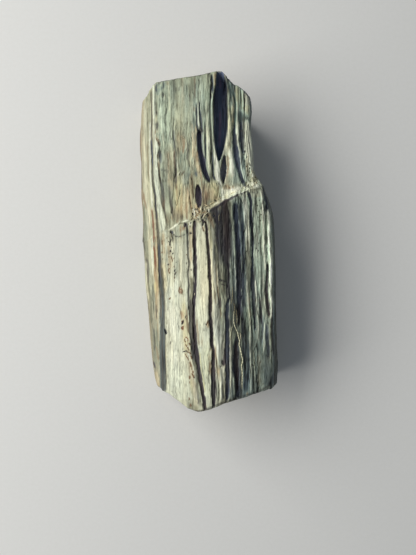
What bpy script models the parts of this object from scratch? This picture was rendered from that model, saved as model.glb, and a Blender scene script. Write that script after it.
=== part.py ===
"""A stick of palo santo wood: one short, thick, weathered block, lying down.

The block was split along the grain and sawn across at both ends. Its base is
flat. The half nearer -Y keeps the full height. From the far end, a piece was
split away down to a slanting saw cut, which leaves a step. The faces are worn
into grooves, with an open split, a slot and a few holes.

Frame: +Z up, +Y along the grain, origin under the middle of the block's box,
on the surface that it lies on. Lengths below are millimetres until the mesh
is made in metres.

Plan marks are (v, u, z). u runs to the right and v runs down on a plan seen
from a point EYE above the surface, and z is the mark's height. A mark keeps
its place on the plan when its height is changed. place() turns it into a
position.
"""

import bpy
import bmesh
import numpy as np

# ---------------------------------------------------------------- dimensions
MM = 0.001
EYE = 155.0            # height of the plan's viewpoint
FOCAL = 462.5          # plan units per unit of slope
PLAN_MID = (208.0, 277.5)
ORIGIN = (-0.312, 10.202)  # middle of the block's box before it is moved

BASE_INSET = 1.5       # how far the base's edge lies inside the side walls
SLOT_DEPTH = 8.5       # the open slot at the far end
HOLE_DEPTH = 6.0       # the slot's second pocket
OVAL_DEPTH = 6.0       # the oval hole beside it
SPLIT_DEPTH = 4.0      # the slanting split between the two

ROWS_FULL = 26         # rows on the full-height half
ROWS_STEP = 3          # rows down the step
ROWS_SPLIT = 22        # rows on the split half
TOP_COLUMNS = 40
WALL_COLUMNS = 4
BASE_COLUMNS = 8

# Lines that run along the grain on the full-height half, left side to right.
FULL_HALF = (
    ((236, 142.2, 5.0), (256, 144.2, 5.0), (285, 145.6, 5.0), (302, 147.3, 5.0),
     (329, 149.7, 5.0), (360, 152.3, 5.0), (375, 154.4, 5.0), (386, 157.3, 5.0)),
    ((236, 149.3, 11.0), (270, 151.5, 11.0), (300, 154.0, 11.0), (330, 156.0, 11.0),
     (360, 157.5, 11.0), (387, 159.5, 11.0)),
    ((234, 158.3, 16.8), (270, 160.0, 16.8), (300, 162.0, 16.8), (330, 163.0, 16.8),
     (360, 163.0, 16.8), (390, 163.5, 16.8)),
    ((230, 167.0, 19.5), (270, 167.5, 19.3), (300, 168.0, 19.2), (330, 168.5, 19.2),
     (360, 168.5, 19.4), (393, 169.5, 19.5)),
    ((227, 177.0, 21.9), (270, 177.5, 21.8), (330, 178.5, 21.8), (360, 179.0, 22.0),
     (401, 180.0, 22.3)),
    ((223, 185.0, 24.2), (270, 186.0, 24.0), (330, 186.5, 24.0), (352, 188.0, 24.3),
     (371, 190.0, 24.7), (390, 192.0, 25.2), (411, 193.0, 25.6)),
    ((220, 195.0, 26.3), (255, 196.0, 26.2), (300, 196.0, 26.1), (326, 197.0, 26.2),
     (352, 198.5, 26.6), (371, 201.0, 26.9), (390, 203.5, 27.1), (411, 205.5, 27.2)),
    ((213, 206.5, 27.3), (255, 208.5, 27.3), (300, 210.1, 27.4), (326, 210.9, 27.4),
     (352, 212.2, 27.5), (390, 213.4, 27.6), (408, 214.0, 27.5)),
    ((201, 224.0, 26.5), (230, 224.0, 26.2), (260, 225.0, 26.4), (290, 226.0, 26.7),
     (330, 226.8, 27.0), (370, 227.0, 27.1), (403, 226.0, 27.0)),
    ((195, 239.0, 25.3), (230, 239.0, 25.1), (260, 239.0, 25.1), (290, 239.0, 25.2),
     (330, 240.0, 25.5), (370, 241.0, 25.6), (399, 240.0, 25.5)),
    ((189.5, 252.0, 24.4), (200, 254.5, 24.3), (230, 256.0, 24.2), (290, 256.0, 24.2),
     (330, 258.0, 24.1), (370, 258.0, 24.1), (393, 258.0, 24.0)),
    ((184.5, 261.2, 23.4), (200, 266.0, 23.5), (215, 268.6, 23.7), (252, 270.9, 23.8),
     (294, 271.4, 23.8), (320, 271.4, 23.5), (340, 271.2, 23.2), (389, 269.8, 22.9)),
    ((188, 264.0, 13.5), (193, 266.0, 13.5), (204, 270.0, 13.5), (220, 273.6, 13.0),
     (256, 275.2, 13.0), (292, 275.8, 13.0), (329, 276.4, 13.0), (358, 278.0, 13.0),
     (384.5, 277.0, 12.5)),
)

# The same thirteen lines on the split half.
SPLIT_HALF = (
    ((101, 142.5, 5.4), (112, 141.5, 5.4), (125, 140.6, 5.2), (135, 139.8, 5.0),
     (150, 140.0, 5.0), (165, 141.2, 5.2), (195, 141.3, 5.0), (210, 142.5, 5.0),
     (225, 143.0, 5.0), (243, 142.4, 5.0)),
    ((97, 146.5, 9.5), (150, 146.0, 10.5), (200, 147.5, 11.0), (243, 149.6, 11.0)),
    ((90, 151.0, 15.5), (110, 151.3, 15.8), (150, 152.2, 16.0), (170, 152.5, 16.0),
     (190, 154.0, 16.2), (210, 156.0, 16.5), (235, 158.3, 16.8)),
    ((83, 155.5, 18.6), (110, 156.0, 18.6), (140, 158.5, 18.7), (170, 159.5, 18.8),
     (190, 162.0, 19.0), (210, 164.5, 19.2), (231, 167.0, 19.5)),
    ((79, 172.0, 20.6), (110, 172.0, 20.5), (150, 173.0, 20.5), (190, 174.5, 20.8),
     (228, 177.0, 21.7)),
    ((76, 187.0, 22.4), (110, 187.0, 22.3), (150, 187.5, 22.0), (190, 188.0, 22.2),
     (223, 185.2, 23.4)),
    ((74.5, 198.0, 23.7), (110, 197.5, 23.5), (150, 198.0, 23.0), (190, 196.0, 23.0),
     (219, 195.0, 24.4)),
    ((72.5, 210.0, 25.2), (110, 209.5, 25.0), (150, 208.5, 24.3), (185, 208.0, 24.0),
     (212, 206.5, 25.0)),
    ((71, 220.5, 26.0), (110, 220.0, 25.7), (150, 220.0, 25.0), (180, 222.5, 24.4),
     (200, 224.5, 23.7)),
    ((83, 235.0, 24.9), (110, 236.0, 24.8), (150, 237.5, 24.4), (175, 240.0, 23.7),
     (193, 241.0, 23.1)),
    ((92, 245.5, 24.1), (110, 245.5, 24.1), (150, 247.0, 23.8), (170, 249.0, 23.1),
     (186, 252.5, 22.2)),
    ((96, 249.2, 23.2), (110, 250.2, 23.4), (130, 249.7, 23.4), (150, 251.4, 23.2),
     (170, 252.6, 22.6), (180, 257.4, 21.7), (184, 259.0, 21.3)),
    ((99, 250.8, 15.5), (110, 251.7, 15.5), (128, 250.9, 15.0), (147, 252.8, 14.8),
     (171, 253.7, 14.2), (176, 256.0, 14.0), (180.5, 259.0, 13.8), (185, 260.0, 13.5)),
)

# Where the slanting saw cut meets each of the thirteen lines, and how far
# the step's foot lies beyond it.
SAW_CUT = ((243.0, 5.0), (240.0, 11.0), (235.0, 16.8), (230.5, 19.5), (227.0, 21.9),
           (223.5, 24.2), (220.0, 26.3), (212.5, 27.3), (202.0, 26.5), (195.5, 25.3),
           (189.5, 24.4), (184.8, 23.4), (188.0, 13.5))
STEP_RUN = (0.4, 0.4, 0.4, 0.45, 0.6, 0.8, 1.0, 1.6, 2.6, 3.0, 2.8, 2.2, 2.2)

# The two sawn ends as seen from above: (x, y).
NEAR_END = ((-17.0, -35.2), (-14.7, -34.1), (-11.7, -34.1), (-8.9, -35.5), (-5.9, -37.0),
            (-3.0, -37.4), (-0.3, -36.8), (1.7, -36.0), (3.6, -35.3), (5.0, -34.8),
            (9.0, -34.1), (14.2, -32.7), (17.6, -31.9), (21.5, -32.9))
FAR_END = ((-21.2, 57.1), (-16.8, 57.4), (-11.0, 57.7), (-2.3, 57.5), (3.0, 57.7),
           (3.9, 57.6), (5.0, 56.7), (6.0, 55.7), (6.8, 54.9), (7.7, 54.3), (8.5, 54.2),
           (9.3, 53.7), (10.2, 53.0), (11.1, 52.3), (11.8, 51.7), (13.0, 53.3))

# Grooves and holes: plan marks (v, u), half width in plan units, depth.
GROOVES = (
    (((92, 151.2), (150, 152.3), (200, 155.0), (230, 158.0), (290, 161.5), (330, 163.0),
      (390, 163.3)), 2.6, 1.0),
    (((222, 194.3), (255, 195.2), (300, 194.2), (326, 192.6), (352, 194.5), (371, 198.6),
      (390, 202.0), (409, 205.0)), 2.6, 1.6),
    (((222, 206.6), (255, 208.6), (300, 210.1), (352, 212.2), (408, 214.0)), 2.4, 1.4),
    (((340, 226.5), (395, 227.0)), 3.0, 1.2),
    (((196, 250.5), (250, 252.5), (285, 251.5)), 2.4, 1.0),
)
SLOT = (((70, 220.5, 4.6), (85, 220.0, 5.4), (105, 219.5, 6.2), (125, 219.6, 6.0),
         (140, 219.6, 5.2), (152, 219.0, 3.4), (160, 218.6, 0.6)), SLOT_DEPTH)
POCKET = (((156, 223.5, 0.8), (162, 222.8, 2.4), (170, 222.7, 2.8), (177, 222.9, 2.4),
           (184, 223.4, 0.6)), HOLE_DEPTH)
OVAL = (((184, 197.5, 0.8), (190, 198.0, 2.4), (197, 198.4, 3.0), (203, 198.8, 2.6),
         (207.5, 199.0, 0.8)), OVAL_DEPTH)
SPLIT = (((131, 198.5, 1.4), (140, 198.5, 2.4), (150, 199.5, 2.4), (160, 201.0, 2.6),
          (168, 203.0, 2.4), (175, 206.5, 1.8), (181, 209.0, 0.6)), SPLIT_DEPTH)


# ------------------------------------------------------------------- helpers
def place(v, u, z):
    """Plan mark to position, in millimetres."""
    scale = (EYE - z) / FOCAL
    return (u - PLAN_MID[0]) * scale, (PLAN_MID[1] - v) * scale, z


def smooth_through(x, xs, ys):
    """Monotone cubic curve through (xs, ys), read at x, straight beyond its ends."""
    xs = np.asarray(xs, float)
    ys = np.asarray(ys, float)
    h = np.diff(xs)
    slope = np.diff(ys) / h
    m = np.empty_like(ys)
    m[0], m[-1] = slope[0], slope[-1]
    for i in range(1, len(xs) - 1):
        if slope[i - 1] * slope[i] <= 0:
            m[i] = 0.0
        else:
            w1, w2 = 2 * h[i] + h[i - 1], h[i] + 2 * h[i - 1]
            m[i] = (w1 + w2) / (w1 / slope[i - 1] + w2 / slope[i])
    x = np.asarray(x, float)
    i = np.clip(np.searchsorted(xs, x) - 1, 0, len(xs) - 2)
    t = (x - xs[i]) / h[i]
    tc = np.clip(t, 0.0, 1.0)
    out = ((2 * tc ** 3 - 3 * tc ** 2 + 1) * ys[i] + (tc ** 3 - 2 * tc ** 2 + tc) * h[i] * m[i]
           + (-2 * tc ** 3 + 3 * tc ** 2) * ys[i + 1] + (tc ** 3 - tc ** 2) * h[i] * m[i + 1])
    return out + np.where(t < 0, t * h[i] * m[i], 0) + np.where(t > 1, (t - 1) * h[i] * m[i + 1], 0)


def grain_lines(half):
    """Each line as arrays of x, y, z with y rising."""
    lines = []
    for line in half:
        pts = np.array([place(*mark) for mark in line])
        lines.append(pts[np.argsort(pts[:, 1])])
    return lines


FULL_LINES = grain_lines(FULL_HALF)
SPLIT_LINES = grain_lines(SPLIT_HALF)
LINE_COUNT = len(FULL_HALF)


def line_share():
    """Where each line lies across the block, from 0 at the left to 1 at the right."""
    x = np.array([smooth_through(0.0, line[:, 1], line[:, 0]) for line in FULL_LINES])
    return (x - x[0]) / (x[-1] - x[0])


SHARE = line_share()


def surface(lines, s, y):
    """Point on one half's upper surface at share s across, at y along."""
    xs = [smooth_through(y, line[:, 1], line[:, 0]) for line in lines]
    zs = [smooth_through(y, line[:, 1], line[:, 2]) for line in lines]
    return float(smooth_through(s, SHARE, xs)), float(smooth_through(s, SHARE, zs))


def end_y(lines, s, end, start):
    """Where the line at share s meets a sawn end."""
    y = start
    for _ in range(4):
        x, _z = surface(lines, s, y)
        y = float(np.interp(x, [p[0] for p in end], [p[1] for p in end]))
    return y


def hollow(v, u):
    """How deep the wood is worn away at a plan position."""
    depth = 0.0
    for marks, half_width, deep in GROOVES:
        vs = [m[0] for m in marks]
        if vs[0] - 4 < v < vs[-1] + 4:
            off = abs(u - np.interp(v, vs, [m[1] for m in marks])) / half_width
            fade = np.clip(min(v - vs[0] + 4, vs[-1] + 4 - v) / 4.0, 0, 1)
            depth = max(depth, deep * max(0.0, 1 - off ** 2) * fade)
    for marks, deep in (SLOT, POCKET, OVAL, SPLIT):
        vs = [m[0] for m in marks]
        if vs[0] <= v <= vs[-1]:
            wide = np.interp(v, vs, [m[2] for m in marks])
            off = abs(u - np.interp(v, vs, [m[1] for m in marks])) / wide
            if off < 1.15:
                depth = max(depth, deep * np.clip((1.15 - off) / 0.55, 0, 1)
                            * np.clip(wide / 2.4, 0.15, 1))
    return depth


def column_shares():
    """Columns across the top, closer together at the deep grooves."""
    even = np.linspace(0, 1, TOP_COLUMNS - 9)
    extra = [0.135, 0.150, 0.385, 0.490, 0.560, 0.585, 0.610, 0.635, 0.820]
    return np.array(sorted(set(list(even) + extra)))


# ---------------------------------------------------------------------- loft
def rows():
    """Every closed section of the block, near end to far end."""
    shares = column_shares()
    cut = [place(v, 0, z)[1] for v, z in SAW_CUT]
    near = {s: end_y(FULL_LINES, s, NEAR_END, -36.0) for s in shares}
    far = {s: end_y(SPLIT_LINES, s, FAR_END, 57.0) for s in shares}
    cut_y = {s: float(smooth_through(s, SHARE, cut)) for s in shares}
    run = {s: float(np.interp(s, SHARE, STEP_RUN)) for s in shares}

    stations = [("full", t) for t in np.linspace(0, 1, ROWS_FULL)]
    stations += [("step", t) for t in np.linspace(0, 1, ROWS_STEP + 1)[1:]]
    stations += [("split", t) for t in np.linspace(0, 1, ROWS_SPLIT + 1)[1:]]

    loops = []
    for kind, t in stations:
        top = []
        for s in shares:
            foot = cut_y[s] + run[s]
            if kind == "full":
                y = near[s] + (cut_y[s] - near[s]) * t
                x, z = surface(FULL_LINES, s, y)
            elif kind == "split":
                y = foot + (far[s] - foot) * t
                x, z = surface(SPLIT_LINES, s, y)
            else:
                y = cut_y[s] + run[s] * t
                x0, z0 = surface(FULL_LINES, s, cut_y[s])
                x1, z1 = surface(SPLIT_LINES, s, foot)
                x, z = x0 + (x1 - x0) * t, z0 + (z1 - z0) * t
            scale = (EYE - z) / FOCAL
            u, v = PLAN_MID[0] + x / scale, PLAN_MID[1] - y / scale
            z -= hollow(v, u)
            top.append((x, y, z))

        left, right = np.array(top[0]), np.array(top[-1])
        base_right = np.array((right[0] - BASE_INSET, right[1], 0.0))
        base_left = np.array((left[0] + BASE_INSET, left[1], 0.0))
        wall = []
        for k in range(1, WALL_COLUMNS):
            f = k / WALL_COLUMNS
            bow = BASE_INSET * (1 - f ** 3)
            wall.append((base_right[0] + bow, right[1], right[2] * (1 - f)))
        base = []
        for k in range(BASE_COLUMNS + 1):
            f = k / BASE_COLUMNS
            base.append(tuple(base_right + (base_left - base_right) * f))
        rise = [(base_left[0] - BASE_INSET * 0.7, left[1], left[2] * 0.45)]
        loops.append(top + wall + base + rise)
    return loops


def build_block():
    loops = rows()
    bm = bmesh.new()
    rings = []
    for loop in loops:
        rings.append([bm.verts.new(((x - ORIGIN[0]) * MM, (y - ORIGIN[1]) * MM, z * MM))
                      for x, y, z in loop])
    count = len(rings[0])
    for a, b in zip(rings, rings[1:]):
        for i in range(count):
            j = (i + 1) % count
            bm.faces.new((a[i], a[j], b[j], b[i]))
    ends = [bm.faces.new(rings[0][::-1]), bm.faces.new(rings[-1])]
    bmesh.ops.triangulate(bm, faces=bm.faces[:], quad_method="BEAUTY", ngon_method="BEAUTY")
    bmesh.ops.recalc_face_normals(bm, faces=bm.faces[:])
    mesh = bpy.data.meshes.new("palo_santo_stick")
    bm.to_mesh(mesh)
    bm.free()
    return mesh


def wood_material():
    mat = bpy.data.materials.new("weathered_wood")
    mat.use_nodes = True
    shader = mat.node_tree.nodes["Principled BSDF"]
    shader.inputs["Base Color"].default_value = (0.46, 0.43, 0.33, 1.0)
    shader.inputs["Roughness"].default_value = 0.82
    shader.inputs["Metallic"].default_value = 0.0
    return mat


def main():
    for old in list(bpy.data.objects):
        bpy.data.objects.remove(old, do_unlink=True)
    mesh = build_block()
    mesh.materials.append(wood_material())
    stick = bpy.data.objects.new("palo_santo_stick", mesh)
    bpy.context.scene.collection.objects.link(stick)
    mesh.shade_smooth()
    mesh.set_sharp_from_angle(angle=0.7)

    pts = np.array([v.co for v in mesh.vertices])
    print("box mm", np.round(pts.min(0) * 1000, 3), np.round(pts.max(0) * 1000, 3))
    print("triangles", len(mesh.polygons))


main()
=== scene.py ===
"""Looks of the palo santo stick: one detailed block of weathered wood.

Lengths are millimetres until the meshes are made in metres. Plan marks are
(v, u): u runs to the right and v runs down on a plan seen from the eye, a
point straight above the stick, in the photograph's 416 x 555 frame.
"""

import math

import bmesh
import bpy
import numpy as np
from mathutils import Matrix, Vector
from mathutils.bvhtree import BVHTree


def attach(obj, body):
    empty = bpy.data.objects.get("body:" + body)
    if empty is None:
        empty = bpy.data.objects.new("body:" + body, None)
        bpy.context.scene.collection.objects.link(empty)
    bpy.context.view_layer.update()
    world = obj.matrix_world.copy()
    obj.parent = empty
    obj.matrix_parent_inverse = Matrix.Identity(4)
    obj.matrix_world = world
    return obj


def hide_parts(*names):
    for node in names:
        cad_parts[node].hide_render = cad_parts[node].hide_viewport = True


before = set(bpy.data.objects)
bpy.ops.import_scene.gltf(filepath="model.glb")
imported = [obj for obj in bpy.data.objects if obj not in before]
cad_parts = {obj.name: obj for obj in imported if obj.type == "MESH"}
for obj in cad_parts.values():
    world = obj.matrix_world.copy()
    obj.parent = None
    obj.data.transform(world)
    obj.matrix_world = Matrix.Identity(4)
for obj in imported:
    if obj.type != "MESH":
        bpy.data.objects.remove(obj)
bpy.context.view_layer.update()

MM = 0.001
EYE = 155.0
FOCAL = 462.5
PLAN_MID = (208.0, 277.5)
ORIGIN = (-0.312, 10.202)

ROWS_FULL = 164
ROWS_STEP = 11
ROWS_SPLIT = 108
TOP_COLUMNS = 252
WALL_COLUMNS = 26
BASE_COLUMNS = 18
RISE_COLUMNS = 8
CAP_RINGS = 12
LAMP_POWER = 4.9
FILL = 0.17
FIBRE_HAIR = 1.05
FIBRE_BAND = 0.55
FIBRE_SPECK = 0.30
FIBRE_BASE = 1.06

# ------------------------------------------------------- the block's lines
# Lines along the grain, left to right, as (v, u, z) marks: the same block
# as the solid that this mesh stands for.
FULL_HALF = (
    ((236, 142.2, 5.0), (256, 144.2, 5.0), (285, 145.6, 5.0), (302, 147.3, 5.0),
     (329, 149.7, 5.0), (360, 152.3, 5.0), (375, 154.4, 5.0), (386, 157.3, 5.0)),
    ((236, 149.3, 11.0), (270, 151.5, 11.0), (300, 154.0, 11.0), (330, 156.0, 11.0),
     (360, 157.5, 11.0), (387, 159.5, 11.0)),
    ((234, 158.3, 16.8), (270, 160.0, 16.8), (300, 162.0, 16.8), (330, 163.0, 16.8),
     (360, 163.0, 16.8), (390, 163.5, 16.8)),
    ((230, 167.0, 19.5), (270, 167.5, 19.3), (300, 168.0, 19.2), (330, 168.5, 19.2),
     (360, 168.5, 19.4), (393, 169.5, 19.5)),
    ((227, 177.0, 21.9), (270, 177.5, 21.8), (330, 178.5, 21.8), (360, 179.0, 22.0),
     (401, 180.0, 22.3)),
    ((223, 185.0, 24.2), (270, 186.0, 24.0), (330, 186.5, 24.0), (352, 188.0, 24.3),
     (371, 190.0, 24.7), (390, 192.0, 25.2), (411, 193.0, 25.6)),
    ((220, 195.0, 26.3), (255, 196.0, 26.2), (300, 196.0, 26.1), (326, 197.0, 26.2),
     (352, 198.5, 26.6), (371, 201.0, 26.9), (390, 203.5, 27.1), (411, 205.5, 27.2)),
    ((213, 206.5, 27.3), (255, 208.5, 27.3), (300, 210.1, 27.4), (326, 210.9, 27.4),
     (352, 212.2, 27.5), (390, 213.4, 27.6), (408, 214.0, 27.5)),
    ((201, 224.0, 26.5), (230, 224.0, 26.2), (260, 225.0, 26.4), (290, 226.0, 26.7),
     (330, 226.8, 27.0), (370, 227.0, 27.1), (403, 226.0, 27.0)),
    ((195, 239.0, 25.3), (230, 239.0, 25.1), (260, 239.0, 25.1), (290, 239.0, 25.2),
     (330, 240.0, 25.5), (370, 241.0, 25.6), (399, 240.0, 25.5)),
    ((189.5, 252.0, 24.4), (200, 254.5, 24.3), (230, 256.0, 24.2), (290, 256.0, 24.2),
     (330, 258.0, 24.1), (370, 258.0, 24.1), (393, 258.0, 24.0)),
    ((184.5, 261.2, 23.4), (200, 266.0, 23.5), (215, 268.6, 23.7), (252, 270.9, 23.8),
     (294, 271.4, 23.8), (320, 271.4, 23.5), (340, 271.2, 23.2), (389, 269.8, 22.9)),
    ((188, 264.0, 13.5), (193, 266.0, 13.5), (204, 270.0, 13.5), (220, 273.6, 13.0),
     (256, 275.2, 13.0), (292, 275.8, 13.0), (329, 276.4, 13.0), (358, 278.0, 13.0),
     (384.5, 277.0, 12.5)),
)
SPLIT_HALF = (
    ((101, 142.5, 5.4), (112, 141.5, 5.4), (125, 140.6, 5.2), (135, 139.8, 5.0),
     (150, 140.0, 5.0), (165, 141.2, 5.2), (195, 141.3, 5.0), (210, 142.5, 5.0),
     (225, 143.0, 5.0), (243, 142.4, 5.0)),
    ((97, 146.5, 9.5), (150, 146.0, 10.5), (200, 147.5, 11.0), (243, 149.6, 11.0)),
    ((90, 151.0, 15.5), (110, 151.3, 15.8), (150, 152.2, 16.0), (170, 152.5, 16.0),
     (190, 154.0, 16.2), (210, 156.0, 16.5), (235, 158.3, 16.8)),
    ((83, 155.5, 18.6), (110, 156.0, 18.6), (140, 158.5, 18.7), (170, 159.5, 18.8),
     (190, 162.0, 19.0), (210, 164.5, 19.2), (231, 167.0, 19.5)),
    ((79, 172.0, 20.6), (110, 172.0, 20.5), (150, 173.0, 20.5), (190, 174.5, 20.8),
     (228, 177.0, 21.7)),
    ((76, 187.0, 22.4), (110, 187.0, 22.3), (150, 187.5, 22.0), (190, 188.0, 22.2),
     (223, 185.2, 23.4)),
    ((74.5, 198.0, 23.7), (110, 197.5, 23.5), (150, 198.0, 23.0), (190, 196.0, 23.0),
     (219, 195.0, 24.4)),
    ((72.5, 210.0, 25.2), (110, 209.5, 25.0), (150, 208.5, 24.3), (185, 208.0, 24.0),
     (212, 206.5, 25.0)),
    ((71, 220.5, 26.0), (110, 220.0, 25.7), (150, 220.0, 25.0), (180, 222.5, 24.4),
     (200, 224.5, 23.7)),
    ((83, 235.0, 24.9), (110, 236.0, 24.8), (150, 237.5, 24.4), (175, 240.0, 23.7),
     (193, 241.0, 23.1)),
    ((92, 245.5, 24.1), (110, 245.5, 24.1), (150, 247.0, 23.8), (170, 249.0, 23.1),
     (186, 252.5, 22.2)),
    ((96, 249.2, 23.2), (110, 250.2, 23.4), (130, 249.7, 23.4), (150, 251.4, 23.2),
     (170, 252.6, 22.6), (180, 257.4, 21.7), (184, 259.0, 21.3)),
    ((99, 250.8, 15.5), (110, 251.7, 15.5), (128, 250.9, 15.0), (147, 252.8, 14.8),
     (171, 253.7, 14.2), (176, 256.0, 14.0), (180.5, 259.0, 13.8), (185, 260.0, 13.5)),
)
SAW_CUT = ((243.0, 5.0), (240.0, 11.0), (235.0, 16.8), (230.5, 19.5), (227.0, 21.9),
           (223.5, 24.2), (220.0, 26.3), (212.5, 27.3), (202.0, 26.5), (195.5, 25.3),
           (189.5, 24.4), (184.8, 23.4), (188.0, 13.5))
STEP_RUN = (0.4, 0.4, 0.4, 0.45, 0.6, 0.8, 1.0, 1.6, 2.6, 3.0, 2.8, 2.2, 2.2)
NEAR_END = ((-17.0, -35.2), (-14.7, -34.1), (-11.7, -34.1), (-8.9, -35.5), (-5.9, -37.0),
            (-3.0, -37.4), (-0.3, -36.8), (1.7, -36.0), (3.6, -35.3), (5.0, -34.8),
            (9.0, -34.1), (14.2, -32.7), (17.6, -31.9), (21.5, -32.9))
FAR_END = ((-21.2, 57.1), (-16.8, 57.4), (-11.0, 57.7), (-2.3, 57.5), (3.0, 57.7),
           (3.9, 57.6), (5.0, 56.7), (6.0, 55.7), (6.8, 54.9), (7.7, 54.3), (8.5, 54.2),
           (9.3, 53.7), (10.2, 53.0), (11.1, 52.3), (11.8, 51.7), (13.0, 53.3))


# --------------------------------------------------------------------- noise
def _hash(ix, iy, seed):
    h = (ix.astype(np.int64) * 374761393 + iy.astype(np.int64) * 668265263
         + seed * 1442695041) & 0xFFFFFFFF
    h = ((h ^ (h >> 13)) * 1274126177) & 0xFFFFFFFF
    h = (h ^ (h >> 16)) & 0xFFFFFFFF
    return h.astype(np.float64) / 4294967295.0 * 2.0 - 1.0


def noise(x, y, seed):
    """Smooth value noise from -1 to 1."""
    x0, y0 = np.floor(x), np.floor(y)
    fx, fy = x - x0, y - y0
    fx = fx * fx * fx * (fx * (fx * 6 - 15) + 10)
    fy = fy * fy * fy * (fy * (fy * 6 - 15) + 10)
    x0, y0 = x0.astype(np.int64), y0.astype(np.int64)
    a, b = _hash(x0, y0, seed), _hash(x0 + 1, y0, seed)
    c, d = _hash(x0, y0 + 1, seed), _hash(x0 + 1, y0 + 1, seed)
    return (a + (b - a) * fx) * (1 - fy) + (c + (d - c) * fx) * fy


def fractal(x, y, seed, octaves=3, gain=0.5, lacunarity=2.03):
    total, amp, norm = 0.0, 1.0, 0.0
    for k in range(octaves):
        total = total + amp * noise(x, y, seed + 17 * k)
        norm += amp
        x, y, amp = x * lacunarity + 11.3, y * lacunarity + 5.7, amp * gain
    return total / norm


def smoothstep(a, b, x):
    t = np.clip((x - a) / (b - a), 0.0, 1.0)
    return t * t * (3 - 2 * t)


# --------------------------------------------------------------- the surface
def place(v, u, z):
    scale = (EYE - z) / FOCAL
    return (u - PLAN_MID[0]) * scale, (PLAN_MID[1] - v) * scale, z


def to_plan(x, y, z):
    scale = (EYE - z) / FOCAL
    return PLAN_MID[0] + x / scale, PLAN_MID[1] - y / scale


def slopes(h, d):
    m = np.empty((len(h) + 1,) + d.shape[1:])
    m[0], m[-1] = d[0], d[-1]
    for i in range(1, len(h)):
        w1, w2 = 2 * h[i] + h[i - 1], h[i] + 2 * h[i - 1]
        same = d[i - 1] * d[i] > 0
        a = np.where(same, d[i - 1], 1.0)
        b = np.where(same, d[i], 1.0)
        m[i] = np.where(same, (w1 + w2) / (w1 / a + w2 / b), 0.0)
    return m


def hermite(t, h, y0, y1, m0, m1):
    c = np.clip(t, 0.0, 1.0)
    out = ((2 * c ** 3 - 3 * c ** 2 + 1) * y0 + (c ** 3 - 2 * c ** 2 + c) * h * m0
           + (-2 * c ** 3 + 3 * c ** 2) * y1 + (c ** 3 - c ** 2) * h * m1)
    return out + np.where(t < 0, t * h * m0, 0) + np.where(t > 1, (t - 1) * h * m1, 0)


def smooth_through(x, xs, ys):
    xs, ys = np.asarray(xs, float), np.asarray(ys, float)
    h = np.diff(xs)
    m = slopes(h, (np.diff(ys) / h)[:, None])[:, 0]
    x = np.asarray(x, float)
    i = np.clip(np.searchsorted(xs, x) - 1, 0, len(xs) - 2)
    return hermite((x - xs[i]) / h[i], h[i], ys[i], ys[i + 1], m[i], m[i + 1])


def grain_lines(half):
    lines = []
    for line in half:
        pts = np.array([place(*mark) for mark in line])
        lines.append(pts[np.argsort(pts[:, 1])])
    return lines


FULL_LINES = grain_lines(FULL_HALF)
SPLIT_LINES = grain_lines(SPLIT_HALF)
_x0 = np.array([smooth_through(0.0, line[:, 1], line[:, 0]) for line in FULL_LINES])
SHARE = (_x0 - _x0[0]) / (_x0[-1] - _x0[0])


def surface(lines, s, y):
    """x and z of a half's upper surface at shares s and places y (flat arrays)."""
    out = []
    i = np.clip(np.searchsorted(SHARE, s) - 1, 0, len(SHARE) - 2)
    h = np.diff(SHARE)
    n = np.arange(len(s))
    for axis in (0, 2):
        vals = np.array([smooth_through(y, line[:, 1], line[:, axis]) for line in lines])
        m = slopes(h, np.diff(vals, axis=0) / h[:, None])
        out.append(hermite((s - SHARE[i]) / h[i], h[i], vals[i, n], vals[i + 1, n],
                           m[i, n], m[i + 1, n]))
    return out[0], out[1]


def end_y(lines, s, end, start):
    y = np.full(len(s), float(start))
    ex, ey = [p[0] for p in end], [p[1] for p in end]
    for _ in range(5):
        x, _z = surface(lines, s, y)
        y = np.interp(x, ex, ey)
    return y


def top_grid():
    """Positions of the block's upper surface, rows by columns, and each row's kind."""
    s = np.linspace(0, 1, TOP_COLUMNS)
    near = end_y(FULL_LINES, s, NEAR_END, -36)
    far = end_y(SPLIT_LINES, s, FAR_END, 57)
    cut = smooth_through(s, SHARE, [place(v, 0, z)[1] for v, z in SAW_CUT])
    run = np.interp(s, SHARE, STEP_RUN)
    # The saw cut isn't quite straight, and chips have left its edge.
    cut = cut + 0.16 * noise(s * 38, s * 0, 71) + 0.10 * noise(s * 90, s * 0, 72)
    run = run * (1 + 0.30 * noise(s * 22, s * 0, 73) + 0.18 * noise(s * 55, s * 0, 74))
    foot = cut + run

    rows, kinds = [], []
    for t in np.linspace(0, 1, ROWS_FULL):
        y = near + (cut - near) * t
        x, z = surface(FULL_LINES, s, y)
        rows.append((x, y, z))
        kinds.append(0.0)
    x0, z0 = surface(FULL_LINES, s, cut)
    x1, z1 = surface(SPLIT_LINES, s, foot)
    for t in np.linspace(0, 1, ROWS_STEP + 1)[1:]:
        e = t * t * (3 - 2 * t) * 0.45 + t * 0.55
        rows.append((x0 + (x1 - x0) * t, cut + run * t, z0 + (z1 - z0) * e))
        kinds.append(t)
    for t in np.linspace(0, 1, ROWS_SPLIT + 1)[1:]:
        y = foot + (far - foot) * t
        x, z = surface(SPLIT_LINES, s, y)
        rows.append((x, y, z))
        kinds.append(2.0)
    return np.array([np.stack(r, -1) for r in rows]), np.array(kinds), s


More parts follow.
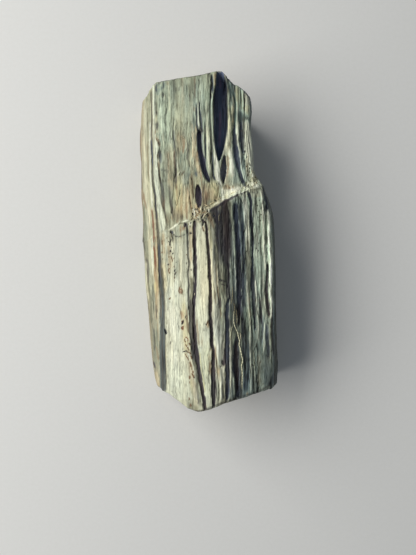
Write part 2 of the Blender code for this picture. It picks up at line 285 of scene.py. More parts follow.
def close_sections(top):
    """Adds the hidden wall, the base and the left rise to every row."""
    left, right = top[:, 0], top[:, -1]
    parts = [top]
    f = (np.arange(1, WALL_COLUMNS + 1) / WALL_COLUMNS)[None, :]
    x = right[:, :1] - 1.5 * f ** 3
    z = right[:, 2:] * (1 - f)
    y = np.repeat(right[:, 1:2], WALL_COLUMNS, 1)
    parts.append(np.stack([x, y, z], -1))
    f = (np.arange(1, BASE_COLUMNS + 1) / BASE_COLUMNS)[None, :]
    br, bl = right[:, :1] - 1.5, left[:, :1] + 1.5
    x = br + (bl - br) * f
    y = right[:, 1:2] + (left[:, 1:2] - right[:, 1:2]) * f
    parts.append(np.stack([x, y, np.zeros_like(x)], -1))
    f = (np.arange(1, RISE_COLUMNS) / RISE_COLUMNS)[None, :]
    x = left[:, :1] + 1.5 * (1 - f) ** 2
    y = np.repeat(left[:, 1:2], RISE_COLUMNS - 1, 1)
    z = left[:, 2:] * f
    parts.append(np.stack([x, y, z], -1))
    return np.concatenate(parts, 1)


TOP, KIND, COLUMN_S = top_grid()
LOOP = close_sections(TOP)
ROWS, COLS = LOOP.shape[:2]
PLAN_U, PLAN_V = to_plan(TOP[..., 0], TOP[..., 1], TOP[..., 2])

# Distance round the section and along the grain, for the wood's figure.
_step = np.linalg.norm(np.diff(LOOP[:, :, [0, 2]], axis=1), axis=2).mean(0)
GIRTH = np.concatenate([[0.0], np.cumsum(_step)])
_gx = np.repeat(GIRTH[None, :], ROWS, 0)
_gy = LOOP[..., 1]
IS_SPLIT = (KIND >= 0.5)[:, None] & np.ones((1, COLS), bool)


def macro_normals(grid):
    dx = np.roll(grid, -1, 1) - np.roll(grid, 1, 1)
    dy = np.gradient(grid, axis=0)
    n = np.cross(dx, dy)
    n /= np.linalg.norm(n, axis=2, keepdims=True) + 1e-12
    return n


NORMAL = macro_normals(LOOP)
if NORMAL[ROWS // 3, TOP_COLUMNS // 2, 2] < 0:
    NORMAL = -NORMAL


# -------------------------------------------------------------------- colours
def srgb(r, g, b):
    """A colour as it looks; it is made linear when the mesh gets it."""
    return np.array([r, g, b], float) / 255.0


INK = {
    "K": srgb(72, 64, 68),      # nearly black, in splits
    "N": srgb(75, 79, 91),      # blue-black
    "D": srgb(82, 80, 75),      # dark grey
    "O": srgb(116, 114, 94),    # olive grey
    "G": srgb(154, 156, 134),   # grey-green
    "P": srgb(196, 202, 178),   # pale green-grey
    "C": srgb(214, 206, 176),   # cream
    "W": srgb(236, 234, 212),   # brightest cream
    "Y": srgb(204, 196, 152),   # yellowish
    "T": srgb(190, 166, 130),   # tan
    "B": srgb(136, 110, 84),    # brown
    "R": srgb(140, 96, 72),    # red-brown
    "S": srgb(100, 96, 84),    # slate stain
    "Q": srgb(230, 227, 203),   # pale ridges of the right side
    "Z": srgb(182, 186, 160),   # grey-green of the right side
    "H1": srgb(178, 176, 146),  # washes: left side
    "H2": srgb(174, 169, 143),
    "H3": srgb(150, 140, 118),
    "H4": srgb(178, 170, 138),
    "H5": srgb(222, 210, 170),
    "M1": srgb(165, 169, 144),  # upper face
    "M2": srgb(160, 167, 147),
    "M3": srgb(150, 152, 132),
    "L1": srgb(200, 217, 198),  # pale wood
    "L2": srgb(226, 234, 210),
    "L3": srgb(206, 204, 179),
    "L4": srgb(217, 214, 188),
    "L5": srgb(240, 236, 211),
    "T2": srgb(170, 154, 126),
    "S2": srgb(92, 106, 100),   # teal stains
    "S3": srgb(146, 162, 150),
    "W2": srgb(255, 250, 226),
    # V is also painted shade: the dark block just below the saw cut is laid with it.
    "V": srgb(54, 47, 50),      # the darkest stains
    "U": srgb(82, 90, 91),
    "X": srgb(38, 44, 52),      # a deep little hole
    "L6": srgb(222, 222, 198),
    "W1": srgb(250, 246, 218),
    "P1": srgb(184, 197, 176),  # right of the crest
    "P2": srgb(148, 160, 147),
    # E1 is partly painted shade: its wash darkens the flank just below the saw cut, over a dark stain there.
    "E1": srgb(84, 79, 76),
    "E2": srgb(112, 118, 112),
    "E3": srgb(142, 148, 140),
    "F1": srgb(172, 170, 146),
    "R1": srgb(150, 166, 164),
}

# Strokes: ink, strength, softness, depth in mm (raised if negative), then
# marks (v, u, half width). Later strokes lie over earlier ones.
STROKES = []


def stroke(ink, strength, depth, *marks, soft=0.6, fade=2.5):
    STROKES.append((ink, strength, soft, depth, fade, np.array(marks, float)))


# Small chips, crumbs and specks are laid down as thin flakes as well.
FLAKES = []


def chip(ink, strength, depth, *marks, soft=0.6, fade=2.5):
    stroke(ink, strength, depth, *marks, soft=soft, fade=fade)
    FLAKES.append((ink, np.array(marks, float)))


# ----------------------------------------------------- strokes: left strip
stroke("T2", 0.6, 0.0, (97, 143.5, 1.2), (120, 141.4, 1.1), (150, 140.8, 1.2), (200, 141.8, 1.3), (235, 142.8, 1.2))
stroke("B", 0.45, 0.0, (128, 140.3, 0.9), (160, 140.9, 0.9), (200, 141.9, 1.0), (212, 142.6, 0.9))
stroke("C", 0.35, -0.06, (100, 146.0, 1.8), (125, 145.0, 1.8), (160, 144.8, 1.6), (205, 145.8, 1.7))
stroke("T2", 0.45, 0.05, (110, 143.6, 0.5), (135, 142.8, 0.6), (160, 143.2, 0.6), (185, 144.0, 0.6))
stroke("B", 0.50, 0.10, (142, 147.2, 0.5), (154, 147.4, 0.7), (166, 147.9, 0.6), (178, 148.6, 0.5))
stroke("D", 0.45, 0.10, (120, 139.9, 0.7), (132, 139.6, 0.8), (150, 139.8, 0.6), (170, 141.2, 0.5), (190, 141.4, 0.6))
stroke("C", 0.4, -0.06, (132, 144.6, 0.8), (150, 144.6, 0.8), (162, 145.0, 0.6))
stroke("O", 0.6, 0.18, (112, 147.4, 0.5), (125, 147.6, 0.6), (145, 147.6, 0.6), (168, 148.0, 0.6), (182, 148.8, 0.5))
stroke("W", 0.7, -0.14, (122, 149.8, 0.9), (150, 150.1, 0.9), (175, 150.3, 0.8), (195, 151.2, 0.9), (212, 152.2, 0.7))
stroke("C", 0.45, -0.06, (178, 146.0, 1.2), (196, 147.6, 1.3), (214, 148.2, 1.4))
stroke("B", 0.7, 0.15, (192, 143.4, 0.7), (199, 144.2, 0.9), (205, 145.6, 0.8), (210, 146.6, 0.5))
stroke("D", 0.55, 0.10, (222, 143.4, 1.2), (230, 143.6, 1.3), (236, 143.4, 0.9))
stroke("D", 0.85, 0.20, (236, 143.4, 0.8), (242, 143.8, 1.4), (247, 144.6, 1.1), (252, 145.4, 0.7), soft=0.6)
stroke("O", 0.60, 0.10, (250, 145.6, 0.9), (257, 146.4, 1.1), (262, 147.2, 0.9))
stroke("O", 0.55, 0.05, (205, 143.2, 1.2), (222, 144.2, 1.4), (240, 145.4, 1.5), (256, 147.0, 1.4))
stroke("C", 0.70, -0.10, (205, 148.0, 1.6), (225, 149.2, 1.6), (245, 150.0, 1.5), (262, 151.0, 1.3), (276, 151.8, 1.0))
stroke("G", 0.55, 0.0, (222, 145.4, 1.4), (238, 145.6, 1.8), (256, 146.8, 1.6), fade=4)
stroke("D", 0.65, 0.16, (258, 146.4, 0.8), (266, 147.8, 1.3), (274, 148.0, 1.1), (284, 148.4, 0.8))
stroke("C", 0.7, -0.10, (262, 146.0, 1.0), (280, 146.4, 1.2), (292, 147.2, 1.4), (300, 148.6, 1.2))
stroke("O", 0.75, 0.22, (280, 148.0, 0.8), (291, 149.5, 0.8), (300, 151.0, 0.9), (312, 151.2, 0.9), (324, 151.6, 0.8))
stroke("T", 0.6, -0.05, (208, 152.0, 1.0), (235, 155.2, 0.8), (262, 156.5, 0.9), (290, 156.5, 1.6), (320, 156.8, 1.8))
stroke("R", 0.85, 0.12, (209, 151.2, 0.5), (222, 152.8, 0.8), (230, 153.2, 0.7), (237, 153.7, 0.8), (243, 153.3, 0.5))
stroke("R", 0.75, 0.14, (246, 153.4, 0.6), (252, 154.2, 0.8), (258, 154.8, 0.9), (264, 155.0, 0.7), (274, 155.0, 0.5), (282, 155.8, 0.4))
stroke("B", 0.75, 0.14, (251, 154.0, 0.5), (257, 154.8, 0.6), (262, 155.0, 0.5))
stroke("W", 0.65, -0.08, (236, 151.6, 0.7), (248, 151.8, 1.0), (262, 152.4, 0.9), (276, 153.2, 0.6), fade=3)
stroke("T", 0.60, 0.0, (244, 156.4, 0.6), (256, 157.0, 0.6), (268, 157.4, 0.6), fade=3)
stroke("B", 0.25, 0.0, (270, 155.0, 0.9), (285, 156.4, 1.2), (297, 156.6, 1.0))
stroke("O", 0.65, 0.14, (284, 152.4, 0.5), (294, 152.6, 0.8), (303, 153.4, 0.8), (312, 154.2, 0.5))
stroke("D", 0.75, 0.14, (304, 156.0, 0.4), (309, 156.3, 0.8), (313, 156.5, 0.7), (319, 156.7, 0.4))
stroke("B", 0.50, 0.08, (322, 157.4, 0.5), (332, 157.6, 0.5), (342, 158.4, 0.5))
stroke("C", 0.45, -0.06, (296, 158.0, 1.0), (310, 158.4, 1.0), (330, 158.2, 0.9))
stroke("G", 0.55, 0.0, (328, 154.5, 2.4), (345, 156.0, 2.8), (366, 157.0, 2.6), fade=6)
stroke("B", 0.55, 0.10, (346, 156.0, 0.7), (354, 157.6, 0.9), (361, 158.6, 0.7))
stroke("D", 0.55, 0.10, (328, 153.4, 0.8), (338, 154.4, 0.9), (350, 154.4, 0.8))
stroke("K", 0.8, 0.35, (361, 153.3, 0.6), (364, 154.0, 0.9), (368, 155.6, 0.6), fade=1.5)
stroke("T", 0.75, -0.05, (371, 155.8, 1.2), (380, 157.2, 1.5), (387, 158.6, 1.0))
stroke("C", 0.45, 0.0, (372, 157.0, 0.8), (384, 158.0, 0.9))

# ------------------------------------------------------ groove beside it
stroke("S", 0.95, 0.55, (90, 150.6, 0.9), (97, 151.0, 0.9), (112, 151.5, 0.8), (130, 151.5, 0.9), (146, 151.8, 0.9),
       (160, 152.2, 0.9), (172, 152.2, 0.7), (180, 152.6, 0.8), (188, 153.7, 0.9), (196, 155.0, 0.9),
       (207, 155.6, 0.9), (220, 156.9, 1.0), (235, 158.1, 1.3), (247, 158.7, 1.5), (256, 159.5, 2.0),
       (266, 160.3, 2.1), (276, 160.8, 2.2), (285, 161.7, 2.4), (300, 162.4, 2.4), (318, 162.5, 2.6),
       (335, 162.7, 2.6), (352, 162.8, 2.8), (372, 163.0, 2.7), (392, 163.4, 2.6), soft=0.35)
stroke("U", 0.80, 0.05, (276, 160.4, 1.6), (290, 161.2, 1.9), (306, 161.8, 2.0), (322, 161.8, 2.0), (340, 162.4, 2.2), (356, 162.4, 2.2), (374, 162.4, 2.2), (392, 162.8, 2.2), soft=0.6)
stroke("N", 0.75, 0.15, (140, 151.6, 0.6), (158, 152.2, 0.7), (166, 152.3, 0.5))
stroke("N", 0.6, 0.12, (186, 153.8, 0.5), (196, 155.1, 0.6), (208, 155.7, 0.6), (220, 156.8, 0.6))
stroke("N", 0.75, 0.25, (244, 158.4, 0.7), (256, 159.2, 0.9), (266, 159.4, 0.9), (276, 159.8, 0.8), (284, 160.2, 0.5))
stroke("D", 0.65, 0.15, (294, 162.9, 0.8), (306, 163.6, 0.9), (318, 163.3, 0.9), (330, 162.3, 0.9), (350, 162.4, 0.9), (372, 162.4, 0.8), (390, 163.0, 1.2))
stroke("B", 0.35, 0.0, (290, 160.4, 0.6), (305, 161.0, 0.7), (318, 161.0, 0.6))
stroke("V", 0.95, 0.8, (329.2, 164.8, 0.8), (330.6, 165.2, 1.1), (332.2, 165.8, 1.3), (334.0, 166.6, 0.6), fade=0.6, soft=0.3)

# --------------------------------------------------------- bright ridge
stroke("L6", 0.95, -0.22, (84, 153.2, 1.2), (95, 153.2, 1.2), (106, 153.4, 1.1), (118, 154.3, 1.7), (127, 153.8, 1.0),
       (136, 154.4, 1.2), (143, 156.2, 1.9), (152, 156.2, 1.8), (162, 155.6, 1.7), (172, 155.8, 1.9),
       (182, 156.8, 2.0), (192, 158.0, 2.0), (202, 158.6, 2.0), (212, 160.2, 2.2), (222, 162.0, 2.6), (232, 163.4, 2.4), soft=0.4)
stroke("Y", 0.5, 0.0, (113, 155.8, 0.9), (119, 155.8, 1.1), (124, 155.2, 0.8))
stroke("B", 0.75, 0.20, (111, 156.4, 0.8), (114, 156.2, 0.9), fade=1.5)
stroke("D", 0.7, 0.25, (122, 157.6, 0.7), (127, 157.0, 1.0), (130, 156.0, 0.7), fade=1.5)
stroke("B", 0.6, 0.15, (130, 155.4, 0.5), (134, 155.0, 0.6), fade=1.2)
stroke("B", 0.85, 0.20, (137.5, 155.6, 0.8), (140, 157.2, 0.9), fade=1.2)
stroke("B", 0.85, 0.30, (140, 159.0, 0.8), (142.5, 159.0, 1.1), (146, 159.8, 0.6), fade=1.5)
stroke("O", 0.7, 0.30, (150.5, 160.2, 1.0), (154, 159.0, 1.4), (158, 158.4, 1.2), (160, 158.6, 0.9), fade=1.5)
stroke("B", 0.7, 0.15, (153.5, 157.6, 0.6), (157.5, 157.8, 0.7), fade=1.2)
stroke("B", 0.8, 0.25, (161, 158.2, 0.5), (170, 159.1, 0.6), (177, 159.9, 0.6), (184, 160.9, 0.6))
stroke("D", 0.80, 0.30, (176, 160.0, 0.5), (184, 161.4, 1.0), (191, 162.6, 1.7), (199, 163.0, 2.0), (206, 163.6, 1.5), (212, 164.6, 0.9), (219, 166.2, 0.6), (225, 167.6, 0.4), soft=0.4)
stroke("B", 0.60, 0.10, (199, 164.4, 0.5), (205, 163.6, 0.7), (210, 164.2, 0.5), fade=1)
stroke("B", 0.4, 0.0, (196, 162.0, 0.6), (204, 162.2, 0.7), (210, 162.8, 0.5))

# ------------------------------------------------ far left chipped corner
stroke("S2", 0.55, 0.15, (87, 158.4, 2.0), (92, 157.8, 2.2), (96, 157.6, 1.2), soft=0.7, fade=2)
stroke("N", 0.75, 0.30, (84, 156.6, 0.9), (88, 155.8, 1.1), (92, 156.2, 0.9), soft=0.5, fade=1)
stroke("U", 0.70, 0.25, (81.5, 159.2, 1.1), (84.5, 158.8, 1.0), soft=0.6, fade=1)
stroke("U", 0.65, 0.20, (81.5, 164.0, 1.1), (85, 163.8, 1.0), (88, 163.2, 0.8), soft=0.6, fade=1)
stroke("U", 0.60, 0.20, (86, 161.8, 0.9), (90, 161.4, 0.8), soft=0.6, fade=1)
stroke("D", 0.85, 0.35, (92.5, 162.4, 0.7), (94.5, 163.0, 1.1), (96.5, 163.4, 0.8), soft=0.5, fade=0.8)
stroke("C", 0.60, -0.05, (94.5, 164.6, 0.6), (98.5, 165.2, 0.8), fade=1.5)
stroke("D", 0.55, 0.15, (100, 164.4, 0.5), (104, 164.5, 0.5), fade=1.5)
stroke("O", 0.65, 0.10, (101, 156.4, 1.0), (108, 156.2, 1.2), (116, 156.4, 0.9), fade=3)
stroke("D", 0.55, 0.15, (110.5, 157.0, 0.8), (115, 157.0, 0.9), fade=1.5)
stroke("D", 0.55, 0.15, (122, 156.6, 1.0), (126, 156.8, 1.2), (129, 157.2, 0.8), fade=2)
stroke("B", 0.55, 0.10, (139, 156.4, 0.8), (142, 158.6, 1.0), (146, 159.2, 0.6), fade=1.5)
stroke("D", 0.60, 0.15, (141.5, 158.8, 0.7), (144.5, 159.2, 0.8), fade=1)
stroke("B", 0.45, 0.10, (82.6, 158.4, 1.0), (83, 160.6, 0.9), fade=1.2)
stroke("B", 0.45, 0.10, (81.6, 167.6, 1.6), (85, 167.4, 1.0), fade=1.5)
stroke("B", 0.40, 0.0, (77.5, 181.6, 1.2), (81, 181.6, 0.7), fade=1.6)
stroke("D", 0.65, 0.15, (78.7, 181.6, 0.8), (83.3, 181.4, 0.7), fade=1.0)
stroke("K", 0.6, 0.05, (79.0, 173.2, 0.7), (79.6, 173.2, 0.6), fade=0.8)

# ------------------------------------------------- upper face, left part
# Thin lines from the far end down to the middle.
stroke("O", 0.60, 0.12, (86, 176.6, 0.5), (98, 176.9, 0.6), (110, 177.2, 0.5))
stroke("D", 0.55, 0.12, (87, 178.6, 0.5), (91, 178.6, 0.5), fade=1)
stroke("O", 0.60, 0.12, (103, 182.0, 0.5), (107, 182.2, 0.5), fade=1.5)
stroke("O", 0.60, 0.12, (122, 181.8, 0.5), (127, 182.2, 0.5), fade=1.5)
stroke("O", 0.60, 0.12, (111, 171.2, 0.5), (124, 171.4, 0.5), fade=2)
stroke("O", 0.55, 0.10, (83, 188.4, 1.0), (90, 188.8, 1.2), (98, 189.2, 0.9))
stroke("D", 0.60, 0.12, (94, 189.2, 0.5), (102, 189.3, 0.5), fade=2)
stroke("O", 0.50, 0.08, (121, 190.0, 0.6), (128, 190.6, 0.7), fade=2)
stroke("O", 0.50, 0.08, (122, 187.0, 0.6), (125, 187.2, 0.6), fade=1)
stroke("B", 0.45, 0.05, (77, 194.2, 0.8), (88, 194.4, 0.9), (98, 194.4, 0.7))
stroke("D", 0.60, 0.12, (83, 195.2, 0.5), (89, 195.4, 0.6), fade=1.5)
stroke("B", 0.50, 0.08, (106, 193.4, 0.7), (112, 193.8, 0.7), fade=2)
stroke("T", 0.55, 0.0, (124, 192.0, 0.7), (130, 192.2, 0.7), fade=2)
stroke("T", 0.60, -0.04, (126, 194.8, 1.0), (133, 195.6, 1.2), fade=2)
stroke("C", 0.55, -0.08, (76, 182.6, 0.7), (90, 182.4, 0.7), (104, 183.6, 0.6))
stroke("P", 0.55, -0.08, (84, 172.4, 0.8), (102, 172.8, 0.8), (118, 173.0, 0.8))
stroke("C", 0.45, -0.06, (84, 168.8, 0.6), (98, 169.0, 0.7), (112, 169.2, 0.6))
stroke("P", 0.45, -0.06, (88, 180.4, 0.6), (104, 180.0, 0.7), (120, 179.8, 0.6))
stroke("P", 0.45, -0.06, (92, 186.0, 0.6), (106, 186.4, 0.7), (120, 186.0, 0.6))
stroke("C", 0.45, -0.06, (100, 192.0, 0.6), (112, 191.6, 0.7), (122, 191.6, 0.5))
stroke("P", 0.55, -0.06, (106, 161.0, 0.8), (120, 161.4, 0.8), (132, 162.0, 0.8), (142, 163.6, 0.8))
stroke("S3", 0.45, 0.0, (132, 159.4, 0.8), (144, 160.2, 0.9), fade=3)
stroke("O", 0.45, 0.06, (132, 166.6, 0.5), (141, 166.2, 0.5), (150, 166.6, 0.4))
stroke("C", 0.55, -0.08, (133, 163.2, 0.6), (146, 164.0, 0.6), fade=3)
# The pale line and the dark one beside it, down to the middle.
stroke("W", 0.35, 0.0, (128, 169.8, 0.9), (138, 170.2, 1.2), (147, 170.8, 0.9))
stroke("N", 0.35, 0.14, (130, 173.8, 0.6), (138, 174.2, 0.9), (146, 174.4, 0.9), (150, 174.6, 0.6))
stroke("D", 0.60, 0.18, (125, 173.4, 0.4), (136, 173.4, 0.5), (147, 174.8, 0.6), (158, 175.2, 0.6))
stroke("D", 0.90, 0.35, (156, 175.0, 0.6), (164, 175.2, 0.8), (171, 175.5, 1.0), (176, 175.7, 1.2), (180, 175.4, 1.1), (184, 175.8, 0.7), (190, 176.8, 0.4), soft=0.45)
stroke("R", 0.45, 0.0, (150, 174.0, 0.6), (160, 174.2, 0.8), (170, 174.6, 0.7))
stroke("K", 0.70, 0.20, (168, 175.2, 0.5), (173, 175.8, 0.8), (177, 175.4, 0.8), fade=1)
stroke("C", 0.55, -0.08, (140, 177.2, 0.6), (150, 178.0, 0.8), (160, 177.0, 0.8))
stroke("W", 0.45, -0.10, (158, 176.8, 0.6), (165, 177.4, 0.8), (170, 178.0, 0.6))
stroke("S3", 0.45, 0.0, (140, 180.6, 1.0), (154, 180.8, 1.1), (166, 180.2, 0.9), fade=4)
stroke("O", 0.50, 0.10, (141, 179.2, 0.4), (152, 179.2, 0.5), (160, 179.4, 0.4))
stroke("B", 0.65, 0.14, (135, 180.8, 0.6), (140, 182.8, 0.8), (146, 183.4, 0.7), (153, 183.2, 0.4))
stroke("D", 0.50, 0.12, (132, 183.0, 0.9), (136, 183.2, 0.7), fade=1.5)
stroke("O", 0.45, 0.08, (148, 182.2, 0.5), (160, 183.2, 0.5), fade=3)
stroke("C", 0.50, -0.06, (136, 185.6, 0.7), (148, 186.4, 0.7), (154, 186.0, 0.5))
stroke("D", 0.50, 0.12, (141, 187.2, 0.6), (151, 187.4, 1.0), (158, 187.2, 0.9), (162, 187.4, 0.5), fade=3)
stroke("O", 0.45, 0.08, (133, 188.6, 0.5), (146, 189.0, 0.5), (156, 189.4, 0.5))
stroke("D", 0.50, 0.10, (160, 189.4, 0.5), (168, 189.2, 0.6), fade=2)
stroke("C", 0.50, -0.06, (150, 190.6, 0.6), (164, 190.4, 0.6), (172, 190.8, 0.5))
stroke("W", 0.50, -0.12, (171, 180.2, 0.5), (173, 179.0, 0.6), (175.6, 178.0, 0.5), fade=0.8)
stroke("W", 0.70, -0.10, (175.6, 177.6, 0.9), (173.4, 178.8, 0.6), (171.6, 180.0, 0.4), soft=0.4, fade=0.5)
stroke("B", 0.70, 0.15, (171.2, 184.4, 0.6), (173.6, 182.8, 0.7), (175.4, 181.6, 0.4), fade=0.8)
stroke("D", 0.60, 0.12, (172, 183.6, 0.5), (173.6, 182.6, 0.6), fade=0.6)
stroke("Q", 0.45, -0.04, (170, 181.0, 0.6), (173, 180.6, 0.7), fade=0.8)
stroke("Y", 0.50, 0.0, (158, 170.8, 1.2), (168, 171.2, 1.6), (178, 171.0, 1.4), (188, 171.4, 0.8), soft=0.8, fade=3)
stroke("B", 0.60, 0.12, (152, 168.0, 0.5), (162, 168.2, 0.6), (170, 168.6, 0.7), fade=2)
stroke("D", 0.55, 0.14, (169, 160.6, 0.8), (170.4, 163.6, 0.8), (170.6, 168.0, 0.7), fade=1.2)
stroke("D", 0.50, 0.10, (171, 167.6, 0.6), (174.5, 167.8, 0.7), fade=1)
stroke("D", 0.55, 0.14, (150, 159.6, 0.9), (156, 159.6, 1.3), (161, 160.0, 0.9), soft=0.8, fade=2)
stroke("N", 0.35, 0.05, (152, 160.2, 1.4), (158, 160.4, 1.6), (164, 160.6, 0.9), soft=0.8, fade=2)
stroke("O", 0.45, 0.08, (148, 165.4, 0.6), (154, 165.8, 0.8), (160, 165.6, 0.6))
stroke("O", 0.50, 0.10, (172, 162.2, 0.6), (182, 163.4, 0.6), fade=2)
stroke("T", 0.50, 0.0, (172, 168.4, 0.7), (184, 168.8, 0.9), fade=3)
stroke("B", 0.55, 0.08, (184, 176.0, 0.7), (192, 176.8, 1.0), (200, 177.2, 0.9), (208, 177.6, 0.6))
stroke("O", 0.45, 0.06, (192, 173.0, 0.5), (200, 174.6, 0.6), (210, 176.2, 0.5))
stroke("B", 0.45, 0.06, (186, 181.6, 0.4), (198, 182.2, 0.5), (208, 182.8, 0.4))
stroke("C", 0.60, -0.08, (176, 182.8, 1.0), (185, 183.6, 1.2), (200, 184.0, 1.2), (214, 183.6, 1.2))
stroke("R", 0.40, 0.04, (186, 186.8, 0.5), (194, 187.8, 0.8), (198, 188.4, 0.6))
stroke("R", 0.45, 0.06, (205, 186.4, 0.5), (212, 186.6, 0.9), (220, 186.6, 0.8))
stroke("T", 0.30, 0.0, (192, 185.4, 0.6), (204, 185.2, 0.7), (214, 185.0, 0.6))
stroke("C", 0.45, -0.06, (188, 188.8, 0.6), (200, 187.8, 0.7), (212, 188.6, 0.6))
# The olive dip that runs down the left, and the pale ground beside it.
stroke("D", 0.55, 0.16, (186, 169.4, 0.8), (194, 170.0, 1.2), (202, 170.8, 1.3), (210, 172.0, 1.3), (216, 173.0, 0.9), (221, 173.8, 0.5), soft=0.7)
stroke("D", 0.50, 0.12, (198, 170.2, 0.7), (205, 171.4, 1.0), (212, 172.6, 0.8), soft=0.5)
stroke("P", 0.50, 0.0, (198, 166.8, 1.3), (206, 167.4, 1.6), (214, 168.0, 1.2))
stroke("O", 0.60, 0.10, (214, 164.8, 0.5), (222, 166.4, 0.6), (228, 167.2, 0.5))
stroke("B", 0.45, 0.05, (216, 166.8, 0.8), (224, 168.2, 0.9), fade=2)
stroke("B", 0.50, 0.08, (216, 171.0, 0.7), (221, 172.4, 0.8), fade=2)
stroke("D", 0.50, 0.10, (215, 181.2, 0.7), (220, 181.6, 0.8), fade=1.5)
stroke("D", 0.50, 0.10, (213, 177.4, 0.5), (220, 178.0, 0.6), fade=1.5)
stroke("T2", 0.45, 0.0, (150, 168.0, 3.0), (164, 169.0, 4.0), (178, 171.0, 4.0), (192, 172.6, 3.0), soft=0.9, fade=4)
stroke("Y", 0.45, -0.04, (188, 174.6, 1.6), (200, 176.0, 2.0), (212, 178.4, 1.8), soft=0.9, fade=3)
# Beside the slanting split.
stroke("T", 0.60, -0.06, (132, 192.4, 0.9), (146, 192.6, 1.0), (158, 192.4, 0.8))
stroke("C", 0.50, -0.10, (140, 193.8, 0.8), (152, 194.2, 1.2), (162, 193.6, 1.1), (170, 193.4, 0.8))
stroke("B", 0.60, 0.08, (133, 195.4, 0.6), (141, 195.4, 0.6), (147, 195.6, 0.4), fade=2)
stroke("B", 0.65, 0.12, (150, 197.0, 0.8), (157, 197.2, 1.3), (163, 198.0, 1.2), fade=2)
stroke("D", 0.50, 0.10, (155, 197.4, 0.6), (163, 199.2, 0.8), (168, 200.2, 0.6), fade=1.5)
stroke("B", 0.60, 0.08, (164, 198.6, 0.9), (172, 200.2, 1.0), (178, 201.0, 0.8), fade=2)
stroke("D", 0.50, 0.10, (166, 197.0, 0.5), (170, 197.8, 0.6), fade=1)
stroke("N", 0.85, 0.15, (171.5, 196.4, 0.8), (173.6, 196.0, 1.3), (175.8, 195.6, 0.8), soft=0.5, fade=0.7)
stroke("S2", 0.50, 0.0, (169, 194.8, 1.2), (173, 196.4, 1.9), (177, 195.8, 1.4), soft=0.8, fade=1)
stroke("S3", 0.45, 0.05, (166, 187.8, 1.4), (174, 188.6, 1.8), (180, 188.0, 1.2), soft=0.8, fade=2)
stroke("D", 0.45, 0.10, (173, 189.0, 0.5), (180, 189.8, 0.5), fade=2)
stroke("C", 0.50, -0.06, (164, 197.6, 0.7), (171, 198.4, 0.6), fade=2)
stroke("B", 0.50, 0.08, (174, 200.6, 0.8), (186, 201.6, 0.7), (197, 202.6, 0.8), (205, 203.2, 0.8), fade=3)
stroke("O", 0.45, 0.06, (182, 204.0, 0.6), (192, 204.4, 0.6), fade=2)
stroke("R", 0.50, 0.0, (191, 205.4, 1.2), (196, 206.2, 1.5), (200, 205.4, 1.0), fade=2)
stroke("B", 0.75, 0.22, (173, 191.2, 0.4), (182, 192.2, 0.6), (190, 192.6, 0.6), (199, 193.4, 0.5))
stroke("B", 0.80, 0.25, (194, 189.2, 0.4), (200, 190.0, 0.7), (206, 190.6, 0.6), (211, 191.4, 0.5))
stroke("D", 0.45, 0.08, (186, 188.0, 0.5), (196, 189.0, 0.7), fade=2)
stroke("T", 0.5, 0.0, (176, 189.8, 1.0), (190, 190.6, 1.2), (204, 188.8, 1.0))

# ------------------------------------------- upper face, towards the slot
stroke("N", 0.85, 0.45, (103, 195.9, 0.5), (112, 196.1, 0.6), (121, 196.1, 0.6), (127, 196.6, 0.6), (132, 197.8, 0.7))
stroke("N", 0.90, 0.50, (101, 199.2, 0.5), (110, 199.6, 0.7), (118, 200.4, 0.8), (126, 201.0, 0.8), (133, 202.0, 0.9))
stroke("W", 0.75, -0.18, (103, 197.6, 0.7), (112, 197.8, 0.8), (120, 197.8, 0.9), (127, 198.6, 0.7))
stroke("D", 0.75, 0.35, (127, 198.6, 1.0), (130.5, 200.4, 1.8), (133, 201.8, 1.2), fade=1.4)
stroke("P", 0.75, -0.15, (76, 200.6, 1.2), (92, 201.2, 1.2), (106, 202.0, 1.2), (120, 202.8, 1.0), (128, 203.4, 0.8))
stroke("D", 0.75, 0.30, (121, 204.4, 0.4), (128, 204.8, 0.7), (138, 204.8, 0.6))
stroke("N", 0.85, 0.35, (134, 204.8, 0.6), (144, 205.0, 0.7), (152, 205.2, 0.7), (159, 204.9, 0.8), (165, 204.6, 0.6), soft=0.5)
stroke("P", 0.90, -0.25, (133, 202.8, 0.9), (142, 203.0, 1.1), (150, 203.4, 1.0), (158, 203.8, 0.6), soft=0.4)
stroke("S3", 0.55, 0.0, (133, 201.8, 0.5), (142, 202.0, 0.5), (150, 202.6, 0.5), fade=2)
stroke("C", 0.70, -0.15, (100, 206.2, 0.8), (118, 206.6, 1.0), (134, 207.4, 1.3), (146, 208.0, 1.5), (158, 208.4, 1.4), (170, 209.8, 1.0))
stroke("W", 0.50, -0.10, (138, 208.2, 1.2), (148, 208.2, 1.2), (155, 208.2, 0.9))
stroke("D", 0.80, 0.30, (84, 209.8, 0.4), (96, 210.2, 0.6), (108, 209.4, 0.6), (124, 209.8, 0.6), (134, 210.6, 0.8), (146, 211.2, 0.9), (156, 211.8, 0.8))
stroke("K", 0.60, 0.25, (93, 210.2, 0.7), (97, 210.3, 1.0), (100, 210.2, 0.6), fade=1.5)
stroke("O", 0.50, 0.10, (76, 211.6, 0.5), (87, 211.8, 0.5), fade=2)
stroke("P", 0.90, -0.25, (95, 212.4, 0.7), (106, 211.6, 1.2), (118, 212.0, 1.0), (130, 212.4, 0.9), (140, 213.4, 0.8), (150, 213.8, 0.8))
stroke("N", 0.90, 0.60, (74, 211.4, 0.7), (79, 211.4, 1.2), (85, 211.8, 1.0), (92, 211.8, 1.2), fade=2, soft=0.4)
stroke("T", 0.80, -0.20, (73, 214.4, 1.2), (79, 214.2, 1.0), (86, 214.8, 0.7), fade=1.5)
stroke("N", 0.90, 0.55, (152, 212.0, 0.6), (160, 212.2, 0.9), (168, 212.6, 0.9), (175, 213.0, 0.9), (178.4, 214.4, 0.9), (180.4, 215.4, 0.6), fade=2)
stroke("O", 0.60, 0.20, (150, 210.6, 0.8), (158, 210.4, 0.8), (165, 210.0, 0.6))
stroke("C", 0.55, 0.0, (163, 209.0, 0.8), (172, 209.4, 0.8), fade=2)
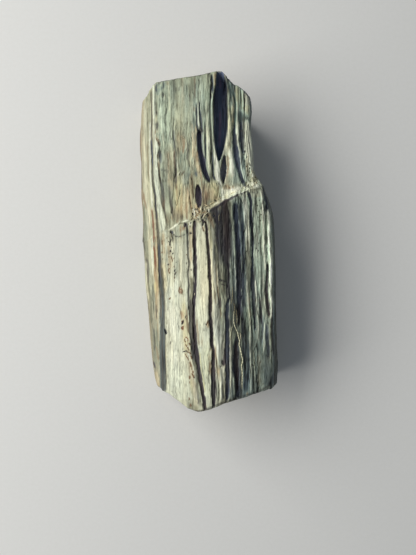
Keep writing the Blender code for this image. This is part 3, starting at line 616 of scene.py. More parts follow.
stroke("O", 0.70, 0.22, (174, 211.6, 0.5), (179, 212.2, 0.6), fade=2)
stroke("O", 0.60, 0.20, (181, 211.0, 0.5), (186, 213.2, 0.5), fade=1.5)
stroke("O", 0.55, 0.15, (182, 206.5, 0.8), (190, 205.6, 0.8), fade=2)
stroke("W2", 0.95, -0.12, (140, 213.6, 0.7), (152, 214.4, 0.9), (160, 215.8, 1.5), (168, 216.9, 2.5), (176, 217.7, 2.4), (182, 219.6, 1.4), (187, 220.8, 0.7), soft=0.35)
stroke("T", 0.45, 0.0, (186, 212.0, 2.0), (196, 212.5, 2.4), (203, 212.5, 2.2), fade=4)
stroke("B", 0.55, 0.14, (186, 218.4, 0.5), (194, 217.2, 0.6), (201, 216.2, 0.6))
stroke("O", 0.55, 0.12, (183, 216.6, 0.5), (188, 215.8, 0.5))
stroke("K", 0.65, 0.30, (200.2, 214.6, 0.8), (201.4, 216.2, 0.7), fade=0.7)

# ----------------------------------------------- upper face, right of slot
# Painted shade: a blue-black rim where the top turns down at the cut-off far corner.
stroke("N", 0.70, 0.10, (73, 225.4, 1.4), (76, 227.4, 2.2), (79.4, 229.6, 1.8), soft=0.6, fade=1)
stroke("O", 0.65, -0.05, (77, 225.6, 0.9), (82, 227.4, 1.4), (88, 227.4, 1.4), (94, 227.4, 1.2), soft=0.6, fade=2)
stroke("Z", 0.80, -0.20, (91, 228.0, 1.4), (99, 228.0, 1.7), (106, 228.0, 1.7), (113, 228.2, 1.4), soft=0.5, fade=2)
stroke("C", 0.80, -0.22, (108, 228.2, 1.2), (118, 228.5, 1.8), (125, 228.6, 2.0), (132, 228.5, 2.3), (139, 227.9, 2.5), (145, 227.3, 2.3), (151, 227.4, 1.4), soft=0.4)
stroke("W", 0.55, -0.12, (130, 227.6, 1.4), (139, 227.4, 1.6), (147, 226.8, 1.0))
stroke("O", 0.55, 0.14, (94, 229.6, 0.5), (104, 229.8, 0.6), (112, 230.0, 0.6), (119, 231.4, 0.7), (127, 231.9, 0.7), (136, 231.4, 0.7))
stroke("T", 0.70, -0.15, (94, 231.8, 1.0), (103, 232.3, 1.4), (111, 232.4, 1.5), (118, 232.4, 1.4), (124, 232.0, 0.9), soft=0.5)
stroke("S2", 0.80, 0.22, (83, 230.4, 1.6), (89, 231.4, 1.7), (95, 233.4, 1.3), (103, 234.9, 0.9), (111, 235.0, 0.9), (119, 235.0, 1.0), (127, 234.4, 1.3), soft=0.45)
stroke("D", 0.60, 0.15, (80, 230.0, 0.9), (84, 232.6, 1.2), (88, 233.8, 1.2), (93, 234.4, 0.8))
stroke("O", 0.55, -0.08, (86, 230.8, 0.4), (92, 231.2, 0.5), (98, 230.4, 0.5), fade=1)
stroke("Z", 0.85, -0.22, (85.4, 237.0, 2.2), (91, 237.2, 2.3), (98, 237.5, 2.0), (104, 237.8, 1.5), (109, 237.4, 1.1), soft=0.4)
stroke("Y", 0.50, -0.05, (87, 236.4, 1.0), (95, 236.8, 1.2), (102, 237.0, 0.9))
stroke("Q", 0.85, -0.25, (107, 237.4, 0.9), (113, 237.2, 1.1), (120, 237.0, 1.1), (127, 236.9, 1.2), (134, 236.9, 1.2), (140, 236.7, 0.9), (144, 237.2, 1.0), (149, 238.8, 1.2), (154, 240.4, 1.5), (160, 241.4, 1.7), (166, 242.4, 1.6), soft=0.4)
stroke("O", 0.60, 0.14, (90, 240.4, 0.5), (98, 240.6, 0.7), (105, 240.8, 0.8), (111, 241.0, 1.0))
stroke("Z", 0.60, -0.20, (89.6, 242.0, 0.7), (96, 242.4, 0.9), (103, 242.8, 0.9), (109, 242.6, 0.7))
stroke("D", 0.75, 0.25, (91.6, 243.6, 0.5), (98, 244.2, 0.7), (105, 244.4, 0.8), (112, 244.2, 0.7))
stroke("B", 0.55, 0.12, (107.4, 242.8, 0.6), (109.4, 243.8, 0.6), fade=0.6)
stroke("Q", 0.85, -0.20, (92.6, 245.2, 1.1), (97, 246.4, 1.8), (102, 246.8, 2.2), (107, 246.9, 2.0), (112, 246.8, 1.3), soft=0.45, fade=1)
stroke("Y", 0.45, -0.05, (105, 246.8, 1.4), (110, 247.0, 1.8), (115, 247.2, 1.4), soft=0.6, fade=1)
stroke("S2", 0.55, 0.10, (112.5, 240.2, 1.2), (116.5, 242.6, 2.4), (119, 246.4, 2.6), (119.6, 249.4, 1.4), soft=0.8, fade=1.5)
stroke("D", 0.60, 0.12, (117.0, 245.2, 0.6), (118.6, 246.0, 0.8), (117.6, 248.4, 0.6), soft=0.5, fade=0.5)
stroke("U", 0.70, 0.15, (111, 239.9, 1.0), (118, 240.2, 1.4), (124, 240.4, 1.2), soft=0.6, fade=1.5)
stroke("N", 0.85, 0.22, (121, 240.2, 1.2), (128, 240.4, 1.5), (136, 241.2, 1.9), (143, 241.3, 2.0), (149, 242.2, 1.3), (153.4, 243.6, 0.9), soft=0.4, fade=1.5)
stroke("O", 0.60, -0.10, (117, 242.8, 0.7), (124, 243.0, 0.9), (131, 243.0, 0.8), (137, 243.4, 0.5))
stroke("O", 0.50, -0.08, (138, 242.4, 0.5), (143, 242.8, 0.6), (148, 243.4, 0.5), fade=1)
stroke("N", 0.95, 0.42, (124, 233.9, 0.9), (131, 233.8, 1.5), (138, 233.8, 1.9), (145, 234.2, 2.0), (150, 235.4, 2.4), (156, 236.2, 2.8), (162, 236.9, 2.8), (167, 237.7, 2.2), (172, 239.0, 1.8), (177, 240.3, 1.8), (181, 242.2, 2.0), (184.4, 243.4, 1.5), soft=0.35)
stroke("D", 0.60, 0.05, (134, 235.4, 0.6), (146, 236.0, 0.6), fade=2)
stroke("W", 0.90, -0.18, (148, 229.6, 1.5), (155, 230.4, 1.9), (162, 230.8, 2.1), (169, 231.1, 2.1), (175, 230.6, 1.8), soft=0.4)
stroke("S3", 0.50, 0.0, (163, 234.2, 0.9), (169, 235.0, 1.5), (175, 235.4, 2.4), (181, 234.6, 3.0), (184, 233.4, 2.2), soft=0.7, fade=2)
stroke("W2", 0.60, -0.10, (158, 231.0, 1.2), (166, 231.8, 1.7), (173, 232.2, 1.7), (177, 231.6, 1.0), soft=0.6, fade=2)
stroke("S3", 0.65, 0.0, (155, 241.6, 1.4), (163, 242.8, 2.0), (170, 243.2, 2.2), soft=0.7, fade=2)
stroke("Z", 0.60, -0.05, (172, 229.6, 1.4), (179, 229.6, 1.8), (184, 229.8, 1.4), soft=0.8, fade=2)
stroke("D", 0.45, 0.10, (156.4, 240.2, 0.5), (160, 241.0, 0.6), (164.4, 241.0, 0.5), fade=1)
stroke("B", 0.70, 0.15, (154, 226.8, 0.5), (160, 227.6, 0.8), (166, 227.6, 0.8), (172, 227.0, 0.7), (178, 226.2, 0.5))
stroke("T", 0.50, 0.0, (158, 225.8, 0.6), (166, 226.0, 0.7), fade=2)
stroke("O", 0.45, 0.0, (174, 226.6, 1.2), (184, 227.4, 1.2), fade=3)
stroke("W", 0.92, -0.15, (119.4, 246.2, 1.6), (126, 246.5, 2.5), (134, 247.4, 3.0), (142, 248.0, 3.4), (150, 248.6, 3.6), (158, 249.4, 3.3), (165, 250.6, 2.4), (171, 251.6, 1.7), soft=0.35, fade=1.2)
stroke("C", 0.75, -0.10, (158, 246.0, 1.0), (165, 246.8, 1.6), (172, 247.4, 1.8), (177, 248.6, 1.6), soft=0.6, fade=1.5)
stroke("C", 0.85, -0.15, (170, 252.0, 1.6), (174.4, 253.4, 2.4), (179, 253.4, 3.2), (183, 252.4, 3.4), soft=0.5, fade=1.5)
for v, u, r, ink in ((151.6, 244.6, 0.9, "D"), (154.4, 243.6, 0.7, "D"), (157.0, 246.4, 0.7, "D"), (163.4, 248.6, 0.7, "O"),
                     (166.4, 246.2, 0.6, "B"), (170.6, 247.2, 0.8, "O"), (175.2, 247.6, 0.9, "D"), (165.0, 249.8, 0.6, "D"),
                     (168.4, 249.4, 0.7, "D"), (172.0, 249.4, 0.6, "O"), (176.6, 255.0, 0.8, "T2"), (180.4, 254.6, 1.0, "O"),
                     (178.6, 257.0, 0.8, "D"), (181.6, 249.8, 0.7, "O"), (182.6, 256.4, 0.6, "B"), (146.0, 245.0, 0.4, "O"),
                     (161.0, 244.6, 0.5, "D"), (185.0, 248.0, 0.9, "O"), (183.0, 245.8, 0.9, "O"), (186.4, 251.6, 0.7, "O")):
    chip(ink, 0.65, 0.16, (v - 1.3 * r, u + 0.2, 0.6 * r), (v + 1.3 * r, u - 0.2, 0.7 * r), soft=0.5, fade=0.5)

# ------------------------------------------------------- the step's face
stroke("W", 0.92, 0.0, (187.4, 221.8, 0.9), (190, 222.2, 1.6), (194, 222.4, 2.0), (198, 222.8, 2.0), (200.6, 222.8, 1.2), soft=0.4, fade=0.8)
stroke("T", 0.60, 0.0, (184.4, 226.4, 1.2), (187.2, 227.4, 2.0), (189.6, 228.6, 1.4), soft=0.7, fade=0.8)
stroke("W", 0.85, -0.05, (192.0, 228.0, 2.2), (190.4, 234.0, 2.6), (188.4, 240.0, 2.0), (186.8, 246.0, 1.4), soft=0.4, fade=0.8)
stroke("W", 0.75, -0.10, (189.5, 231.0, 1.4), (190.5, 236.0, 2.2), (188.6, 240.0, 1.6), soft=0.4, fade=1)
stroke("C", 0.60, 0.0, (200, 216.0, 2.0), (204, 214.0, 1.6), soft=0.6, fade=2)
stroke("T", 0.55, 0.0, (186.6, 222.4, 1.2), (189.4, 224.6, 1.0), fade=1)
stroke("B", 0.80, 0.20, (186.5, 228.6, 0.7), (189.5, 229.4, 0.9), fade=1.2)
stroke("B", 0.75, 0.20, (185.6, 232.2, 0.9), (188.2, 232.8, 0.9), fade=1.2)
stroke("B", 0.55, 0.12, (184, 225.0, 0.6), (188, 225.6, 0.8), fade=1.8)
stroke("B", 0.60, 0.12, (186, 217.8, 0.6), (193, 216.6, 0.7), (200, 215.0, 0.7), fade=1.8)
stroke("K", 0.70, 0.25, (200.0, 214.2, 0.5), (201.4, 216.4, 0.7), fade=0.8)
stroke("Y", 0.60, 0.0, (195.6, 224.4, 1.6), (197.4, 226.6, 1.4), fade=1)
stroke("R", 0.30, 0.0, (199.4, 220.6, 1.0), (201, 221.6, 1.0), fade=1.0)
stroke("O", 0.45, 0.08, (184.6, 238.6, 1.0), (187, 241.0, 1.2), fade=1.2)
stroke("O", 0.50, 0.10, (183.2, 244.6, 0.9), (186.4, 247.0, 1.4), fade=1.2)
stroke("G", 0.50, 0.05, (187.4, 250.4, 0.8), (185.2, 254.6, 1.0), fade=1.2)

# ------------------------------------------------- the shadow under the cut
stroke("D", 0.75, 0.10, (213.0, 207.0, 0.6), (210.6, 210.6, 1.2), (208.6, 214.0, 1.6), (206.4, 218.5, 1.8), soft=0.5, fade=1.5)
stroke("K", 0.90, 0.25, (206.6, 217.0, 0.8), (203.2, 222.0, 1.6), (200.8, 226.0, 1.7), (199.0, 229.6, 1.2), (196.4, 234.6, 1.0), (194.4, 238.6, 0.8), soft=0.3, fade=1.0)
stroke("K", 0.80, 0.20, (193.8, 240.0, 0.6), (192.4, 243.6, 0.6), (191.0, 247.0, 0.5), soft=0.3, fade=1.0)
stroke("O", 0.85, 0.0, (201.5, 230.0, 0.9), (208, 229.6, 1.2), (216, 230.2, 1.2), (224, 231.2, 0.9), soft=0.4, fade=1.5)

# ---------------------------------------------------------- chips by the cut
stroke("T", 0.70, 0.0, (204.5, 194.6, 1.6), (208.0, 197.0, 2.0), (212.0, 197.0, 2.4), (215.0, 195.6, 1.6), soft=0.6, fade=1)
stroke("O", 0.60, 0.05, (208.0, 203.4, 1.6), (212.0, 206.0, 3.0), (216.5, 206.0, 3.2), (220.0, 204.0, 2.4), soft=0.6, fade=1)
chip("W", 0.95, -0.25, (208.6, 193.2, 0.5), (211.5, 194.2, 0.8), (214.5, 194.4, 0.8), (216.6, 194.0, 0.5), soft=0.35, fade=0.5)
chip("W", 0.90, -0.25, (210.6, 196.2, 0.6), (211.8, 197.6, 0.9), (213.2, 197.0, 0.6), soft=0.35, fade=0.5)
chip("W", 0.95, -0.30, (206.4, 200.8, 0.5), (208.6, 201.2, 0.8), (210.8, 201.4, 0.7), soft=0.35, fade=0.5)
chip("C", 0.85, -0.25, (208.2, 204.0, 0.5), (209.8, 205.0, 0.6), (211.6, 205.2, 0.4), soft=0.35, fade=0.5)
chip("W", 0.80, -0.25, (207.6, 206.8, 0.5), (208.0, 208.4, 0.6), (210.4, 208.8, 0.5), (212.8, 208.6, 0.4), soft=0.35, fade=0.5)
chip("C", 0.75, -0.20, (213.6, 205.4, 0.4), (216.0, 203.6, 0.5), (218.6, 203.0, 0.4), soft=0.35, fade=0.5)
chip("W", 0.70, -0.20, (216.2, 198.4, 0.5), (217.2, 197.0, 0.5), (218.2, 195.6, 0.5), soft=0.35, fade=0.5)
chip("C", 0.70, -0.15, (220.4, 197.4, 1.0), (222.4, 198.8, 1.0), soft=0.4, fade=0.5)
chip("K", 0.90, 0.35, (207.6, 192.1, 0.5), (211.0, 192.2, 0.55), (213.6, 192.3, 0.8), (216.0, 192.6, 0.4), soft=0.35, fade=0.5)
chip("D", 0.85, 0.25, (209.2, 194.6, 0.45), (209.4, 196.4, 0.55), (209.0, 198.0, 0.4), soft=0.35, fade=0.5)
chip("B", 0.85, 0.20, (211.2, 199.6, 0.6), (212.2, 199.2, 0.4), soft=0.4, fade=0.4)
chip("B", 0.90, 0.25, (211.4, 205.8, 0.4), (212.4, 203.4, 0.5), (213.6, 201.2, 0.5), soft=0.35, fade=0.5)
chip("D", 0.85, 0.25, (209.8, 206.9, 0.4), (211.4, 207.3, 0.5), (212.8, 206.9, 0.4), soft=0.35, fade=0.5)
chip("K", 0.95, 0.50, (213.8, 203.0, 0.5), (216.0, 202.0, 0.8), (218.6, 201.2, 0.7), soft=0.35, fade=0.5)
chip("N", 0.85, 0.30, (214.4, 199.6, 0.6), (215.4, 199.2, 0.5), soft=0.4, fade=0.4)
chip("N", 0.85, 0.30, (215.8, 207.0, 0.6), (215.2, 208.6, 0.8), soft=0.4, fade=0.4)
chip("N", 0.75, 0.25, (216.4, 213.0, 0.7), (215.2, 214.4, 0.7), soft=0.5, fade=0.4)
chip("B", 0.80, 0.20, (215.2, 197.4, 0.4), (216.6, 196.0, 0.6), (217.2, 195.0, 0.4), soft=0.4, fade=0.4)
chip("D", 0.85, 0.30, (219.8, 190.8, 0.6), (218.6, 193.4, 0.4), (218.4, 196.6, 0.4), (219.4, 199.2, 0.5), soft=0.4, fade=0.5)
chip("K", 0.85, 0.30, (220.4, 194.2, 0.6), (222.0, 194.2, 0.8), soft=0.4, fade=0.4)
chip("K", 0.95, 0.50, (219.4, 201.8, 0.6), (221.4, 203.4, 1.1), (222.4, 205.0, 1.1), (223.6, 205.8, 0.8), soft=0.4, fade=0.5)
chip("D", 0.85, 0.30, (222.0, 202.8, 0.8), (224.6, 202.6, 0.9), (225.8, 201.8, 0.5), soft=0.45, fade=0.5)
chip("N", 0.75, 0.20, (218.4, 205.2, 0.4), (219.0, 206.4, 0.6), soft=0.45, fade=0.4)
chip("W", 0.80, -0.20, (225.8, 201.0, 0.4), (227.4, 201.2, 0.6), (228.8, 202.0, 0.5), soft=0.4, fade=0.5)
stroke("T", 0.70, 0.0, (226.4, 202.8, 0.6), (228.4, 203.2, 0.7), soft=0.5, fade=0.5)
chip("B", 0.85, 0.25, (230.0, 203.4, 0.5), (231.4, 204.2, 0.7), soft=0.4, fade=0.4)
chip("W", 0.60, -0.10, (222.4, 189.6, 1.2), (225.4, 190.4, 1.2), soft=0.5, fade=0.6)

for v, u, r, ink in ((206.4, 203.6, 0.7, "B"), (207.6, 206.4, 0.6, "D"), (209.4, 202.4, 0.6, "B"), (210.2, 204.6, 0.8, "D"),
                     (211.2, 198.6, 0.6, "B"), (212.6, 199.8, 0.5, "R"), (212.0, 207.4, 0.6, "D"), (213.6, 210.4, 0.6, "B"),
                     (208.6, 209.6, 0.6, "B"), (215.4, 211.6, 0.5, "D"), (217.6, 196.4, 0.6, "D"), (218.8, 194.4, 0.5, "B"),
                     (220.6, 197.6, 0.6, "D"), (221.6, 200.4, 0.6, "B"), (218.2, 209.4, 0.6, "D"), (220.2, 211.0, 0.5, "B"),
                     (222.6, 190.8, 0.6, "D"), (224.0, 188.6, 0.5, "B"), (205.0, 208.4, 0.5, "T"), (203.6, 206.0, 0.5, "B")):
    chip(ink, 0.80, 0.18, (v - 0.7 * r, u + 0.6 * r, 0.7 * r), (v + 0.7 * r, u - 0.5 * r, 0.7 * r), soft=0.4, fade=0.3)

# -------------------------------------------------- below the cut, left part
stroke("O", 0.50, 0.0, (212, 167.5, 1.6), (220, 168.5, 1.8), (227, 169.5, 1.0), fade=3)
stroke("O", 0.60, 0.10, (212, 174.6, 1.4), (219, 175.4, 1.6), (225, 176.0, 1.0), fade=2)
stroke("B", 0.55, 0.10, (219.5, 177.0, 1.0), (223, 177.6, 1.1), fade=1.5)
stroke("N", 0.95, 0.60, (230.8, 171.2, 1.2), (232.2, 171.6, 1.4), (234.6, 171.8, 0.7), fade=0.6, soft=0.3)
stroke("D", 0.85, 0.30, (234, 171.6, 0.5), (237, 172.2, 0.7), (239.4, 172.6, 0.6), (242, 172.4, 0.4), soft=0.4, fade=0.6)
chip("D", 0.75, 0.25, (239.0, 171.4, 0.4), (241.6, 170.0, 0.5), (243.6, 169.6, 0.4), soft=0.4, fade=0.6)
chip("D", 0.70, 0.30, (233.4, 173.6, 0.5), (235.8, 173.8, 0.5), fade=0.8)
stroke("B", 0.55, 0.18, (226.2, 182.2, 1.4), (228.4, 183.4, 1.5), (230, 182.6, 0.8), fade=1.2)
stroke("B", 0.65, 0.14, (225, 180.2, 0.5), (232, 180.4, 0.6), (239, 180.6, 0.4))
stroke("C", 0.5, 0.0, (229.5, 181.8, 0.8), (232.5, 182.4, 1.0), fade=1.0)
chip("K", 0.85, 0.45, (222.6, 184.6, 0.8), (225.4, 185.2, 1.0), (227.4, 184.4, 0.7), fade=0.9)
chip("B", 0.55, 0.10, (240, 162.0, 0.9), (245, 162.2, 0.8), fade=1.5)
stroke("T", 0.60, 0.0, (232, 163.0, 1.2), (246, 163.5, 1.4), (256, 164.5, 1.2), fade=4)
stroke("T", 0.50, 0.0, (243, 167.6, 1.4), (256, 169.0, 1.8), (270, 170.5, 1.8), fade=5)
for v, u, r, ink in ((244.6, 169.6, 0.9, "D"), (251.0, 170.2, 1.2, "V"), (253.4, 172.6, 1.0, "D"), (256.4, 171.0, 0.5, "B"),
                     (264.6, 168.4, 0.9, "D"), (268.8, 169.4, 0.7, "B"), (270.6, 174.4, 0.9, "D"), (274.0, 174.8, 0.9, "B"),
                     (277.6, 174.4, 0.8, "D"), (260.5, 172.6, 0.7, "B"), (266.6, 173.8, 0.7, "B"), (247.6, 171.4, 0.6, "B"),
                     (241.6, 168.4, 0.7, "D"), (281.0, 174.2, 0.5, "B"), (263.4, 186.4, 0.8, "D"), (238.0, 166.6, 0.6, "B"),
                     (298.6, 169.4, 0.9, "B"), (302.0, 169.8, 0.6, "O"), (226.5, 190.0, 0.6, "D"), (258.4, 173.8, 0.7, "B"),
                     (273.0, 169.6, 0.6, "B"), (252.4, 162.0, 1.0, "B"), (259.0, 162.6, 0.8, "B"), (262.4, 176.0, 0.5, "D"),
                     (257.0, 168.6, 0.6, "B"), (272.4, 176.6, 0.6, "B"), (269.8, 188.6, 0.6, "D"), (254.6, 186.2, 0.6, "B")):
    chip(ink, 0.80, 0.14, (v - 0.8 * r, u + 0.25, 0.62 * r), (v + 0.8 * r, u - 0.15, 0.72 * r), soft=0.5, fade=0.5)
for v, u, r in ((263.2, 167.0, 0.8), (250.0, 171.6, 0.6), (271.8, 173.4, 0.5), (245.8, 168.2, 0.5), (255.0, 169.2, 0.6)):
    chip("W", 0.75, -0.10, (v - 0.6 * r, u, 0.6 * r), (v + 0.8 * r, u + 0.3, 0.7 * r), soft=0.5, fade=0.5)
chip("W", 0.60, -0.06, (262.6, 167.2, 0.8), (264, 167.6, 0.6), fade=0.8)
chip("D", 0.50, 0.10, (341, 170.2, 0.3), (344.5, 170.4, 0.4), fade=1.0)
stroke("R", 0.75, 0.06, (288.6, 180.2, 1.0), (291.2, 180.4, 1.3), (293.6, 180.2, 0.8), fade=0.6)
chip("B", 0.85, 0.14, (286.6, 180.0, 0.5), (288.2, 179.2, 0.5), (290.4, 178.6, 0.6), (292.6, 179.0, 0.5), (293.8, 180.2, 0.4), soft=0.4, fade=0.4)
chip("B", 0.80, 0.12, (288.4, 181.4, 0.4), (291.0, 182.0, 0.5), (294.6, 181.8, 0.5), soft=0.4, fade=0.4)
stroke("C", 0.80, -0.05, (289.8, 180.6, 0.4), (291.4, 180.8, 0.5), soft=0.4, fade=0.4)
stroke("G", 0.50, 0.0, (289, 183.6, 0.9), (296, 182.6, 1.4), fade=2)
stroke("Y", 0.60, 0.0, (300, 184.0, 1.6), (312, 184.0, 2.6), (326, 185.4, 3.2), (340, 186.0, 3.4), (354, 186.8, 3.2), soft=0.8, fade=6)
stroke("T", 0.60, 0.0, (311, 181.4, 1.4), (315, 182.4, 1.6), (319, 183.0, 1.2), soft=0.8, fade=2)
stroke("B", 0.70, 0.08, (311, 180.4, 0.7), (313.6, 181.2, 0.8), (316.4, 181.2, 0.7), (319.6, 180.8, 0.4), soft=0.5, fade=0.6)
chip("V", 0.80, 0.20, (320.2, 183.4, 0.5), (321.8, 182.8, 0.9), (323.6, 182.0, 0.8), (324.4, 181.4, 0.4), soft=0.4, fade=0.5)
chip("R", 0.80, 0.06, (320.6, 182.0, 0.5), (322.4, 181.6, 0.5), soft=0.5, fade=0.4)
chip("R", 0.85, 0.10, (325.8, 183.4, 0.6), (327.2, 182.6, 1.0), (328.8, 182.6, 1.0), (330.0, 183.4, 0.5), soft=0.4, fade=0.5)
chip("B", 0.70, 0.10, (326.8, 181.4, 0.5), (329.0, 181.4, 0.5), soft=0.4, fade=0.4)
chip("D", 0.60, 0.10, (315.2, 186.4, 0.4), (317.4, 185.2, 0.5), (319.2, 186.6, 0.4), soft=0.5, fade=0.5)
stroke("O", 0.55, 0.10, (308, 187.0, 0.5), (316, 187.2, 0.6), (324, 187.4, 0.6), (333, 187.8, 0.6), fade=2)
stroke("B", 0.55, 0.08, (306, 185.8, 0.5), (312, 186.2, 0.7), (318, 186.8, 0.8), (326, 187.6, 1.0), (333, 188.2, 0.8), soft=0.7, fade=3)
chip("X", 0.95, 0.35, (329.4, 165.0, 0.6), (331.0, 165.3, 1.1), (332.6, 165.8, 1.0), (334.2, 166.4, 0.4), soft=0.4, fade=0.4)
chip("B", 0.80, 0.12, (297.4, 170.8, 0.4), (298.8, 169.8, 0.8), (299.8, 168.8, 0.4), soft=0.4, fade=0.4)
chip("D", 0.80, 0.16, (269.2, 175.4, 0.5), (270.6, 174.8, 0.6), (271.6, 173.8, 0.5), soft=0.4, fade=0.4)
chip("D", 0.80, 0.16, (271.4, 175.8, 0.4), (273.2, 175.4, 0.6), (275.0, 174.8, 0.4), soft=0.4, fade=0.4)
chip("B", 0.80, 0.16, (276.8, 173.8, 0.4), (277.6, 174.6, 0.6), (278.8, 174.8, 0.4), soft=0.4, fade=0.4)
chip("B", 0.70, 0.10, (256.0, 171.0, 0.4), (259.0, 171.8, 0.5), (262.4, 172.8, 0.4), soft=0.5, fade=0.6)
chip("B", 0.70, 0.10, (268.0, 168.8, 0.4), (270.6, 168.6, 0.7), (273.8, 169.4, 0.5), soft=0.5, fade=0.6)
chip("D", 0.80, 0.16, (264.0, 167.6, 0.5), (265.2, 168.4, 0.6), soft=0.5, fade=0.3)
chip("D", 0.85, 0.20, (232.8, 189.8, 0.5), (233.2, 191.0, 0.8), (233.4, 192.0, 0.4), soft=0.4, fade=0.3)
chip("D", 0.80, 0.16, (269.4, 190.8, 0.5), (270.6, 191.6, 0.5), soft=0.5, fade=0.3)
chip("B", 0.80, 0.14, (320.2, 207.8, 0.5), (322.4, 207.4, 0.6), (324.6, 206.6, 0.5), soft=0.5, fade=0.3)
chip("D", 0.80, 0.16, (323.8, 205.4, 0.4), (324.6, 206.2, 0.6), (325.6, 206.4, 0.4), soft=0.5, fade=0.3)
stroke("T", 0.70, 0.0, (321.0, 208.0, 0.9), (324.0, 207.6, 1.3), (328.0, 207.4, 0.8), soft=0.7, fade=0.6)
chip("C", 0.70, -0.10, (292.8, 194.8, 0.4), (294.4, 194.6, 0.5), (295.8, 194.2, 0.4), soft=0.5, fade=0.3)
# a ring
chip("R", 0.55, 0.10, (337.4, 185.2, 0.5), (337.8, 186.8, 0.6), (338.8, 187.8, 0.5), (340.2, 188.0, 0.4), (341.6, 187.2, 0.4), soft=0.5, fade=0.3)
chip("B", 0.55, 0.10, (342.2, 186.2, 0.4), (341.8, 185.0, 0.5), (340.0, 184.5, 0.5), (338.4, 184.8, 0.4), soft=0.5, fade=0.3)
chip("W", 0.80, -0.08, (339.2, 185.8, 0.8), (340.4, 186.2, 0.9), soft=0.5, fade=0.3)
chip("B", 0.80, 0.15, (342.8, 188.8, 0.6), (344.2, 189.6, 1.0), (345.2, 190.4, 0.6), soft=0.4, fade=0.4)
# and crossed scraps
chip("B", 0.80, 0.14, (344.2, 185.2, 0.5), (346.4, 186.8, 0.6), (348.6, 188.0, 0.6), (350.4, 189.0, 0.5), soft=0.4, fade=0.4)
stroke("B", 0.60, 0.10, (348.6, 186.2, 0.5), (347.2, 187.4, 0.5), (345.6, 189.0, 0.4), soft=0.6, fade=0.6)
chip("W", 0.75, -0.08, (345.6, 188.4, 0.5), (347.0, 187.6, 0.4), soft=0.5, fade=0.3)
chip("D", 0.80, 0.14, (352.0, 182.6, 0.4), (351.4, 184.2, 0.6), (351.0, 186.0, 0.5), (352.2, 187.4, 0.4), soft=0.4, fade=0.4)
chip("B", 0.80, 0.14, (351.2, 187.0, 0.5), (352.6, 189.4, 0.6), (354.6, 190.8, 0.5), soft=0.4, fade=0.4)
chip("B", 0.75, 0.14, (353.6, 185.0, 0.5), (356.0, 186.2, 0.6), (358.4, 187.8, 0.6), (360.4, 189.0, 0.5), soft=0.4, fade=0.4)
chip("B", 0.75, 0.12, (355.4, 190.2, 0.6), (357.4, 191.4, 0.7), (359.6, 191.8, 0.6), soft=0.4, fade=0.4)
chip("W", 0.75, -0.10, (353.0, 187.8, 0.5), (355.0, 188.6, 0.6), (357.0, 189.6, 0.5), soft=0.5, fade=0.4)
stroke("O", 0.60, 0.08, (348, 183.2, 0.5), (350, 182.2, 0.6), fade=0.4)
stroke("T2", 0.42, 0.06, (360, 190.4, 1.2), (368, 191.0, 1.6), (378, 191.6, 2.0), (388, 192.0, 1.8), fade=4)
stroke("B", 0.30, 0.06, (362, 188.4, 0.5), (368, 188.8, 0.6), (374, 189.0, 0.6), fade=3)
chip("B", 0.72, 0.10, (361.4, 189.6, 0.5), (364.2, 190.4, 0.8), (367.2, 190.2, 0.5), soft=0.5, fade=0.6)
chip("B", 0.70, 0.12, (370.4, 192.4, 0.5), (371.8, 193.0, 0.7), (373.2, 192.6, 0.5), soft=0.4, fade=0.4)
chip("B", 0.75, 0.12, (373.4, 191.4, 0.5), (375.0, 192.6, 0.8), (376.8, 193.6, 0.9), (378.2, 194.2, 0.5), soft=0.5, fade=0.4)
chip("D", 0.60, 0.14, (376.6, 193.4, 0.4), (377.6, 194.2, 0.6), (378.4, 194.8, 0.4), soft=0.4, fade=0.4)
chip("B", 0.78, 0.12, (375.4, 189.0, 0.4), (377.4, 189.6, 0.8), (379.2, 189.4, 0.5), soft=0.4, fade=0.4)
chip("B", 0.50, 0.06, (381.0, 189.4, 0.4), (383.4, 189.8, 0.5), soft=0.4, fade=0.4)
stroke("C", 0.55, -0.06, (371.0, 190.6, 0.6), (375.4, 190.8, 0.7), (379.6, 191.2, 0.6), fade=1.5)
stroke("C", 0.50, -0.06, (384.0, 192.6, 0.8), (392.0, 193.6, 1.0), (400.0, 194.4, 0.9), fade=3)
stroke("Y", 0.45, 0.0, (379.0, 190.6, 1.0), (386.0, 191.0, 1.2), (393.0, 191.4, 0.9), fade=3)
chip("B", 0.70, 0.12, (364.0, 191.2, 0.5), (367.0, 191.8, 0.6), (370.0, 191.8, 0.5), fade=0.6)
stroke("T2", 0.40, 0.05, (380, 193.4, 1.6), (392, 195.3, 2.2), (406, 196.4, 2.6), fade=5)
stroke("O", 0.60, 0.12, (372, 195.2, 1.2), (380, 196.8, 1.4), (390, 198.4, 1.2), (400, 200.0, 1.1), (408, 201.2, 1.2), soft=0.7, fade=3)
stroke("P", 0.60, -0.08, (375.0, 195.0, 0.4), (379.6, 195.5, 0.6), (383.6, 196.2, 0.5), fade=1)
stroke("D", 0.50, 0.10, (361.0, 195.8, 0.5), (367.0, 196.2, 0.6), (374.0, 196.6, 0.5), (380.0, 197.4, 0.5), fade=2)
stroke("P", 0.40, -0.06, (385.0, 198.2, 0.5), (394.0, 199.4, 0.6), (403.0, 200.4, 0.5), fade=3)
stroke("D", 0.60, 0.12, (385.0, 195.6, 0.4), (388.6, 196.4, 0.5), (392.0, 197.0, 0.5), fade=1)
chip("B", 0.60, 0.10, (403.8, 190.0, 0.4), (405.2, 191.0, 0.8), (406.8, 191.0, 0.4), soft=0.5, fade=0.4)
chip("B", 0.50, 0.08, (397.4, 189.0, 0.4), (399.0, 189.4, 0.6), (400.6, 189.2, 0.4), soft=0.5, fade=0.4)
stroke("O", 0.55, 0.10, (403, 190.0, 3.0), (408, 193.0, 4.0), (410, 198.0, 3.6), soft=0.9, fade=2)
stroke("O", 0.55, 0.12, (386, 191.6, 0.6), (398, 192.4, 0.8), (407, 192.6, 0.8))
stroke("D", 0.60, 0.18, (391, 197.0, 0.5), (398, 197.6, 0.8), (405, 198.6, 0.8))
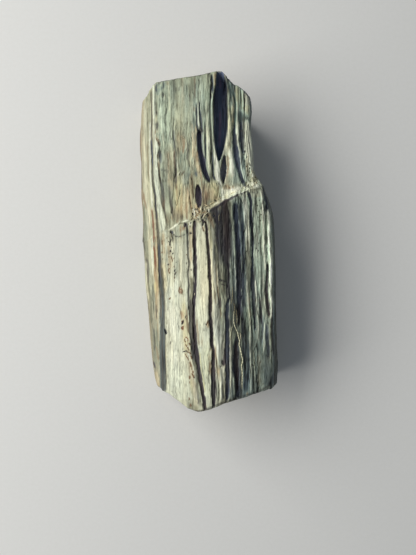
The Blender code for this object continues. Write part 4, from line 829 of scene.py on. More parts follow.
stroke("O", 0.50, 0.12, (383, 196.0, 0.8), (395, 199.0, 0.9), (404, 200.4, 0.9))
stroke("B", 0.60, 0.10, (404.5, 190.2, 1.2), (407, 190.6, 1.0), fade=1.2)

stroke("G", 0.40, 0.0, (258, 176.6, 1.6), (272, 177.0, 1.8), (284, 178.6, 1.0), fade=5)
stroke("G", 0.35, 0.0, (244, 183.5, 1.4), (262, 184.6, 1.6), (280, 185.4, 1.2), fade=6)
stroke("O", 0.35, 0.08, (258, 179.4, 0.4), (276, 179.4, 0.5), (288, 179.8, 0.4))
stroke("G", 0.45, 0.0, (362, 171.4, 0.4), (372, 171.8, 0.5), fade=3)
stroke("G", 0.40, 0.0, (358, 168.2, 0.4), (370, 168.4, 0.5), fade=3)

# --------------------------------------------------- the long grooves, A B C
stroke("D", 0.85, 0.45, (222.5, 186.4, 0.9), (230, 187.0, 0.9), (240, 187.6, 0.8), (250, 187.7, 0.8), (258, 188.2, 0.9), (265, 189.2, 0.8), (272, 187.8, 0.8), (282, 188.6, 1.0), (292, 188.4, 0.8), (302, 188.4, 0.7), (310, 188.8, 0.9))
stroke("K", 0.70, 0.30, (222.6, 186.2, 0.9), (227, 186.8, 0.9), (234, 187.2, 0.7), fade=1.5)
stroke("T", 0.55, 0.0, (225, 189.6, 1.0), (236, 190.0, 1.2), (250, 190.4, 1.2), (262, 190.8, 0.9), fade=3)
stroke("K", 0.85, 0.35, (233.4, 189.6, 0.7), (233.6, 191.2, 0.8), soft=0.5, fade=0.5)
stroke("B", 0.55, 0.08, (224, 192.0, 0.5), (236, 192.2, 0.6), (250, 192.4, 0.6), fade=3)
stroke("O", 0.90, 0.40, (277, 191.4, 1.0), (284, 191.9, 1.7), (296, 191.8, 1.8), (306, 191.4, 2.4), (318, 191.6, 2.9), (330, 192.2, 3.0), (340, 193.0, 3.2), (350, 194.2, 3.4), (358, 195.0, 3.0), (368, 196.8, 2.0), soft=0.35)
stroke("D", 0.85, 0.25, (298, 191.0, 1.6), (306, 191.0, 2.0), (318, 191.2, 2.6), (330, 192.0, 2.7), (342, 193.0, 2.8), (352, 194.2, 3.0), (360, 195.2, 2.4), fade=3)
stroke("K", 0.97, 0.62, (220.0, 194.0, 0.9), (226, 194.0, 1.2), (234, 194.1, 1.4), (242, 194.2, 1.5), (250, 194.4, 1.7), (258, 194.8, 1.9), (266, 194.8, 1.8), (274, 194.8, 1.7), (282, 194.8, 1.6), (292, 194.5, 1.6), (300, 193.9, 1.5), (308, 193.7, 1.2), (318, 193.7, 1.4), (328, 193.9, 1.6), (338, 194.8, 1.7), (347, 195.6, 1.9), (356, 196.8, 2.1), (364, 197.8, 1.9), (372, 198.9, 1.8), (380, 200.2, 1.8), (388, 201.4, 1.8), (396, 202.8, 1.9), (404, 204.2, 1.9), (411, 205.2, 1.6), soft=0.35, fade=1.5)
stroke("K", 0.80, 0.25, (340, 191.2, 0.8), (344, 192.2, 1.2), (350, 193.2, 1.4), (356, 194.4, 1.4), (360, 195.2, 0.9), fade=2)
stroke("G", 0.45, -0.10, (286, 190.6, 0.4), (296, 190.8, 0.5), (304, 190.8, 0.4))
stroke("B", 0.60, 0.10, (318, 196.4, 0.5), (328, 196.8, 0.7), (338, 198.0, 0.7), (346, 199.0, 0.5), soft=0.8, fade=3)
stroke("K", 0.97, 0.62, (221.5, 205.5, 1.0), (230, 206.3, 1.3), (240, 206.9, 1.4), (248, 207.6, 1.5), (256, 208.2, 1.5), (264, 208.8, 1.4), (274, 209.3, 1.4), (284, 209.9, 1.5), (294, 210.3, 1.5), (304, 210.0, 1.7), (312, 209.8, 1.7), (320, 210.2, 1.7), (330, 210.8, 1.7), (338, 211.2, 1.7), (345, 211.6, 1.6), (351, 212.6, 1.6), (358, 212.8, 1.8), (366, 212.9, 2.0), (376, 212.8, 2.2), (384, 212.8, 2.0), (392, 213.0, 2.0), (400, 213.2, 2.0), (408, 213.2, 1.8), soft=0.35, fade=1.5)
stroke("S", 0.50, -0.20, (380, 212.8, 0.5), (390, 212.9, 0.7), (402, 212.8, 0.6))
stroke("C", 0.70, -0.10, (348.5, 211.2, 0.4), (351.5, 211.6, 0.5), fade=0.8)
stroke("B", 0.75, 0.20, (348, 209.9, 0.5), (351, 210.0, 0.6), fade=0.9)
stroke("B", 0.65, 0.10, (226.4, 201.8, 0.6), (229, 202.8, 0.9), (231.6, 203.2, 0.5), fade=0.9)
stroke("T", 0.70, 0.0, (322, 207.6, 0.8), (325, 207.0, 1.4), (328, 208.0, 0.9), fade=1.2)
stroke("D", 0.60, 0.12, (324.2, 205.8, 0.7), (325, 206.2, 0.7), fade=0.7)
stroke("B", 0.60, 0.10, (361, 209.6, 0.9), (368, 209.4, 1.2), (375, 209.8, 0.9), fade=3)
stroke("T", 0.40, 0.0, (338, 202.0, 1.2), (346, 201.0, 1.2), fade=4)
stroke("T", 0.40, 0.0, (354, 208.4, 1.0), (360, 208.6, 1.0), fade=3)
stroke("B", 0.50, 0.08, (405.5, 206.0, 0.8), (408, 205.6, 0.8), fade=1.2)

# ------------------------------------------- right of the crest, near half
stroke("Y", 0.60, 0.0, (222, 208.6, 1.0), (235, 210.0, 1.2), (250, 211.4, 1.6), (262, 212.6, 1.4), fade=4)
stroke("C", 0.80, -0.12, (246, 211.2, 0.9), (258, 211.8, 1.3), (272, 212.6, 1.6), (288, 213.8, 1.9), (304, 214.6, 2.2), (318, 215.2, 2.2), fade=4)
stroke("Q", 0.60, -0.05, (296, 214.2, 1.2), (316, 215.2, 1.6), (336, 216.0, 1.6), fade=4)
stroke("O", 0.45, 0.0, (213, 211.0, 1.4), (222, 212.6, 1.4), (232, 214.0, 1.2), fade=3)
stroke("B", 0.50, 0.08, (262, 215.0, 0.5), (274, 215.8, 0.8), (286, 216.6, 0.7), (300, 217.6, 0.5), fade=3)
stroke("B", 0.55, 0.14, (285, 217.0, 0.4), (296, 217.8, 0.6), (306, 218.2, 0.5))
stroke("W", 0.60, -0.08, (298, 218.8, 0.5), (303, 218.6, 0.6), fade=1.2)
# Painted shade over a dark stain: the next two strokes darken the block just below the saw cut, on the crest's shaded
# flank.
stroke("V", 0.80, 0.20, (201, 226.6, 1.2), (205, 224.4, 3.4), (212, 224.6, 4.2), (222, 225.2, 4.4), (236, 225.8, 4.4), (250, 226.0, 4.0), (262, 226.0, 3.2), (272, 227.2, 1.8), (286, 228.2, 1.4), (300, 229.2, 1.2), soft=0.5, fade=2)
stroke("V", 0.65, 0.12, (206, 216.0, 1.6), (210, 214.4, 3.0), (215, 215.4, 3.8), (222, 217.4, 2.8), (231, 219.0, 1.6), soft=0.7, fade=2)
stroke("B", 0.60, 0.10, (213, 207.0, 1.2), (217, 209.0, 2.0), (222, 211.0, 1.8), (228, 213.0, 1.0), soft=0.8, fade=1.5)
stroke("D", 0.55, 0.05, (222, 219.4, 2.4), (236, 220.2, 2.6), (250, 220.8, 2.6), (262, 221.4, 2.2), soft=0.7, fade=4)
stroke("K", 0.50, 0.15, (228, 217.0, 0.6), (240, 217.6, 0.7), (252, 218.0, 0.7), (262, 218.4, 0.6))
stroke("K", 0.55, 0.15, (226, 222.4, 0.7), (236, 222.4, 0.8), (246, 222.0, 0.8), (256, 221.6, 0.6))
stroke("O", 0.45, -0.05, (212, 222.0, 0.4), (224, 223.0, 0.5), (240, 223.6, 0.4), soft=0.7, fade=3)
stroke("B", 0.45, 0.0, (206, 219.6, 0.9), (210, 218.8, 0.9), soft=0.9, fade=1)
stroke("O", 0.70, -0.10, (201, 228.6, 0.9), (205, 229.2, 1.3), (209, 229.8, 1.2), (214, 230.4, 0.8), soft=0.7, fade=1)
stroke("O", 0.60, 0.0, (266, 221.0, 2.2), (278, 221.8, 2.8), (290, 221.8, 2.8), (300, 221.6, 2.2), fade=5)
stroke("T2", 0.50, -0.06, (270, 222.6, 0.6), (280, 222.4, 0.8), (292, 222.4, 0.6), fade=3)
stroke("D", 0.60, 0.15, (264, 218.4, 0.7), (274, 218.8, 0.8), (284, 218.8, 0.6))
stroke("D", 0.65, 0.12, (279.4, 219.6, 0.8), (281.2, 222.6, 1.2), (282.6, 224.6, 0.8), fade=0.5)
stroke("Z", 0.65, -0.10, (294, 221.6, 0.9), (304, 222.4, 1.0), (312, 222.6, 0.8))
stroke("B", 0.55, 0.12, (296, 219.4, 0.5), (306, 219.8, 0.6), (318, 220.2, 0.5))
stroke("K", 0.65, 0.22, (268, 225.8, 0.8), (276, 225.6, 0.9), (284, 226.4, 0.8), (292, 226.2, 0.8), (299, 227.0, 0.8))
stroke("D", 0.55, 0.10, (218, 230.2, 0.8), (230, 230.8, 1.0), (244, 231.0, 1.0), (256, 231.0, 0.9), (264, 231.4, 0.7))
stroke("Z", 0.80, -0.20, (203, 231.6, 0.7), (210, 231.8, 0.9), (218, 232.2, 1.3), (228, 232.8, 1.5), (238, 233.4, 1.4), (248, 233.7, 1.2), (258, 234.2, 0.9), fade=2)
stroke("Q", 0.70, -0.22, (258, 234.3, 0.6), (266, 234.8, 0.9), (276, 235.2, 0.9), (286, 235.2, 0.9), (292, 234.8, 0.6), fade=2)
stroke("Z", 0.50, -0.10, (262, 231.2, 0.6), (276, 231.4, 0.8), (290, 231.4, 0.7))
stroke("N", 0.95, 0.42, (202.5, 235.0, 1.3), (208, 235.2, 2.0), (214, 235.3, 2.2), (226, 236.2, 2.3), (240, 237.0, 2.4), (250, 237.8, 2.4), (262, 238.4, 2.6), (272, 238.4, 2.8), (284, 238.6, 2.8), (296, 238.8, 2.7), (304, 238.6, 2.2), (316, 238.4, 1.6), (326, 238.0, 0.9), soft=0.30)
stroke("U", 0.80, 0.12, (203, 239.4, 1.5), (214, 240.3, 2.0), (226, 241.6, 2.2), (240, 242.6, 2.2), (254, 242.8, 2.0), (268, 243.0, 2.2), (284, 243.2, 2.4), (300, 243.6, 2.4), (318, 243.4, 2.0), (336, 243.6, 1.6), soft=0.5)
stroke("N", 0.70, 0.15, (222, 242.0, 0.9), (240, 242.8, 1.2), (250, 242.6, 0.9), (262, 243.6, 0.8), (276, 242.4, 1.0), (292, 242.8, 1.2), (306, 243.0, 1.0), fade=3)
stroke("S", 0.50, -0.12, (250, 242.8, 0.6), (255, 243.2, 0.9), (262, 243.4, 0.7), fade=2)
stroke("S", 0.50, -0.12, (204, 238.6, 0.5), (218, 239.2, 0.7), (232, 239.8, 0.5), fade=2)
stroke("Q", 0.88, -0.25, (192.6, 242.4, 1.2), (197, 243.4, 1.9), (204, 244.6, 2.2), (212, 245.6, 2.4), (222, 246.4, 2.4), (234, 247.2, 2.2), (246, 247.8, 1.9), (256, 248.4, 1.4), (264, 249.0, 0.9), soft=0.35)
stroke("O", 0.55, 0.12, (204, 246.4, 0.4), (216, 247.0, 0.5), (232, 247.2, 0.5), (246, 246.6, 0.4))
stroke("O", 0.70, 0.0, (238, 246.4, 1.3), (250, 247.2, 1.8), (264, 247.8, 2.3), (278, 248.2, 2.6), (292, 248.0, 2.2), (304, 248.0, 1.4), fade=5)
stroke("C", 0.75, -0.15, (254, 249.8, 0.4), (260, 250.1, 0.6), (265, 250.4, 0.6), (269, 250.4, 0.4), fade=1)
stroke("D", 0.55, 0.12, (262, 245.8, 0.4), (276, 246.2, 0.6), (288, 246.0, 0.5))
stroke("N", 0.95, 0.50, (191.4, 247.2, 0.9), (194.5, 248.6, 1.5), (199, 249.8, 1.6), (204, 250.4, 1.2), (212, 250.5, 1.4), (219, 250.5, 1.6), (230, 251.4, 1.4), (242, 252.0, 1.4), (254, 252.1, 1.2), (264, 252.1, 1.1), (270, 251.9, 1.4), (276, 252.2, 1.8), (286, 252.2, 1.8), (296, 252.7, 1.6), (306, 253.2, 1.4), (318, 254.0, 1.2), (330, 254.6, 0.8), soft=0.32)
stroke("D", 0.55, 0.10, (270, 253.0, 1.8), (286, 253.0, 1.8), (302, 253.8, 1.8), (318, 254.2, 1.6), fade=4)
stroke("C", 0.40, -0.05, (189, 249.0, 2.4), (190, 255.0, 2.4), fade=1.0)
stroke("D", 0.60, 0.12, (191.6, 251.6, 0.8), (192.8, 253.4, 0.7), (192.0, 255.4, 0.5), fade=0.6)
stroke("Q", 0.50, -0.12, (228, 256.4, 1.2), (244, 257.0, 1.2), (258, 256.6, 1.0), fade=4)
stroke("O", 0.60, 0.22, (194, 255.6, 0.6), (204, 255.4, 0.5), (214, 256.2, 0.5))
stroke("Q", 0.55, -0.12, (193, 253.6, 0.8), (202, 253.8, 0.8), (216, 255.0, 0.7), fade=3)
stroke("O", 0.60, 0.22, (210, 259.2, 0.5), (222, 259.6, 0.6), (234, 259.6, 0.4))
stroke("D", 0.60, 0.22, (236, 260.6, 0.5), (246, 260.2, 0.8), (256, 260.8, 0.6))
for v, u, r in ((203.0, 262.6, 0.6), (205.4, 257.2, 0.7), (208.2, 260.6, 0.7), (211.4, 258.6, 0.6), (214.6, 261.2, 0.7),
                (217.4, 258.0, 0.6), (220.6, 260.2, 0.6), (200.4, 259.0, 0.5), (210.0, 263.6, 0.8), (248.4, 256.2, 0.6),
                (250.6, 258.0, 0.6), (236.0, 255.6, 0.5), (243.4, 258.4, 0.5), (226.8, 258.6, 0.5)):
    chip("D", 0.65, 0.14, (v - 0.9 * r, u + 0.3, 0.6 * r), (v + 0.9 * r, u - 0.2, 0.7 * r), soft=0.5, fade=0.4)
stroke("Q", 0.88, -0.28, (189, 260.7, 0.9), (198, 261.6, 1.0), (206, 262.2, 0.8), (212, 262.6, 1.0), (222, 262.8, 1.1), (234, 263.2, 1.0), (246, 263.4, 0.9), (256, 263.8, 1.0), (264, 264.4, 0.9), (271, 265.0, 0.6))
stroke("Q", 0.65, -0.10, (207, 261.4, 0.9), (211, 262.4, 1.5), (216, 263.0, 1.4), (222, 263.2, 1.0), soft=0.5, fade=1.5)
stroke("W", 0.80, -0.12, (173.4, 250.8, 1.3), (175.4, 252.2, 1.5), (177.2, 252.8, 1.0), soft=0.5, fade=0.5)
stroke("O", 0.65, 0.05, (176.8, 254.8, 1.2), (179.5, 254.8, 2.2), (182.4, 255.0, 1.4), soft=0.7, fade=0.5)
stroke("W", 0.85, -0.12, (180.2, 246.8, 0.8), (182.4, 249.0, 1.2), (184.6, 252.6, 1.4), (186.6, 256.6, 1.4), (186.0, 260.0, 0.9), soft=0.5, fade=0.8)
stroke("D", 0.55, 0.08, (185.6, 246.6, 1.0), (187.6, 249.6, 1.0), soft=0.7, fade=0.7)
stroke("U", 0.70, 0.10, (184.8, 243.8, 1.1), (187.2, 245.6, 0.9), soft=0.6, fade=0.5)
stroke("O", 0.65, 0.05, (189.9, 249.6, 0.8), (189.4, 254.6, 0.9), (188.6, 259.6, 0.8), soft=0.7, fade=1)
stroke("D", 0.55, 0.25, (206, 264.4, 0.6), (214, 264.6, 0.5))
stroke("Q", 0.60, -0.15, (206, 265.4, 0.7), (214, 265.2, 0.8), (222, 264.8, 0.6), fade=2)
stroke("D", 0.75, 0.35, (205, 265.6, 0.6), (210, 265.8, 1.0), (213, 265.6, 0.6), fade=1)
stroke("O", 0.75, 0.12, (213, 265.6, 0.7), (222, 265.4, 0.8), (234, 265.8, 0.8), (246, 266.2, 0.8), soft=0.5, fade=2)
stroke("D", 0.60, 0.20, (222, 265.4, 0.5), (234, 265.8, 0.7), (244, 266.0, 0.5))
stroke("K", 0.75, 0.25, (247, 266.0, 0.5), (253, 266.3, 0.8), (259, 266.5, 0.5), fade=1)
stroke("N", 0.92, 0.30, (185.4, 263.0, 1.0), (189, 263.8, 1.8), (193, 264.8, 2.3), (198, 266.6, 2.7), (203, 267.4, 2.7), (207, 267.6, 2.2), (210, 267.0, 1.2), soft=0.35, fade=0.8)
stroke("Z", 0.60, -0.10, (206.6, 268.4, 0.5), (208.8, 268.4, 0.7), soft=0.5, fade=0.4)
stroke("G", 0.60, -0.10, (204, 270.4, 0.6), (209, 271.0, 0.8), (214, 271.4, 0.6), soft=0.5, fade=1)
stroke("K", 0.92, 0.45, (262, 267.2, 0.5), (267, 267.0, 1.1), (274, 266.8, 1.3), (280, 266.4, 1.3), (286, 266.2, 1.4), (292, 265.8, 1.6), (298, 266.3, 1.6), (304, 267.1, 1.6), (310, 267.9, 1.5), (317, 268.6, 1.0), soft=0.35)
stroke("W2", 0.9, -0.10, (210.6, 267.8, 1.1), (214, 268.2, 1.5), (220, 268.8, 1.3), (228, 269.0, 0.8), soft=0.4, fade=1)
stroke("W", 1.0, -0.45, (210.4, 267.8, 1.0), (213, 268.2, 1.4), (220, 268.8, 1.5), (228, 268.6, 1.3), (236, 268.6, 1.2), (244, 269.4, 1.4), (254, 270.5, 1.5), (262, 270.7, 1.4), (270, 270.3, 1.5), (280, 270.1, 1.6), (290, 269.9, 1.8), (296, 270.7, 1.6), (302, 271.4, 1.4), (308, 271.4, 1.3), (314, 270.8, 1.0), (320, 270.2, 0.7), soft=0.4)
stroke("C", 0.55, -0.15, (254, 272.6, 0.9), (260, 273.0, 0.8), fade=2)
stroke("O", 0.65, 0.0, (212, 271.0, 1.1), (222, 272.0, 1.4), (231, 272.8, 1.2), fade=2)
stroke("C", 0.60, -0.15, (232, 271.4, 0.5), (234.5, 271.6, 0.5), fade=0.8)
stroke("D", 0.65, 0.10, (224, 273.0, 1.0), (236, 273.6, 1.4), (252, 274.2, 1.4), (276, 274.6, 1.6), (300, 274.8, 1.5), (330, 275.2, 1.6), (360, 275.6, 1.8), (382, 275.2, 2.0), fade=3)

# --------------------------------------------- right of the crest, near end
stroke("Z", 0.40, 0.0, (318, 219.6, 1.0), (332, 220.0, 1.4), fade=4)
stroke("O", 0.60, 0.14, (305, 219.0, 0.4), (313, 221.0, 0.4), (322, 221.4, 0.5), (332, 221.6, 0.5), (338, 221.8, 0.4))
stroke("C", 0.75, -0.20, (296, 222.8, 0.5), (304, 223.2, 0.6), (313, 223.2, 0.6), (320, 223.4, 0.6), (330, 223.6, 0.6), (336, 223.2, 0.5))
stroke("N", 0.95, 0.40, (298, 228.4, 0.7), (303, 227.2, 1.5), (309, 226.6, 2.0), (318, 226.5, 2.0), (328, 226.9, 2.0), (338, 227.0, 2.1), (350, 227.0, 2.3), (360, 227.0, 2.4), (370, 227.2, 2.1), (382, 227.3, 2.0), (394, 226.8, 1.9), (401, 226.4, 1.2), soft=0.32, fade=2)
stroke("S", 0.40, -0.15, (359, 226.6, 0.7), (366, 226.8, 0.8), (372, 227.0, 0.6), fade=2)
stroke("S", 0.60, -0.15, (304, 229.2, 0.7), (312, 229.6, 1.0), (320, 229.8, 0.9), (328, 230.0, 0.6))
stroke("D", 0.55, 0.05, (292, 232.4, 1.6), (302, 232.6, 2.4), (314, 233.4, 3.4), (326, 234.2, 3.2), (336, 234.6, 2.4), soft=0.8, fade=3)
stroke("Q", 0.72, -0.25, (326, 230.6, 0.8), (338, 230.6, 1.1), (350, 230.5, 1.1), (362, 230.3, 1.1), (374, 230.6, 1.0), (386, 230.6, 1.0), (396, 230.2, 0.9), (401, 229.4, 0.7))
stroke("Z", 0.60, -0.08, (330, 232.4, 1.2), (338, 232.8, 1.5), (346, 232.8, 1.0), fade=2)
stroke("N", 0.92, 0.35, (334, 236.6, 0.8), (338, 236.4, 1.7), (344, 235.8, 2.5), (350, 235.7, 2.9), (358, 235.4, 3.2), (366, 235.3, 3.3), (372, 235.5, 3.1), (378, 236.2, 2.5), (386, 236.6, 2.5), (399, 237.2, 2.6), soft=0.40, fade=3)
stroke("D", 0.60, 0.08, (376, 240.4, 1.2), (386, 240.6, 1.8), (398, 240.4, 2.0), soft=0.7, fade=4)
stroke("K", 0.50, 0.15, (342, 235.2, 1.2), (354, 234.8, 1.6), (366, 234.6, 1.6), (380, 236.0, 1.4), (394, 236.4, 1.4), soft=0.6, fade=4)
stroke("Z", 0.75, -0.18, (377, 233.4, 0.5), (384, 234.0, 0.8), (392, 234.2, 0.9), (397, 234.0, 0.6))
stroke("D", 0.60, 0.15, (292, 229.8, 0.8), (302, 230.6, 0.9), fade=3)
stroke("O", 0.55, 0.0, (304, 234.8, 1.0), (314, 234.8, 1.0), (326, 235.6, 0.8), fade=3)
stroke("C", 0.55, -0.12, (311, 236.8, 0.4), (317, 236.8, 0.5), (323, 236.8, 0.4))
stroke("N", 0.70, 0.15, (306, 240.8, 1.2), (318, 241.2, 1.0), (330, 242.0, 1.2), (342, 242.8, 1.3), (352, 243.4, 1.2), (362, 244.2, 1.1), (376, 244.6, 1.1), (390, 244.4, 1.1), soft=0.45, fade=3)
stroke("U", 0.75, 0.10, (328, 245.8, 1.4), (345, 245.8, 1.8), (360, 246.4, 1.9), (376, 246.6, 1.9), (392, 246.0, 2.0), soft=0.6, fade=4)
stroke("N", 0.50, 0.12, (340, 247.8, 0.8), (360, 248.0, 0.9), (384, 247.8, 1.0), fade=5)
stroke("Q", 0.75, -0.25, (280, 246.4, 0.7), (292, 247.2, 0.9), (302, 248.0, 1.0), (312, 248.8, 1.0), (322, 249.5, 1.0), (332, 249.9, 0.9), (345, 249.8, 0.9), (358, 250.1, 0.9), (370, 250.6, 0.9), (382, 250.7, 0.9), (392, 250.6, 0.7))
stroke("T2", 0.60, -0.05, (296, 248.6, 0.6), (308, 249.6, 0.7), (318, 250.4, 0.6), fade=3)
stroke("O", 0.50, 0.15, (318, 251.4, 0.5), (330, 251.8, 0.6), (345, 252.2, 0.6), (358, 252.4, 0.5))
stroke("Q", 0.78, -0.22, (279, 254.8, 0.6), (288, 255.2, 0.8), (296, 255.8, 0.8), (304, 256.8, 0.9), (312, 257.6, 0.9), (322, 258.0, 0.9), (334, 257.9, 0.9), (341, 258.4, 0.7))
stroke("Q", 0.60, -0.15, (352, 253.2, 0.5), (365, 254.2, 0.6), (378, 254.8, 0.8), (392, 254.8, 0.7))
stroke("K", 0.75, 0.28, (294, 258.4, 0.5), (302, 259.4, 0.9), (310, 260.2, 1.1), (318, 260.8, 1.1), (325, 261.2, 0.6))
stroke("Q", 0.50, -0.12, (278, 259.4, 0.5), (292, 259.8, 0.5), (304, 261.4, 0.6), (314, 262.6, 0.6))
stroke("Q", 0.75, -0.20, (274, 263.2, 0.8), (284, 263.2, 0.9), (294, 263.6, 0.8), (304, 264.6, 0.8), (314, 265.6, 0.8), (319, 265.4, 0.5))
stroke("O", 0.50, 0.15, (280, 261.2, 0.5), (292, 261.2, 0.5))
stroke("Z", 0.60, -0.12, (296, 262.6, 0.8), (306, 263.0, 1.2), (316, 263.8, 1.0), fade=2)
stroke("Q", 0.60, -0.20, (322, 264.2, 0.7), (334, 263.8, 0.8), (342, 264.0, 1.0), (351, 263.6, 0.8))
stroke("N", 0.70, 0.18, (324, 266.4, 0.7), (336, 266.8, 1.5), (348, 267.6, 1.7), (358, 267.8, 1.1), fade=2)
stroke("N", 0.50, 0.12, (318, 262.4, 0.6), (326, 262.2, 0.9), (336, 261.6, 0.9), (344, 261.4, 0.6), fade=2)
stroke("K", 0.65, 0.25, (317, 270.4, 0.6), (330, 271.4, 0.9), (344, 272.6, 0.9), (356, 273.0, 0.8))
stroke("Z", 0.60, -0.18, (321, 270.0, 0.7), (330, 269.4, 0.8), (344, 270.2, 0.9), (356, 270.8, 1.0), (368, 271.6, 1.0), (376, 271.0, 0.8))
stroke("Z", 0.35, 0.0, (376, 259.6, 2.0), (388, 259.6, 2.4), fade=4)
stroke("T", 0.30, 0.0, (352, 258.0, 1.6), (366, 258.4, 1.8), (388, 258.0, 2.0), fade=6)
stroke("U", 0.60, 0.05, (352, 266.0, 2.2), (364, 266.4, 3.2), (378, 267.4, 4.4), (387, 267.4, 4.4), soft=0.9, fade=4)
stroke("N", 0.40, 0.05, (372, 274.2, 2.0), (382, 272.2, 3.0), (387, 268.4, 2.4), soft=0.9, fade=2)
for v, u, r in ((332, 254.8, 0.7), (337, 261.2, 0.7), (345, 255.6, 0.6), (351, 259.4, 0.6), (357, 256.6, 0.7), (362, 260.2, 0.7),
                (367, 255.4, 0.6), (372, 262.6, 0.6), (378, 257.6, 0.7), (384, 262.2, 0.6), (390, 258.6, 0.6), (342, 253.8, 0.5),
                (354, 261.8, 0.5), (326, 255.6, 0.5), (381, 252.8, 0.5), (365, 251.8, 0.5)):
    stroke("B", 0.50, 0.14, (v - 1.2 * r, u + 0.3, 0.6 * r), (v + 1.2 * r, u - 0.2, 0.7 * r), soft=0.6, fade=0.6)
stroke("T", 0.70, -0.10, (392, 246.6, 0.9), (396, 246.8, 1.0), fade=1.2)
stroke("W2", 0.75, -0.05, (336, 220.0, 1.2), (343, 220.2, 1.8), (350, 220.4, 1.9), (356.6, 220.4, 1.3), soft=0.5, fade=2)
stroke("K", 0.75, 0.30, (359.8, 222.2, 0.8), (361.6, 222.3, 1.3), (363.8, 222.7, 1.3), (365.8, 223.6, 0.6), fade=0.8, soft=0.5)
stroke("K", 0.55, 0.15, (366, 222.0, 0.5), (366.6, 220.2, 0.5), (365.4, 218.8, 0.4), fade=0.6, soft=0.5)
stroke("W", 0.90, -0.12, (328, 216.6, 2.2), (340, 217.8, 2.8), (350, 219.0, 2.8), (358, 219.4, 2.2), (365, 219.6, 1.4), soft=0.5, fade=4)
stroke("B", 0.70, 0.16, (346, 214.8, 0.5), (354, 215.2, 0.6), (362, 216.2, 0.8), (370, 216.8, 0.9), (380, 216.8, 0.6))
stroke("C", 0.80, -0.12, (366, 218.8, 1.0), (374, 219.6, 1.6), (382, 220.2, 1.2), fade=2)
stroke("T", 0.60, 0.0, (366, 218.2, 1.4), (378, 218.2, 1.4), fade=4)
stroke("W", 0.85, -0.22, (376, 221.0, 0.6), (382, 221.2, 0.7), (390, 220.8, 0.8), (396, 221.0, 0.9), (401, 220.6, 0.6))
stroke("O", 0.60, 0.16, (383, 218.8, 0.6), (394, 218.6, 0.7), (402, 218.4, 0.6))
stroke("Z", 0.50, 0.0, (384, 216.6, 1.0), (396, 217.0, 1.4), fade=3)
stroke("C", 0.60, -0.12, (384, 223.4, 0.6), (392, 223.8, 0.7), fade=1.5)
stroke("D", 0.70, 0.18, (384, 222.4, 0.5), (392, 222.8, 0.8), (400, 223.4, 1.0))
# painted shade along the near edge, where the surface rolls down towards the floor
stroke("D", 0.60, 0.0, (409.4, 188.4, 0.7), (411.4, 194.0, 0.9), (411.2, 199.0, 1.0), (409.8, 205.0, 1.0), (407.4, 211.0, 1.0), (405.2, 216.0, 0.9), (403.4, 221.0, 0.9), (401.0, 228.0, 0.9), (398.2, 236.0, 0.9), (395.2, 245.0, 0.9), (392.8, 254.0, 0.9), (389.0, 262.0, 0.9), (385.6, 269.0, 0.9), soft=0.9, fade=2)

# ------------------------------------------------- the cut's lip on the left
stroke("W", 0.85, -0.18, (230.4, 168.6, 0.5), (227.8, 172.6, 0.7), (224.8, 176.2, 0.8), (222.6, 179.8, 0.7), (221.4, 184.0, 0.6), (220.4, 188.6, 0.5), soft=0.4, fade=0.8)
stroke("D", 0.85, 0.30, (235.6, 173.4, 0.4), (236.6, 175.6, 0.42), (236.8, 178.4, 0.38), (235.8, 181.2, 0.42), (234.6, 184.2, 0.40), (233.2, 187.2, 0.38), soft=0.4, fade=0.8)
stroke("W", 0.60, -0.12, (231.4, 173.8, 0.4), (234.0, 174.6, 0.45), (236.0, 174.4, 0.35), soft=0.4, fade=0.6)
stroke("B", 0.35, 0.12, (228.4, 179.6, 0.7), (230.6, 180.6, 1.2), (228.4, 183.0, 1.6), (226.6, 185.2, 1.2), soft=0.6, fade=0.8)
stroke("O", 0.60, 0.08, (224.4, 177.4, 0.8), (223.4, 181.0, 0.9), (222.8, 184.6, 0.8), soft=0.5, fade=1.0)
stroke("O", 0.55, 0.10, (242.0, 169.6, 0.6), (247.0, 170.2, 0.6), soft=0.5, fade=1.0)

# ------------------------------------------------------ along the far edge
stroke("D", 0.55, 0.10, (81.0, 160.0, 0.5), (79.4, 170.0, 0.6), (78.4, 176.0, 0.5), soft=0.7, fade=1)
stroke("D", 0.45, 0.10, (76.6, 187.0, 0.5), (75.4, 195.0, 0.5), (74.2, 203.0, 0.6), (73.2, 209.0, 0.7), soft=0.7, fade=1)
stroke("O", 0.55, 0.08, (78.0, 181.0, 1.4), (83.0, 181.4, 1.0), (87.0, 181.6, 0.6), soft=0.6, fade=1)
stroke("N", 0.60, 0.15, (71.8, 205.5, 0.8), (72.4, 209.5, 1.0), fade=0.8)
# Painted shade: blue-black along the cut-off far corner and down the right edge, where the top turns down.
stroke("N", 0.75, 0.15, (72.0, 223.8, 1.2), (76.0, 227.4, 1.9), (80.0, 230.6, 1.8), (84.2, 234.4, 1.2), soft=0.4, fade=1)
stroke("N", 0.70, 0.10, (84.0, 236.4, 0.6), (88.2, 241.4, 0.9), (92.4, 245.2, 1.0), (96.6, 248.6, 1.3), (102.0, 250.4, 1.4), (112.0, 251.2, 1.5), (122.0, 250.6, 1.5), (131.0, 250.0, 1.0), soft=0.4, fade=1)
stroke("S2", 0.45, 0.10, (113, 231.0, 3.6), (117, 238.0, 4.6), (118, 245.0, 4.0), soft=0.7, fade=3)
stroke("S2", 0.65, 0.20, (80, 226.4, 1.2), (90, 229.6, 1.4), (100, 231.4, 1.2), (106, 232.4, 0.8), soft=0.5, fade=2)

